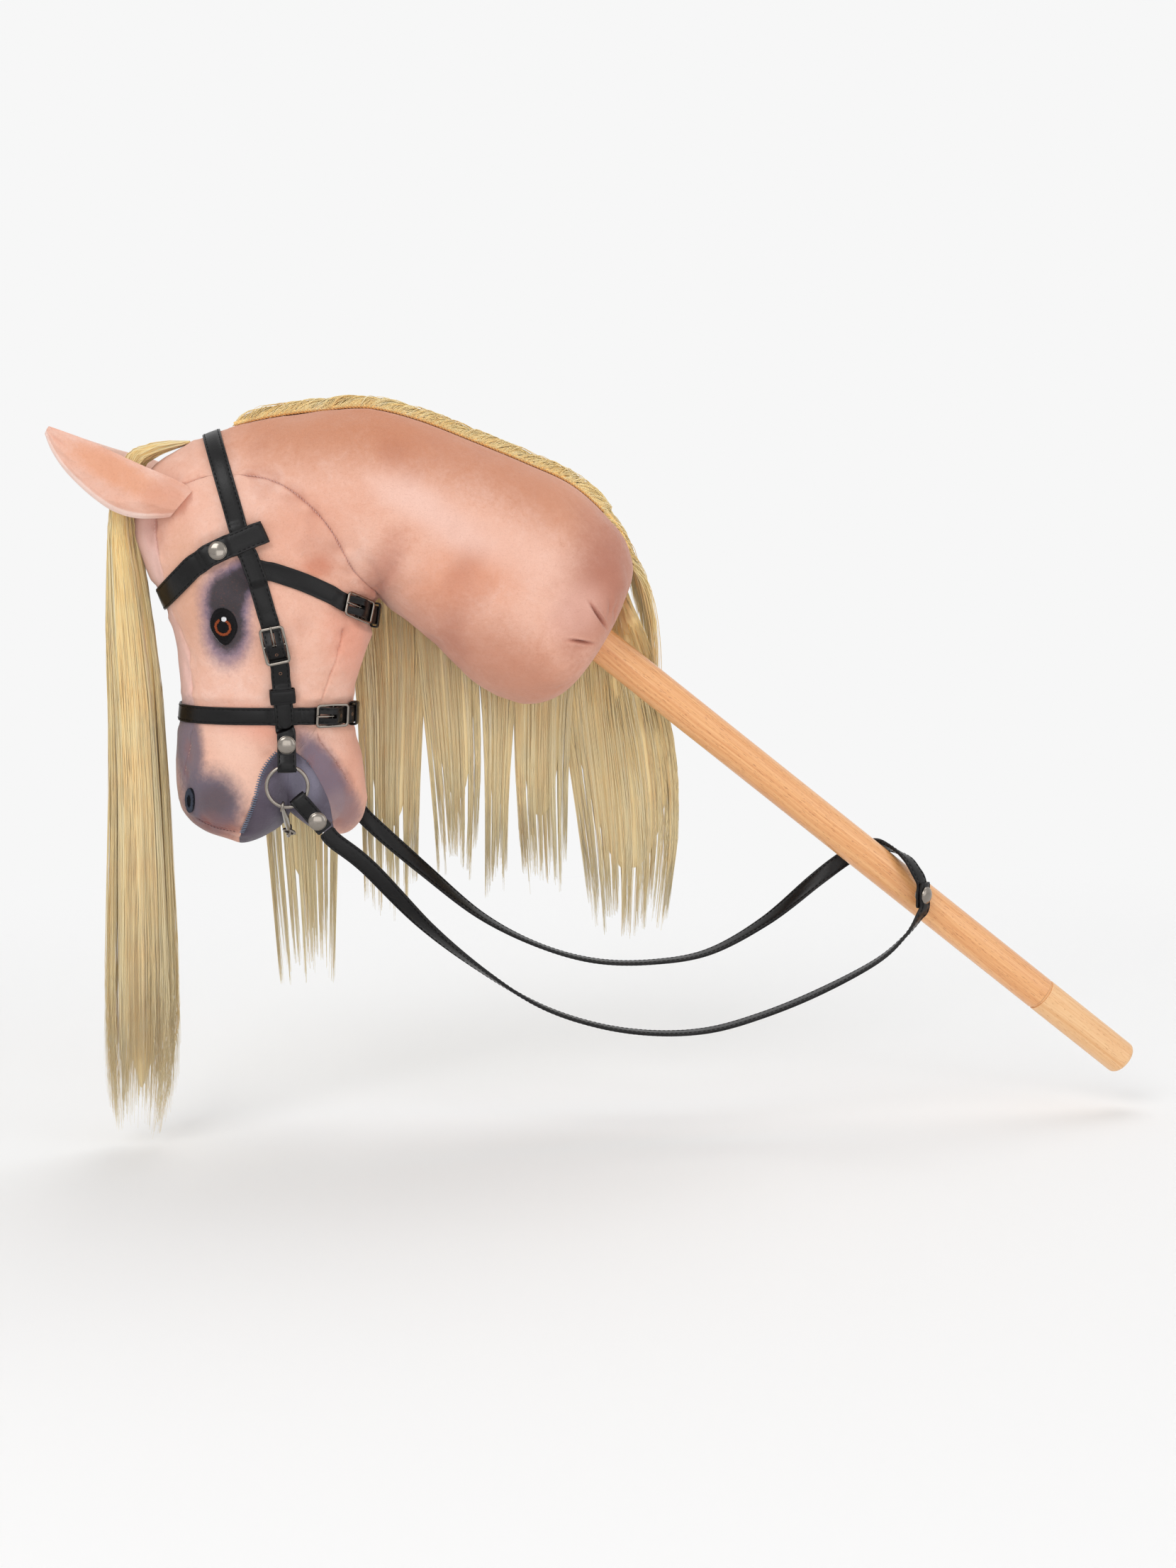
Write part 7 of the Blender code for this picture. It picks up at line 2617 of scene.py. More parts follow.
        self.tools.add_keeper("cheek_keeper", path, at + keeper, z.width, both=True)
        self.add_snap("cheek_snap", path, snap + at)

    def add_throatlatch(self) -> None:
        """The throatlatch, buckled on the left."""
        z, path = SIZES, self.throat
        buckle = Buckle(self.tools, path, path.nearest(*self.throat_buckle), -1, z.width)
        keeper = self.keeper_at["throat"]
        path.straighten(buckle.station - keeper, z.keeper / 2 + 1.0, 5.0)
        start = buckle.station - path.length + 1.0
        billet = buckle.billet(
            [(start, z.layer(1))],
            [*z.over_keeper(keeper, z.keeper_high, z.layer(2)), (keeper + 11.0, z.layer(2))],
        )
        form = carried(path, billet, z.width, pointed=(1.2, 9.0), soften=3)
        self.lay("throatlatch_billet", form)
        self.punch(form, [buckle.station - 5.2, buckle.station + 19.5])
        strap = buckle.loop(
            [*z.over_keeper(keeper, z.keeper_low, z.layer(1)), (buckle.station - 1.0, z.layer(1))],
        )
        self.lay("throatlatch", carried(path, strap, z.width, soften=3))
        buckle.add("throatlatch", both=False)
        self.tools.add_keeper("throatlatch_keeper", path, buckle.station - keeper, z.width, both=False)

    def add_noseband(self) -> None:
        """The noseband: one strap from its buckle under the jaw, round the nose and back."""
        z, path = SIZES, self.nose
        buckle = Buckle(self.tools, path, path.nearest(*self.nose_buckle), 1, z.noseband)
        keeper = self.keeper_at["nose"]
        path.straighten(buckle.station + keeper, z.keeper / 2 + 1.0, 5.0)
        right, left = (
            path.nearest(self.nose_crossing, self.nose_fan[0][1], side) - buckle.station for side in (1, -1)
        )
        near, away = z.width / 2 + 0.9, z.width / 2 + 4.0
        steps = ((-1, away, 1), (-1, near, 2), (1, near, 2), (1, away, 1))
        rounds = [
            (crossing % path.length + side * far, z.layer(k))
            for crossing in (right, left) for side, far, k in steps
        ]
        strap = buckle.loop([*z.over_keeper(keeper, z.keeper_low, z.layer(1)), *sorted(rounds)])
        tail = buckle.billet(
            [], [*z.over_keeper(keeper, z.keeper_high, z.layer(2)), (keeper + 11.0, z.layer(2))], turns=1,
        )
        form = carried(path, strap + tail, z.noseband, pointed=(1.2, 9.0), soften=3)
        self.lay("noseband", form)
        turn = buckle.station + path.length
        self.punch(form, [turn + 5.2, turn + 14.5])
        buckle.add("noseband", both=False)
        self.tools.add_keeper("noseband_keeper", path, buckle.station + keeper, z.noseband, both=False)

    def pressed(self) -> list[tuple[Array, float]]:
        """The lines of the straps on the skin, and half the width that each presses.

        Returns:
            Lines of points, each with its half width.
        """
        nose = self.nose.p[(self.nose.s >= 0) & (self.nose.s <= self.nose.length)]
        return [
            (self.cheek.p, SIZES.width / 2), (self.brow.p, SIZES.browband / 2),
            (self.throat.p, SIZES.width / 2), (nose, SIZES.noseband / 2),
        ]


# Bit and reins

LEFT_REIN_ROUTE = (
    (-223.0, -50.0, -101.0, 0.2, -0.8, -0.3),
    (-184.0, -46.5, -143.0, 0.0, -0.5, -0.7),
    (-145.0, -43.0, -176.0, 0.0, -0.2, -0.9),
    (-106.0, -40.0, -202.0, 0.0, 0.0, -1.0),
    (-66.0, -36.5, -218.0, 0.0, 0.0, -1.0),
    (-25.0, -33.0, -226.0, 0.0, 0.0, -1.0),
    (16.0, -30.0, -226.0, 0.0, 0.0, -1.0),
    (57.0, -27.0, -216.5, 0.1, 0.0, -1.0),
    (99.0, -25.0, -201.0, 0.2, 0.0, -1.0),
    (139.0, -24.0, -181.0, 0.5, -0.1, -0.8),
    (160.0, -23.5, -163.0, 0.7, -0.3, -0.5),
    (170.0, -23.5, -149.0, 0.7, -0.6, -0.2),
)
RIGHT_REIN_ROUTE = (
    (-218.0, 47.0, -83.0, 0.2, 0.8, -0.3),
    (-178.0, 44.0, -119.5, 0.0, 0.5, -0.7),
    (-138.0, 41.0, -153.0, 0.0, 0.2, -0.9),
    (-97.0, 37.5, -175.0, 0.0, 0.0, -1.0),
    (-56.0, 34.0, -187.0, 0.0, 0.0, -1.0),
    (-14.0, 31.0, -188.5, 0.0, 0.0, -1.0),
    (27.0, 28.0, -181.5, 0.0, 0.1, -1.0),
    (68.0, 24.5, -159.0, 0.1, 0.3, -0.9),
    (105.0, 22.0, -129.0, 0.0, 0.7, -0.7),
    (126.0, 21.0, -113.5, -0.2, 0.95, -0.2),
    (140.0, 18.5, -106.0, 0.2, 0.9, 0.3),
    (148.5, 11.0, -102.5, 0.46, 0.67, 0.58),
    (156.5, 0.5, -104.5, 0.62, 0.03, 0.78),
    (163.5, -10.0, -109.5, 0.55, -0.53, 0.6),
    (168.0, -17.5, -117.5, 0.6, -0.75, 0.25),
)


@dataclass
class Bit:
    """The loose-ring snaffle: two rings, and arms with eyes round them and loops that link in the mouth."""

    tools: Hardware
    ring_centre: Triple = (-276.197, -49.273, -45.5)
    ring_radius: float = 13.75
    ring_wire: float = 2.5
    eye_wire: float = 2.0
    arm: float = 4.2
    link_radius: float = 3.9
    middle: Pair = (-275.0, -82.5)
    eye_angle: float = math.radians(-105.0)

    def centre(self, side: Side) -> Array:
        """The middle of a ring."""
        return side.turn(np.array(self.ring_centre))

    def ring(self, mesher: Mesher, side: Side) -> Mesher:
        """A ring of round wire.

        Args:
            mesher: Where it goes.
            side: The toy's side.

        Returns:
            The mesher.
        """
        return mesher.hoop(torus(self.centre(side), (0, 1, 0), self.ring_radius, self.ring_wire, 128, 20))

    def arm_of(self, mesher: Mesher, side: Side) -> Mesher:
        """An eye round the ring's wire, a bar that swells in its middle, and half of the middle link.

        Args:
            mesher: Where it goes.
            side: The toy's side.

        Returns:
            The mesher.
        """
        a = self.eye_angle
        radial = np.array([math.cos(a), 0.0, math.sin(a)])
        tangent = np.array([-math.sin(a), 0.0, math.cos(a)])
        centre = self.centre(side) + radial * self.ring_radius
        reach = (self.ring_wire + self.eye_wire) / 2 + SIZES.clearance
        link = side_view(self.middle) + np.array([0.0, np.sign(centre[1]) * self.link_radius / 2, 0.0])
        towards = unit(link - centre)
        start = centre + towards * (reach - 0.3)
        length = np.linalg.norm(link - start) - self.link_radius + 0.3
        share = np.linspace(0.0, 1.0, 28)
        swell = np.sin(math.pi * share) ** 0.42
        radius = self.eye_wire / 2 * 0.95 + (self.arm - self.eye_wire) / 2 * swell
        bar = lathe(np.stack([share * length, radius], axis=1), start, towards, 28)
        axis = radial if side is Side.LEFT else tangent
        axis = unit(axis - np.dot(axis, towards) * towards)
        mesher.hoop(torus(centre, tangent, reach, self.eye_wire, 48, 16))
        mesher.rod(bar)
        return mesher.hoop(torus(link, axis, self.link_radius, self.eye_wire, 48, 16))

    def add(self) -> None:
        """Both rings and both arms."""
        self.tools.pair("bit_ring", self.ring, self.tools.metal, slot="nickel")
        self.tools.pair("bit_arm", self.arm_of, self.tools.metal, slot="nickel")


@dataclass
class Reins:
    """Both reins: folded loops snapped round the bit's rings, and the reins from them to the stick."""

    tools: Hardware
    bit: Bit
    width: float = 11.5
    thickness: float = 2.0
    snap_from_ring: float = 17.0
    loop_length: float = 25.0
    ring_sag: float = 1.55
    loop_angle: dict[Side, float] = field(default_factory=lambda: {Side.LEFT: -50.0, Side.RIGHT: -25.0})
    end_snap: Triple = (172.5, -21.5, -134.5)
    end_facing: Triple = (0.68, -0.73, 0.0)
    tail: float = 9.0

    @property
    def apart(self) -> float:
        """Half the distance between the middles of two rein layers."""
        return (self.thickness + SIZES.layer_gap) / 2

    def loop_path(self, side: Side) -> StraightPath:
        """The line on which a loop lies, from the ring's wire outwards.

        Args:
            side: The toy's side.

        Returns:
            The line.
        """
        a = math.radians(self.loop_angle[side])
        radial = np.array([math.cos(a), 0.0, math.sin(a)])
        place = self.bit.centre(side) + radial * self.bit.ring_radius
        return StraightPath(place, radial, np.array([0.0, float(side.value), 0.0]))

    def loop(self, side: Side) -> StrapForm:
        """The rein's end, folded round the ring and back to its snap.

        Args:
            side: The toy's side.

        Returns:
            The strap's form.
        """
        z, apart = SIZES, self.apart
        radius = self.bit.ring_wire / 2 + z.clearance + self.thickness / 2
        near, clear = self.snap_from_ring - z.snap / 2 - 1.0, self.bit.ring_wire / 2 + 1.0
        profile = [
            (self.loop_length, -apart), *z.snap_hole(self.snap_from_ring, -apart, -1),
            (near, -apart), (clear, -radius),
            *arc(-self.ring_sag, 0.0, radius, 270, 90), (clear, radius), (near, apart),
            *z.snap_hole(self.snap_from_ring, apart), (self.loop_length, apart),
        ]
        return carried(self.loop_path(side), profile, self.width, self.thickness, soften=3)

    def rein(self, side: Side) -> StrapForm:
        """The free rein: the smooth curve through its route, twisting as the route's outward directions do.

        Args:
            side: The toy's side.

        Returns:
            The strap's form.
        """
        path = self.loop_path(side)
        start = path.at(self.loop_length + 3 * SIZES.layer_gap, self.apart)
        facing = unit(np.array(self.end_facing))
        end = np.array(self.end_snap) - facing * (self.apart + SIZES.layer_gap) * side.value
        rise = np.array([0.0, 0.0, -float(side.value)])
        half = SIZES.slot / 2
        full = [
            *((*(start + path.along * step), *path.out) for step in (0.0, 9.0)),
            *(LEFT_REIN_ROUTE if side is Side.LEFT else RIGHT_REIN_ROUTE),
            *((*(end + rise * step), *facing) for step in (-self.tail, -half, half, self.tail)),
        ]
        rows = respaced(catmull_rom(full, 16), 1.6)
        middle = rows[:, :3]
        along = unit(np.gradient(middle, axis=0))
        out = square_to(rows[:, 3:], along)
        away = np.linalg.norm((middle[1:] + middle[:-1]) / 2 - end, axis=1)
        return StrapForm(middle, along, out, self.width, self.thickness, away < half + 0.4)

    def add(self) -> None:
        """The loops, the snaps, and the reins, with their stitches."""
        tools, reach = self.tools, self.apart + self.thickness / 2
        rows = []
        for side in Side:
            loop, form, path = self.loop(side), self.rein(side), self.loop_path(side)
            node = f"rein_loop_{side.word}"
            loop.add_to(Mesher()).piece(f"{node}_strap", tools.leather, 50.0, (node,), "leather")
            rows += loop.stitches(faces=(1, -1))
            snap = tools.snap(path.at(self.snap_from_ring, 0.0), path.out, -reach, reach)
            node = f"rein_snap_{side.word}"
            Mesher().rod(snap).piece(f"{node}_piece", tools.metal, 35.0, (node,), "nickel")
            node = f"rein_{side.word}"
            rein = form.add_to(Mesher()).piece(f"{node}_strap", tools.leather, 50.0, (node,), "leather")
            seam = stitched(Mesher(), form.stitches(faces=(1, -1))).piece(f"{node}_stitches", tools.thread)
            form.middle[0] * MM
            form.station[-1] * MM
            self.width * MM
            (form.middle * MM).tolist()
        facing = unit(np.array(self.end_facing))
        reach += SIZES.layer_gap
        snap = tools.snap(np.array(self.end_snap), facing, -reach, reach)
        Mesher().rod(snap).piece(
            "rein_end_snap_piece", tools.metal, 35.0, ("rein_end_snap",), "nickel"
        )
        stitched(Mesher(), rows).piece("rein_loop_stitches", tools.thread)


@dataclass
class Stick:
    """The round beech stick and its end piece with the groove between them."""

    form: StuffedForm
    radius: float = 12.5
    in_neck: float = 105.0
    joint: float = 343.0
    edge: float = 0.8
    tip_length: float = 84.0
    tip_rounding: float = 4.5
    groove: Pair = (1.7, 1.2)
    tenon: Pair = (16.0, 30.0)
    sides: int = 128

    def add(self, wood: bpy.types.Material, pale: bpy.types.Material) -> None:
        """Both pieces, turned round the stick's axis.

        Args:
            wood: Finish of the stick.
            pale: Finish of the end piece.
        """
        axis, _ = self.form.axes()
        top, r, e = -self.form.neck_exit - self.in_neck, self.radius, self.edge
        bore, depth = self.tenon[0] / 2 + SIZES.clearance, self.tenon[1]
        bend = np.radians(np.linspace(0.0, 90.0, 6))
        rounded = np.stack([self.joint - e + e * np.sin(bend), r - e + e * np.cos(bend)], axis=1)
        shaft = np.linspace(top + 3 * e, self.joint - e, 60)
        stick = np.vstack([
            [(top, 1.0), (top, r - 3 * e)], np.stack([shaft, np.full(60, r)], axis=1), rounded,
            [
                (self.joint, bore), (self.joint - depth - SIZES.clearance, bore),
                (self.joint - depth - SIZES.clearance, 1.0),
            ],
        ])
        Mesher().rod(lathe(stick, (0, 0, 0), axis, self.sides)).piece(
            "stick_shaft", wood, 35.0, ("stick",), "lacquered_beech"
        )
        end, shoulder = self.joint + self.tip_length, self.joint + self.groove[0]
        neck, tenon, t = r - self.groove[1], self.tenon[0] / 2, self.tip_rounding
        bend = np.radians(np.linspace(0.0, 90.0, 14))
        rounded = np.stack([end - t * (1 - np.sin(bend)), r - t * (1 - np.cos(bend))], axis=1)
        turn = np.radians(np.linspace(90.0, 0.0, 5))
        near = np.stack([shoulder + e / 2 - e / 2 * np.sin(turn), r - e / 2 + e / 2 * np.cos(turn)], axis=1)
        tip = np.vstack([
            [(self.joint - depth, 1.0), (self.joint - depth, tenon - e), (self.joint - depth + e, tenon),
             (self.joint + SIZES.clearance, tenon), (self.joint + SIZES.clearance, neck), (shoulder, neck)],
            near, rounded, [(end, 1.0)],
        ])
        Mesher().rod(lathe(tip, (0, 0, 0), axis, self.sides)).piece(
            "stick_end_piece", pale, 35.0, ("stick_end",), "plain_beech"
        )


# Ears and embroidery


@dataclass
class Ears:
    """Two cupped, padded leaves: plush outside, paler lining inside and in a strip round the lower edge."""

    form: StuffedForm
    thickness: float = 8.0
    cup: float = 6.5
    root_y: float = -38.0
    tip_y: float = -44.0
    rows: int = 110
    columns: int = 96
    strip: float = 4.2
    seam_depth: float = 0.9
    seam_width: float = 1.1
    allowance: float = 0.75
    right_rise: float = 7.0
    # From the root to the tip: upper edge x, z; lower edge x, z
    edges: tuple[tuple[float, float, float, float], ...] = (
        (-334.0, 152.0, -350.0, 133.5),
        (-345.0, 158.0, -361.5, 132.8),
        (-357.5, 163.4, -374.0, 133.4),
        (-371.0, 169.4, -386.5, 137.6),
        (-384.5, 175.8, -397.5, 145.0),
        (-397.5, 181.8, -408.0, 154.4),
        (-409.5, 186.6, -417.5, 165.0),
        (-419.0, 190.2, -424.8, 176.8),
        (-426.0, 192.6, -428.8, 187.6),
    )

    def leaf(self, side: Side) -> tuple[Array, Array]:
        """An ear's rings, and how far each point lies within the lining, in millimetres.

        Round a ring of angle a, cos a runs from the lower to the upper edge, sin a is 1 outside and -1
        inside, and the cup is sin^2 a. The right ear is set a little higher at its root.

        Args:
            side: Which ear.

        Returns:
            The points, and the distances within the lining.
        """
        edges = respaced(catmull_rom(self.edges, 8), 0.8)
        part = np.linspace(0.0, 1.0, len(edges))
        if side is Side.RIGHT:
            edges[:, 1] += self.right_rise * bell((part - 0.3) / 0.3)
        angle = turns(self.columns)
        upper, lower = edges[:, 0:2], edges[:, 2:4]
        middle, half = (upper + lower) / 2, (upper - lower) / 2
        wide = np.linalg.norm(half, axis=1)[:, None]
        cosine, sine = np.cos(angle)[None], np.sin(angle)[None]
        cosine = powered(cosine, 0.86)
        flat = middle[:, None] + half[:, None] * cosine[..., None]
        tip = np.sqrt(np.clip((1 - part) / 0.10, 0.0, 1.0))[:, None]
        thickness = self.thickness * (1 - 0.5 * part[:, None]) * (0.35 + 0.65 * tip)
        cup = self.cup * np.sqrt(1 - part[:, None] ** 2 * 0.9)
        from_edge = wide * (1 + cosine)
        inside = np.where(sine < 0, 3.0, self.strip * (1 - 0.3 * part[:, None]) - from_edge)
        seam = bell(inside / self.seam_width) * (sine > 0)
        top_seam = bell((wide * (1 - cosine) - 1.2) / 0.8) * (sine > 0)
        fold = np.cos(angle[None] * 7.0 + 2.0 * part[:, None]) * bell(part[:, None] / 0.24) * 0.7
        crease = bell(((flat[..., 0] + 346.5) * 0.5 + (flat[..., 1] - 155.5) * 0.85) / 1.6)
        crease = crease * bell((part[:, None] - 0.16) / 0.12) * (sine > 0) * 1.2
        place = np.stack([flat[..., 0], flat[..., 1], cosine * 40.0 + part[:, None] * 9.0], axis=-1)
        swell = lumps(place, 26.0, 31) * 0.5 + lumps(place, 9.0, 32) * 0.12
        depth = thickness / 2 * powered(sine, 0.75)
        depth = depth + np.sign(sine) * (swell + fold) * np.abs(sine)
        depth -= self.seam_depth * seam + 0.45 * top_seam + crease
        y = self.root_y + (self.tip_y - self.root_y) * part[:, None] - cup * sine**2 - depth
        return side.turn(np.stack([flat[..., 0], y, flat[..., 1]], axis=-1)), inside

    def cutter(self) -> bpy.types.Mesh:
        """The stuffed body grown by the plush's height, against which the ears lie.

        Returns:
            Its mesh.
        """
        grid = self.form.grid(6, 96, 16)
        run = np.gradient(grid, axis=0)
        round_it = np.roll(grid, -1, axis=1) - np.roll(grid, 1, axis=1)
        normal = unit(np.cross(run, round_it))
        middle = grid.mean(axis=1, keepdims=True)
        normal *= np.sign(np.sum(normal * (grid - middle), axis=-1, keepdims=True))
        return as_mesh("ear_cutter", Mesher().rod(grid + normal * self.allowance), 0.02)

    def add(self, plush: bpy.types.Material) -> None:
        """Both ears, cut where they are sewn to the head.

        Args:
            plush: Their finish.
        """
        for side in Side:
            points, inside = self.leaf(side)
            mesh = as_mesh("ear", Mesher().rod(points))
            mark = mesh.attributes.new("gusset", "FLOAT", "POINT")
            share = smooth_step(inside.ravel() / 0.6 + 0.5)
            mark.data.foreach_set("value", np.concatenate([share, [0.0, 0.0]]).astype(np.float32))
            made = cut(mesh, self.cutter(), "DIFFERENCE")
            made.polygons.foreach_set("material_index", np.zeros(len(made.polygons), np.int32))
            node = f"ear_{side.word}"
            finished(f"{node}_plush", made, plush, 60.0, (node,))


Height = Callable[[Array, Array], Array]
Outline = Callable[[Array], Array]


class Patch:
    """A small stretch of the left skin in flat coordinates: forwards, upwards, and outwards."""

    def __init__(self, skin: Skin, centre: Pair, reach: float) -> None:
        """Fits a smooth cubic surface to rays on the skin.

        Args:
            skin: The skin.
            centre: The patch's middle, x, z.
            reach: How far it reaches.
        """
        self.place, self.normal = skin.hit(side_view(centre, -Skin.far), ASIDE)
        self.forwards = unit(np.cross(self.normal, UP))
        self.upwards = np.cross(self.forwards, self.normal)
        steps = np.linspace(-reach, reach, 9)
        spots = [(a, b) for a in steps for b in steps]
        rays = [self.place + self.forwards * a + self.upwards * b + self.normal * 25.0 for a, b in spots]
        heights = [float(np.dot(skin.hit(ray, -self.normal)[0] - self.place, self.normal)) for ray in rays]
        a, b = np.array(spots).T
        self.fit = np.linalg.lstsq(self.terms(a, b), np.array(heights), rcond=None)[0]

    def terms(self, a: Array, b: Array) -> Array:
        """All products of a and b up to the third power."""
        return np.stack([a**i * b**j for i in range(4) for j in range(4 - i)], axis=-1)

    def at(self, a: Array, b: Array, height: Array | float) -> Array:
        """Points of the patch at a height over the skin.

        Args:
            a: Forwards.
            b: Upwards.
            height: Over the skin.

        Returns:
            The points.
        """
        a, b, height = np.broadcast_arrays(a, b, height)
        out = self.terms(a, b) @ self.fit + height
        flat = a[..., None] * self.forwards + b[..., None] * self.upwards
        return self.place + flat + out[..., None] * self.normal

    def threads(self, start: Array, end: Array, height: Height, size: float, over: float = 0.0) -> Array:
        """Frames of stitches between flat points, laid on a height.

        Args:
            start: Flat places a, b where they start.
            end: Where they end.
            height: Gives the height under a, b.
            size: Thickness of the thread.
            over: How far over that height they lie.

        Returns:
            Rows of place, half length, half height and half width.
        """
        first, place, last = (self.at(*p.T, height(*p.T) + over) for p in (start, (start + end) / 2, end))
        half = (last - first) / 2
        out = np.broadcast_to(self.normal, half.shape)
        return np.stack([place, half, out * size / 2, unit(np.cross(half, out)) * size / 2], axis=1)


@dataclass
class Embroidery:
    """Embroidered eyes and nostrils: domed pads covered with satin stitches."""

    skin: Skin
    eye_centre: Pair = (-316.0, 62.0)
    eye_size: Pair = (18.8, 25.5)
    eye_rise: float = 1.1
    nostril_centre: Pair = (-341.0, -57.0)
    nostril_size: Pair = (8.5, 20.0)
    nostril_slant: float = math.radians(24.0)
    lift: float = 0.35
    edge: float = 0.35
    thread: float = 0.46
    lean: float = 0.05  # radians by which a stitch's outer end runs ahead
    seed: int = 21

    def __post_init__(self) -> None:
        """Fits the patches of skin."""
        self.eye = Patch(self.skin, self.eye_centre, 13.0)
        self.nostril = Patch(self.skin, self.nostril_centre, 9.0)
        self.random = np.random.default_rng(self.seed)

    def eye_edge(self, angle: Array) -> Array:
        """The eye's outline: an ellipse that is narrower below."""
        width = self.eye_size[0] / 2 * (1 - 0.28 * smooth_step(-np.sin(angle)))
        return np.stack([width * np.cos(angle), self.eye_size[1] / 2 * np.sin(angle)], axis=-1)

    def nostril_edge(self, angle: Array) -> Array:
        """The nostril's outline: a slanting ellipse.

        Args:
            angle: Angles round it.

        Returns:
            Flat places a, b.
        """
        c, s = math.cos(self.nostril_slant), math.sin(self.nostril_slant)
        a, b = (size / 2 * f for size, f in zip(self.nostril_size, (np.cos(angle), np.sin(angle))))
        return np.stack([a * c - b * s, a * s + b * c], axis=-1)

    def eye_share(self, a: Array, b: Array) -> Array:
        """How far out a place lies, from 0 at the middle to 1 at the outline."""
        angle = np.arctan2(b / self.eye_size[1], a / self.eye_size[0])
        return np.hypot(a, b) / np.linalg.norm(self.eye_edge(angle), axis=-1)

    def eye_height(self, a: Array, b: Array) -> Array:
        """Height of the eye's dome."""
        return self.lift + self.edge + self.eye_rise * (1 - np.minimum(self.eye_share(a, b), 1.0) ** 2.4)

    def lid_height(self, a: Array, b: Array) -> Array:
        """The same low height everywhere, for the rim of the lower lid."""
        return np.full(np.shape(a), self.lift + 0.3)

    def nostril_height(self, a: Array, b: Array) -> Array:
        """Height of the nostril: a rolled rim round a sunken middle.

        Args:
            a: Forwards.
            b: Upwards.

        Returns:
            The height.
        """
        c, s = math.cos(self.nostril_slant), math.sin(self.nostril_slant)
        u, v = (a * c + b * s) / self.nostril_size[0], (b * c - a * s) / self.nostril_size[1]
        share = 2 * np.hypot(u, v)
        return self.lift + self.edge + 1.1 * bell((share - 0.74) / 0.24)

    def pad(self, patch: Patch, outline: Outline, height: Height) -> Array:
        """A closed pad: flat below, and above as the height says.

        Args:
            patch: The stretch of skin.
            outline: Gives the outline at an angle.
            height: Gives the height.

        Returns:
            Points of rows and columns.
        """
        share = np.linspace(0.04, 0.985, 16)
        flat = outline(turns(72))[None] * np.concatenate([share, share[::-1]])[:, None, None]
        below, above = np.split(flat, 2)
        below, above = np.full(below.shape[:2], self.lift), height(above[..., 0], above[..., 1]) - 0.12
        return patch.at(flat[..., 0], flat[..., 1], np.concatenate([below, above]))

    def satin(self, patch: Patch, outline: Outline, height: Height, shares: Pair,
              angles: Pair = (0.0, 360.0), ragged: float = 0.04, over: float = 0.0) -> Array:
        """Stitches side by side across a band that follows an outline.

        Args:
            patch: The stretch of skin.
            outline: Gives the outline at an angle.
            height: Gives the height.
            shares: Where the band starts and ends, as shares of the outline.
            angles: Degrees from and to.
            ragged: How far the stitches' ends vary, as a share.
            over: How far over the height they lie.

        Returns:
            The frames.
        """
        fine = np.radians(np.linspace(*angles, 400))
        length = lengths_along(outline(fine)) * shares[1]
        marks = np.interp(np.arange(0.0, length[-1], self.thread * 0.8), length, fine)
        inner, outer = (share + ragged * self.random.uniform(-1, 1, len(marks)) for share in shares)
        start = outline(marks) * inner[:, None]
        end = outline(marks + self.lean) * np.minimum(outer, 1.03)[:, None]
        return patch.threads(start, end, height, self.thread, over + 0.05)

    def fill(self) -> Array:
        """Rows of short stitches over the middle of the eye.

        Returns:
            The stitches' frames.
        """
        spots = []
        for number, b in enumerate(np.arange(-9.5, 10.0, self.thread * 0.85)):
            a = np.arange(-8.0, 8.0, 3.1) + (number * 1.3) % 3.1
            spots.append(np.stack([a, np.full(len(a), b)], axis=1))
        start = np.concatenate(spots) + self.random.uniform(-0.2, 0.2, (sum(map(len, spots)), 2))
        end = start + [3.2, 0.25]
        keep = (self.eye_share(*start.T) < 0.8) & (self.eye_share(*end.T) < 0.8)
        return self.eye.threads(start[keep], end[keep], self.eye_height, self.thread)

    def iris(self, angle: Array) -> Array:
        """The round iris's outer edge, round the patch's middle."""
        return np.stack([5.9 * np.cos(angle) + 0.3, 5.9 * np.sin(angle) - 0.2], axis=-1)

    def glint(self) -> Array:
        """A few white stitches over the pupil.

        Returns:
            The stitches' frames.
        """
        across = np.arange(-1.5, 1.6, self.thread * 0.8)
        half = 1.7 * np.sqrt(1 - (across / 1.9) ** 2)
        start, end = (np.stack([across - 1.1, 5.4 + k * half], axis=1) for k in (-1, 1))
        return self.eye.threads(start, end, self.eye_height, self.thread, 0.32)

    def pressed(self) -> list[tuple[Array, float]]:
        """Lines in the middle of the pads, mirrored too, and half the width that each presses.

        Returns:
            Lines of points, each with its half width.
        """
        rows = []
        for patch, outline, half in ((self.eye, self.eye_edge, 8.4), (self.nostril, self.nostril_edge, 3.9)):
            ends = outline(np.radians([90.0, -90.0]))
            length = np.linalg.norm(ends[0])
            line = ends[:1] + (ends[1:] - ends[:1]) * np.linspace(0.0, 1.0, 9)[:, None]
            line *= (length - half) / length
            places = patch.at(line[:, 0], line[:, 1], 0.0)
            rows += [(places, half), (mirrored(places), half)]
        return rows

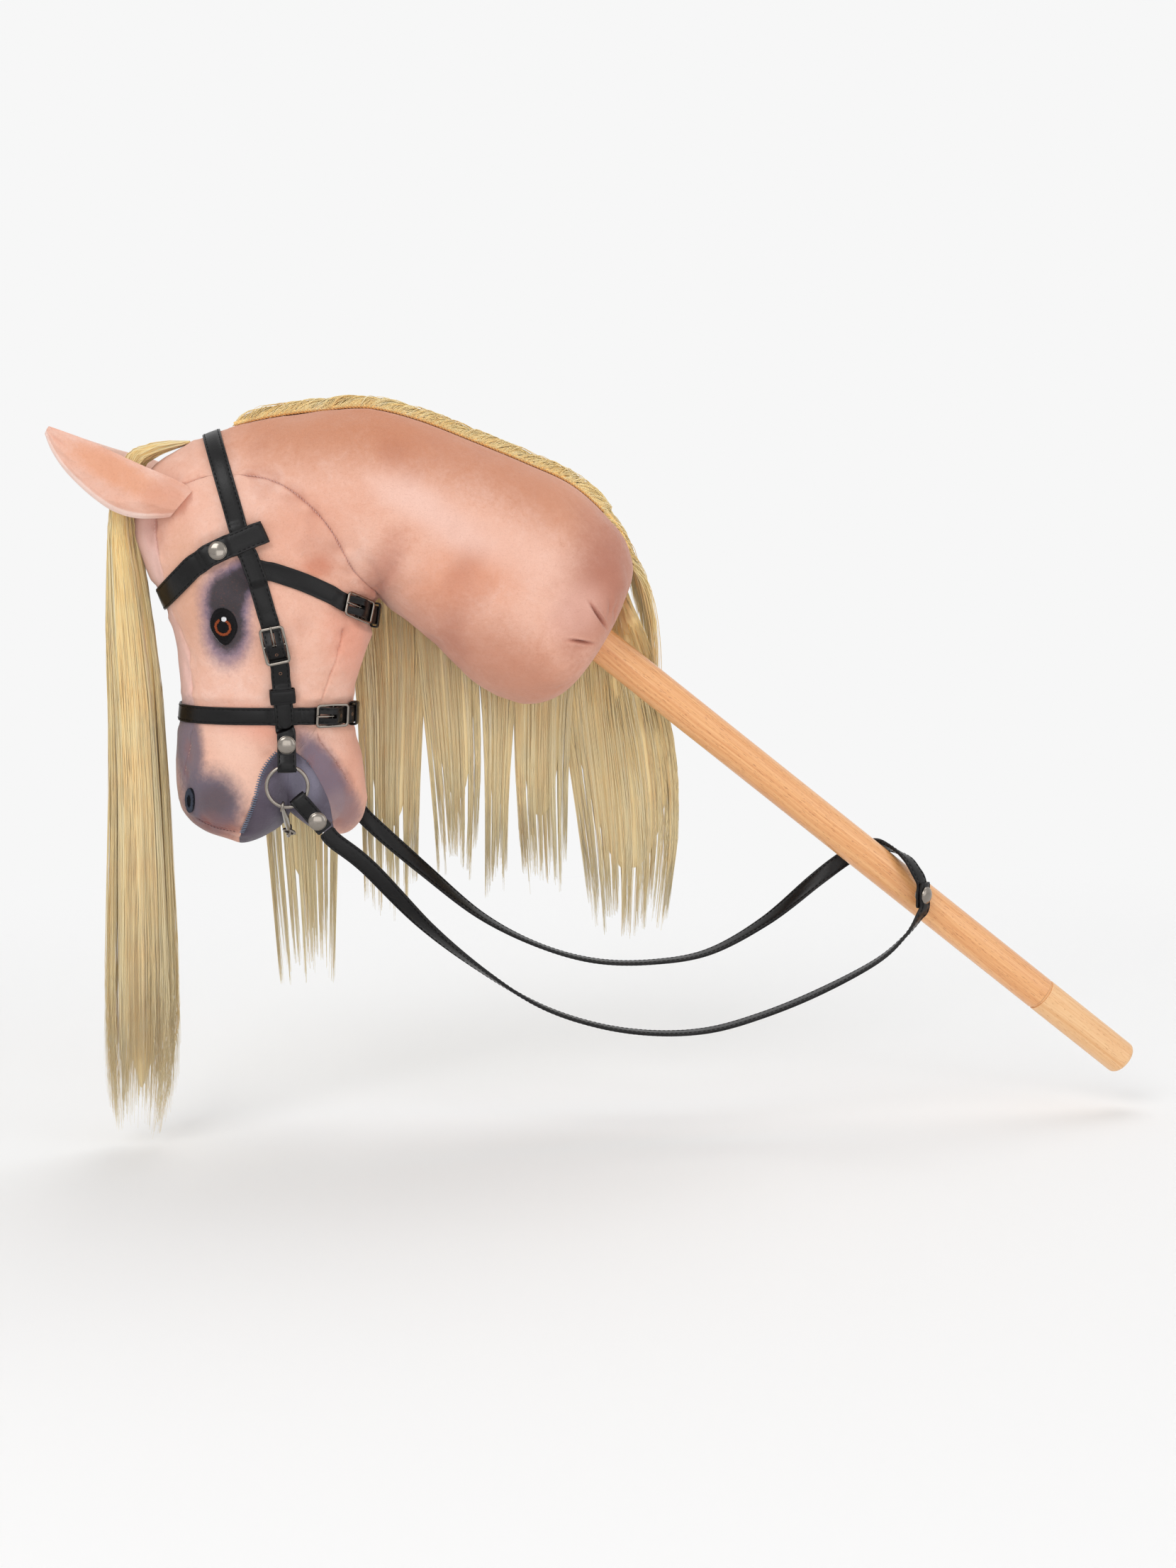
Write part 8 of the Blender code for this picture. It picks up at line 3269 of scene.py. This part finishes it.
    def add(self, black: bpy.types.Material, slate: bpy.types.Material) -> None:
        """Both eyes and both nostrils.

        Args:
            black: The eyes' thread.
            slate: The nostrils' thread.
        """
        copper = thread("iris_thread", 156, 76, 42)
        white = thread("white_thread", 240, 240, 242)
        grey = thread("lid_thread", 128, 126, 132)
        dark = thread("nostril_thread", 26, 27, 33)
        eye = self.eye, self.eye_edge, self.eye_height
        nose = self.nostril, self.nostril_edge, self.nostril_height
        pads = {"eye": self.pad(*eye), "nostril": self.pad(*nose)}
        outer, inner = self.satin(*eye, (0.76, 0.99)), self.fill()
        iris = self.satin(self.eye, self.iris, self.eye_height, (0.70, 1.0), (120.0, 430.0), 0.06, 0.22)
        lid = self.satin(self.eye, self.eye_edge, self.lid_height, (0.99, 1.04), (-75.0, 10.0), 0.02)
        sewn = {
            "eye_stitches": (black, [outer, inner]),
            "iris_stitches": (copper, [iris]),
            "glint_stitches": (white, [self.glint()]),
            "lid_stitches": (grey, [lid]),
            "nostril_stitches": (slate, [self.satin(*nose, (0.50, 1.0), ragged=0.09)]),
            "nostril_middle": (dark, [self.satin(*nose, (0.02, 0.46), ragged=0.05, over=-0.25)]),
        }
        for side in Side:
            for name, points in pads.items():
                node = f"{name}_{side.word}"
                finish, slot = (black, "eye_thread") if name == "eye" else (dark, "slate_thread")
                Mesher().rod(side.turn(points)).piece(f"{node}_pad", finish, 50.0, (node,), slot)
            for name, (finish, rows) in sewn.items():
                stitched(Mesher(), [side.turn(r) for r in rows]).piece(f"{name}_{side.word}", finish)


# Hair


@dataclass(frozen=True)
class Volume:
    """The space that a lock fills: points by way along it, place across it, and depth."""

    points: Array

    def at(self, along: Array, across: Array, deep: Array) -> Array:
        """Points at shares of the way along, across from 0 to 1 and deep from 0 to 1; linear past the edges.

        Args:
            along: From the root to the tip.
            across: From side to side.
            deep: From the near to the far face.

        Returns:
            The points.
        """
        rows, columns = self.points.shape[:2]
        t, u = np.clip(along, 0.0, 1.0) * (rows - 1), np.clip(across, 0.0, 1.0) * (columns - 1)
        near, far = (between(self.points[:, :, k], t, u) for k in (0, 1))
        d = deep[..., None]
        return near * (1 - d) + far * d


@dataclass(frozen=True)
class Combed:
    """How a lock's strands are laid: their number, thickness and clumps."""

    strands: int = 760
    steps: int = 13
    radius: float = 0.26
    clumps: int = 16
    pull: float = 0.42
    wave: float = 0.8
    shortest: float = 0.80
    over: float = 0.05
    on_far: float = 0.36  # shares of the strands that lie on the volume's faces and at its edges
    on_near: float = 0.34
    on_edges: float = 0.14
    seed: int = 1

    def lines(self, volume: Volume) -> tuple[Array, Array, Array]:
        """Strands through a volume, the directions their flat sides face, and their tones.

        Towards the tips each strand nears the middle of its clump. All sway on slow waves, of its own and
        of the clump's. The flat sides face out of the lock, a little askew.

        Args:
            volume: The lock's space.

        Returns:
            Points of strands and steps, directions like them, and one tone a strand.
        """
        random = np.random.default_rng(self.seed)
        count = self.strands
        across, deep = random.uniform(0.0, 1.0, count), random.uniform(0.0, 1.0, count)
        face = random.uniform(size=count)
        skin = self.over * random.uniform(-0.3, 1.0, count)
        deep = np.where(face < self.on_far + self.on_near, -skin, deep)
        deep = np.where(face < self.on_far, 1 + skin, deep)
        across = np.where(face > 1 - self.on_edges, np.round(across), across)
        centre = np.sort(random.uniform(0.02, 0.98, self.clumps))
        clump = np.abs(across[:, None] - centre[None]).argmin(axis=1)
        end = self.shortest + (1 - self.shortest) * random.uniform(size=count) ** 0.6
        end *= (1 - 0.07 * random.uniform(size=self.clumps))[clump]
        t = np.linspace(0.0, 1.0, self.steps)[None] ** 1.7 * end[:, None]
        near = self.pull * smooth_step(t * 1.2) * random.uniform(0.6, 1.0, count)[:, None]
        u = across[:, None] * (1 - near) + centre[clump][:, None] * near
        phase = [random.uniform(0.0, 2 * math.pi, (3, number)) for number in (count, self.clumps)]
        rate = random.uniform(0.7, 1.5, (3, self.clumps))
        level = np.broadcast_to(deep[:, None], t.shape)
        points = volume.at(t, u, level)
        forwards = unit(volume.at(t, u, level + 0.1) - volume.at(t, u, level - 0.1))
        aside = unit(volume.at(t, u + 0.05, level) - volume.at(t, u - 0.05, level))
        out = forwards * np.sign(level - 0.5)[..., None] + aside * (3 * (2 * u - 1) ** 3)[..., None]
        out = unit(out + random.uniform(-0.25, 0.25, (count, 1, 3)))
        for k, size in enumerate((0.9, 0.45, 0.25)):
            own = np.sin(phase[0][k][:, None] + 5.0 * t)
            shared = np.sin(phase[1][k][clump][:, None] + 4.6 * rate[k][clump][:, None] * t)
            points[..., k] += self.wave * size * smooth_step(t * 5.0) * (own * 0.7 + shared * 1.3)
        tone = 0.5 + 0.2 * random.standard_normal(self.clumps)[clump] + 0.17 * random.standard_normal(count)
        return points, out, np.clip(tone, 0.0, 1.0)

    def strand_mesh(self, mesher: Mesher, lines: Array, out: Array, tone: Array) -> Mesher:
        """Three-sided flat strands along lines, thinner towards both ends, with closed ends.

        Args:
            mesher: Where they go.
            lines: Points of strands and steps.
            out: Directions that their flat sides face.
            tone: One tone a strand.

        Returns:
            The mesher.
        """
        count, steps = lines.shape[:2]
        random = np.random.default_rng(self.seed + 100)
        run = unit(np.gradient(lines, axis=1))
        across = unit(np.cross(out, run))
        third = np.cross(run, across)
        s = np.linspace(0.0, 1.0, steps)
        shape = np.minimum(1.0, 0.55 + s * 4.0) * (1 - s**7) ** 0.5 * 0.75 + 0.25
        size = self.radius * random.uniform(0.7, 1.25, (count, 1)) * shape[None]
        angle = math.pi / 6 + turns(3)
        flat = 1.35 * np.cos(angle)[:, None] * across[:, :, None]
        ring = flat + 0.7 * np.sin(angle)[:, None] * third[:, :, None]
        points = lines[:, :, None] + size[:, :, None, None] * ring
        uv = np.stack(np.broadcast_arrays(tone[:, None], np.repeat(s, 3)[None]), axis=-1)
        return mesher.rods(points, uv)


def core(mesher: Mesher, volume: Volume, end: float, share: float) -> Mesher:
    """A lock's inner hair, closer than the eye parts it: a slab within the volume, ribbed along the hair.

    Args:
        mesher: Where it goes.
        volume: The lock's space.
        end: How far down it reaches, as a share.
        share: How much of the depth it fills.

    Returns:
        The mesher.
    """
    rows, columns = 60, 160
    fine = np.linspace(0.0, 2 * math.pi, 2001)
    run = lengths_along(np.stack([np.cos(fine), powered(np.sin(fine), 0.5)], axis=1))
    around = np.interp(np.linspace(0.0, run[-1], columns, endpoint=False), run, fine)
    t = np.broadcast_to((0.01 + (end - 0.01) * np.linspace(0.0, 1.0, rows) ** 1.5)[:, None], (rows, columns))
    thin = np.sqrt(np.clip((end - t) / 0.34, 0.002, 1.0))
    rib = 1 + 0.045 * np.sin(around * 31.0)[None] + 0.035 * np.sin(around * 53.0 + 3.0 * t)
    u = 0.5 + 0.485 * np.cos(around)[None] * (0.1 + 0.9 * thin**0.8)
    d = 0.5 + 0.5 * share * powered(np.sin(around), 0.5)[None] * thin * rib
    uv = np.zeros((rows + 1, columns + 1, 2))
    uv[..., 0] = 0.35 + 0.2 * np.abs(np.linspace(-1.0, 1.0, columns + 1))[None]
    uv[..., 1] = np.linspace(0.0, 0.9, rows + 1)[:, None]
    return mesher.grid(volume.at(t, u, d), around=True, caps=BOTH, uv=uv)


@dataclass
class Mane:
    """The stitched track, the hair combed over the crest, and the locks that hang on the right."""

    skin: Skin
    from_x: float = -312.0
    to_z: float = 88.0
    spacing: float = 3.0
    depth: float = 30.0
    gap: float = 0.45
    track: float = 3.2
    track_lean: float = -5.0
    drop: float = 4.0
    thickness: float = 7.0
    least_y: float = 56.0
    feel: tuple[float, ...] = (-14.0, -7.0, 0.0, 8.0, 16.0, 26.0, 40.0)
    bundle: float = 3.0
    per_bundle: int = 20
    strands_per_mm: float = 12.0
    most_strands: int = 1500
    # The hair's foot past the crest's steep end, x, z: there it falls free
    fall: tuple[Pair, ...] = (
        (-58.0, 134.5), (-49.0, 122.0), (-41.0, 107.0), (-34.0, 90.0), (-28.0, 72.0), (-22.0, 50.0),
        (-17.0, 26.0), (-13.0, 2.0), (-11.0, -20.0),
    )
    # x at the top from and to, x at the tip from and to, z of the tip, height over the skin
    locks: tuple[tuple[float, float, float, float, float, float], ...] = (
        (-298.0, -242.4, -289.0, -239.0, -207.0, 10.5),
        (-242.0, -192.0, -224.0, -176.0, -162.0, 4.0),
        (-191.0, -150.0, -174.0, -137.0, -133.0, 0.8),
        (-149.0, -116.0, -135.0, -112.0, -144.0, 0.8),
        (-115.0, -78.0, -111.0, -70.0, -144.0, 0.8),
        (-77.0, -49.0, -69.0, 12.0, -178.0, 3.5),
    )

    def __post_init__(self) -> None:
        """Finds the crest and the skin beside it."""
        crest = catmull_rom([(r[0], r[1]) for r in BODY_SECTIONS], 8)
        crest = np.array([p for p in crest if p[0] > self.from_x and p[1] > self.to_z])[::-1]
        self.crest = respaced(np.array([side_view(p) for p in crest]), self.spacing)
        self.leans = np.linspace(-8.0, 84.0, 24)
        self.foot, self.out = self.fan()
        falling = respaced(np.array([side_view(p) for p in catmull_rom(self.fall, 6)]), self.spacing)
        run = unit(np.gradient(falling, axis=0))
        away = np.cross(run, ASIDE)
        reach = 52.0 * np.sin(np.radians(self.leans))[:, None] * ASIDE
        steep = self.crest[:, 2] < self.fall[0][1]
        kept = int(np.argmax(steep)) if steep[-1] else len(self.crest)
        self.hair_foot = np.concatenate([self.foot[:kept], falling[:, None] + reach[None]])
        self.hair_out = np.concatenate([self.out[:kept], np.repeat(away[:, None], len(self.leans), axis=1)])

    def fan(self) -> tuple[Array, Array]:
        """Skin points and their normals, for each crest point and each lean to the right.

        Returns:
            Places and normals, by crest point and lean.
        """
        runs = unit(np.gradient(self.crest, axis=0))
        feet, outs = [], []
        for point, run in zip(self.crest, runs):
            outward = np.cross(run, ASIDE)
            ways = [math.cos(a) * outward + math.sin(a) * ASIDE for a in np.radians(self.leans)]
            found = [self.skin.hit(point - outward * self.depth, way) for way in ways]
            feet.append([f[0] for f in found])
            outs.append([-f[1] for f in found])
        return np.array(feet), unit(np.array(outs))

    def over_crest(self, feet: Array, outs: Array, station: Array, lean: Array, height: Array) -> Array:
        """Points over the crest or the falling hair, by station from the front end and lean in degrees.

        Args:
            feet: The skin's points.
            outs: The outward directions there.
            station: Millimetres from the front end.
            lean: Degrees to the right.
            height: Over the skin.

        Returns:
            The points.
        """
        lean = (lean - self.leans[0]) / (self.leans[1] - self.leans[0])
        foot, out = (between(v, station / self.spacing, lean) for v in (feet, outs))
        return foot + unit(out) * height[..., None]

    def volume(self, lock: tuple[float, ...]) -> Volume:
        """A lock's space: it lies over the skin and the straps, and then hangs straight.

        Args:
            lock: A row of the locks' sizes.

        Returns:
            The space.
        """
        top_from, top_to, tip_from, tip_to, tip_z, lift = lock
        line = self.crest[np.argsort(self.crest[:, 0])]
        rows, columns = 40, 12
        t = np.linspace(0.0, 1.0, rows)[:, None] ** 1.5
        across = np.linspace(0.0, 1.0, columns)[None]
        swell = 0.16 * np.sin(math.pi * np.clip(t / 0.6, 0.0, 1.0)) + 0.06
        part = 0.5 + (across - 0.5) * (1 + swell - 0.28 * smooth_step((t - 0.55) / 0.45))
        sway = 1 - (1 - t) ** 3
        at_top, at_tip = top_from + (top_to - top_from) * part, tip_from + (tip_to - tip_from) * part
        x = at_top * (1 - sway) + at_tip * sway
        x = x + 2.2 * smooth_step(t * 2.5) * np.sin(2 * math.pi * (t * 1.1 + tip_from / 97.0) + 1.4 * across)
        z = (np.interp(x, line[:, 0], line[:, 2]) - self.drop) * (1 - t) + tip_z * t
        gap = self.gap + (lift - self.gap) * smooth_step(t * 6.0)
        least = np.broadcast_to(self.least_y * smooth_step(t * 2.5), x.shape)
        y = least.copy()
        for index in np.ndindex(x.shape):
            feel = min(1.0, t[index[0], 0] * 9.0)
            widths = [self.skin.half_width(x[index], z[index] + up * feel) for up in self.feel]
            y[index] = max([w for w in widths if w is not None] + [least[index]])
        for _ in range(3):
            y[1:-1] = np.maximum(y[1:-1], (y[:-2] + y[1:-1] + y[2:]) / 3)
        y += gap
        thick = self.thickness * (0.45 + 0.55 * np.sin(math.pi * across)) * (1 - 0.45 * t**2)
        thick = thick * (0.3 + 0.7 * smooth_step(t * 6.0))
        inner = np.stack(np.broadcast_arrays(x, y, z), axis=-1)
        outer = np.stack(np.broadcast_arrays(x, y + thick, z), axis=-1)
        return Volume(np.stack([inner, outer], axis=2))

    def add(self, hair: bpy.types.Material) -> None:
        """All pieces of the mane.

        Args:
            hair: Its finish.
        """
        for number, lock in enumerate(self.locks, start=1):
            wide = abs(lock[3] - lock[2]) + abs(lock[1] - lock[0])
            strands = min(int(self.strands_per_mm * wide), self.most_strands)
            comb = Combed(strands=strands, clumps=max(9, int(wide / 4.0)), seed=40 + number)
            volume = self.volume(lock)
            mesher = core(Mesher(), volume, 0.86, 1.0)
            comb.strand_mesh(mesher, *comb.lines(volume)).piece(
                f"mane_lock_{number}_hair", hair, 180.0, (f"mane_lock_{number}",), "hair"
            )
        self.add_track(hair)
        self.add_crest(hair)

    def add_track(self, hair: bpy.types.Material) -> None:
        """The track: three twisted cords along the crest.

        Args:
            hair: Its finish.
        """
        length = lengths_along(self.crest)[-1]
        s = np.linspace(2.0, length - 2.0, 620)
        lean, height = np.full(len(s), self.track_lean + 3.0), np.full(len(s), self.gap + self.track / 2)
        centre = self.over_crest(self.foot, self.out, s, lean, height)
        run = unit(np.gradient(centre, axis=0))
        across = unit(np.cross(run, UP))
        third = np.cross(run, across)
        mesher = Mesher()
        for k in range(3):
            turn = 2 * math.pi * (s / 7.0 + k / 3)[:, None]
            line = centre + self.track * 0.25 * (np.cos(turn) * across + np.sin(turn) * third)
            mesher.rod(tube(line, self.track * 0.25, 8))
        mesher.piece("mane_track_cord", hair, 60.0, ("mane_track",), "hair")

    def add_crest(self, hair: bpy.types.Material) -> None:
        """Bundles of hair that rise from the track, bend over the crest and sweep back to the locks.

        Args:
            hair: Its finish.
        """
        random = np.random.default_rng(77)
        length = self.spacing * (len(self.hair_foot) - 1)
        starts = np.arange(1.0, lengths_along(self.crest)[-1] - 2.0, self.bundle)
        bundle = np.repeat(np.arange(len(starts)), self.per_bundle)
        count, steps = len(bundle), 14
        w = np.linspace(0.0, 1.0, steps)[None]
        fan_out = smooth_step(w * 2.5)
        spread = random.standard_normal(count)[:, None]
        back = starts[bundle][:, None] / length
        sweep = random.uniform(34.0, 60.0, len(starts))[bundle][:, None]
        sweep = sweep + 8.0 * random.standard_normal((count, 1))
        sweep = sweep * (1 + 0.9 * smooth_step((back - 0.5) / 0.4))
        station = starts[bundle][:, None] + spread * (0.35 + 1.5 * fan_out) + sweep * w**1.15
        top = (5.2 + random.standard_normal(len(starts)))[bundle][:, None]
        top = top + 1.5 * random.standard_normal((count, 1))
        ends = smooth_step(0.45 + station / 40.0)
        rise = np.clip(top, 1.5, 8.5) * np.sin(math.pi / 2 * np.minimum(w * 3.2, 1.0))
        rise = 1.2 + rise * (1 - 0.45 * w**2)
        height = self.gap + rise * ends + 3.0 * smooth_step((back - 0.6) / 0.3) * np.sin(math.pi * w)
        reach = random.uniform(30.0, 83.0, (count, 1))
        lean = self.track_lean + (reach - self.track_lean) * w**1.5
        lean = lean + random.standard_normal((count, 1)) * fan_out
        spot = self.hair_foot, self.hair_out, np.clip(station, 0.0, length), np.clip(lean, -7.5, 83.0)
        lines, out = self.over_crest(*spot, height), self.over_crest(*spot, height + 1.0)
        out = unit(out - lines + random.uniform(-0.4, 0.4, (count, 1, 3)))
        tone = 0.5 + 0.14 * random.standard_normal(len(starts))[bundle] + 0.15 * random.standard_normal(count)
        comb = Combed(radius=0.34, seed=78)
        mesher = comb.strand_mesh(Mesher(), lines, out, np.clip(tone, 0.0, 1.0))
        mesher.piece("mane_crest_hair", hair, 180.0, ("mane_crest",), "hair")


@dataclass
class Forelock:
    """The long lock that falls from between the ears before the forehead."""

    # x, z of its middle, half depth along x, half width along y
    rows: tuple[tuple[float, float, float, float], ...] = (
        (-337.0, 183.8, 0.9, 5.0),
        (-344.0, 182.6, 1.8, 6.5),
        (-352.5, 181.0, 2.6, 8.5),
        (-371.0, 174.5, 4.5, 14.0),
        (-380.0, 156.0, 5.5, 19.0),
        (-383.8, 130.0, 7.0, 22.0),
        (-381.4, 95.0, 11.0, 23.5),
        (-379.5, 50.0, 14.5, 24.0),
        (-377.0, 0.0, 16.0, 24.0),
        (-376.5, -80.0, 18.5, 23.0),
        (-377.5, -170.0, 22.0, 20.0),
        (-379.0, -250.0, 23.0, 15.0),
        (-384.0, -300.0, 12.0, 8.0),
    )

    def volume(self) -> Volume:
        """Its space: across is y, and the half circles before and behind are its depths.

        Returns:
            The space.
        """
        rows = catmull_rom(self.rows, 6)
        middle = np.array([side_view(r[:2]) for r in rows])
        run = unit(np.gradient(middle, axis=0))
        out = np.cross(run, ASIDE)
        u = np.linspace(-1.0, 1.0, 24)
        y = rows[:, 3:4] * np.sin(u * math.pi / 2)[None]
        half = rows[:, 2:3] * (0.25 + 0.75 * np.cos(u * math.pi / 2)[None])
        faces = [middle[:, None] + y[..., None] * ASIDE + k * half[..., None] * out[:, None] for k in (-1, 1)]
        return Volume(np.stack(faces, axis=2))

    def add(self, hair: bpy.types.Material) -> None:
        """The lock.

        Args:
            hair: Its finish.
        """
        comb = Combed(
            strands=1700, steps=16, clumps=34, pull=0.4, wave=1.5, shortest=0.86, over=0.02, seed=60,
        )
        volume = self.volume()
        mesher = core(Mesher(), volume, 0.93, 1.0)
        comb.strand_mesh(mesher, *comb.lines(volume)).piece(
            "forelock_hair", hair, 180.0, ("forelock",), "hair",
        )


def hidden_under(skin: Skin, bit: Bit, mane: Mane) -> list[tuple[Array, float]]:
    """Lines on the skin under the mane's track and behind the bit's rings, and half the width each presses.

    Args:
        skin: The skin.
        bit: The bit.
        mane: The mane.

    Returns:
        Lines of points, each with its half width.
    """
    rows = [(mane.foot[:, 1], 6.0)]
    centre = bit.centre(Side.LEFT)
    line = np.array([[centre[0] + k, centre[2] - k * 0.6] for k in np.linspace(-6.0, 22.0, 10)])
    places, _ = skin.left_of(line)
    return rows + [(places, 15.0), (mirrored(places), 15.0)]


def main() -> None:
    """Builds the scene in order."""
    logging.basicConfig(level=logging.INFO, format="%(message)s")
    bpy.context.scene.view_settings.view_transform = "Standard"
    studio = Studio()
    studio.add_camera()
    strap_thread = thread("strap_thread", 9, 9, 10)
    tools = Hardware(Leather().make(), Nickel().make(), strap_thread)
    bit = Bit(tools)
    Reins(tools, bit).add()
    bit.add()
    form = StuffedForm()
    skin = Skin(form)
    bridle = Bridle(skin, tools)
    bridle.add()
    embroidery = Embroidery(skin)
    mane = Mane(skin)
    pressed = [*bridle.pressed(), *embroidery.pressed(), *hidden_under(skin, bit, mane)]
    plush = Plush(gusset=rgb(240, 200, 192), shades=PLUSH_SHADES)
    lining = Plush(
        "lining", rgb(118, 110, 126), rgb(98, 91, 104), rgb(80, 72, 84),
        fold=rgb(46, 41, 50), shades=LINING_SHADES,
    )
    body = StuffedBody(form, skin, pressed)
    body.add(plush.make(), lining.make())
    body.add_stitches(thread("pink_thread", 240, 200, 190), thread("slate", 122, 131, 150), strap_thread)
    Ears(form).add(Plush("ear_plush", gusset=rgb(243, 218, 208), shades=EAR_SHADES).make())
    embroidery.add(thread("eye_thread", 22, 20, 22), thread("slate_thread", 68, 74, 88))
    hair = Hair().make()
    mane.add(hair)
    Forelock().add(hair)
    pale = Beech("plain_beech", rgb(244, 200, 150), rgb(228, 172, 116), rgb(196, 134, 84), lacquer=0.25)
    Stick(form).add(Beech().make(), pale.make())
    studio.add_floor(cad_box[0].z / MM)
    studio.light()


if __name__ == "__main__":
    main()
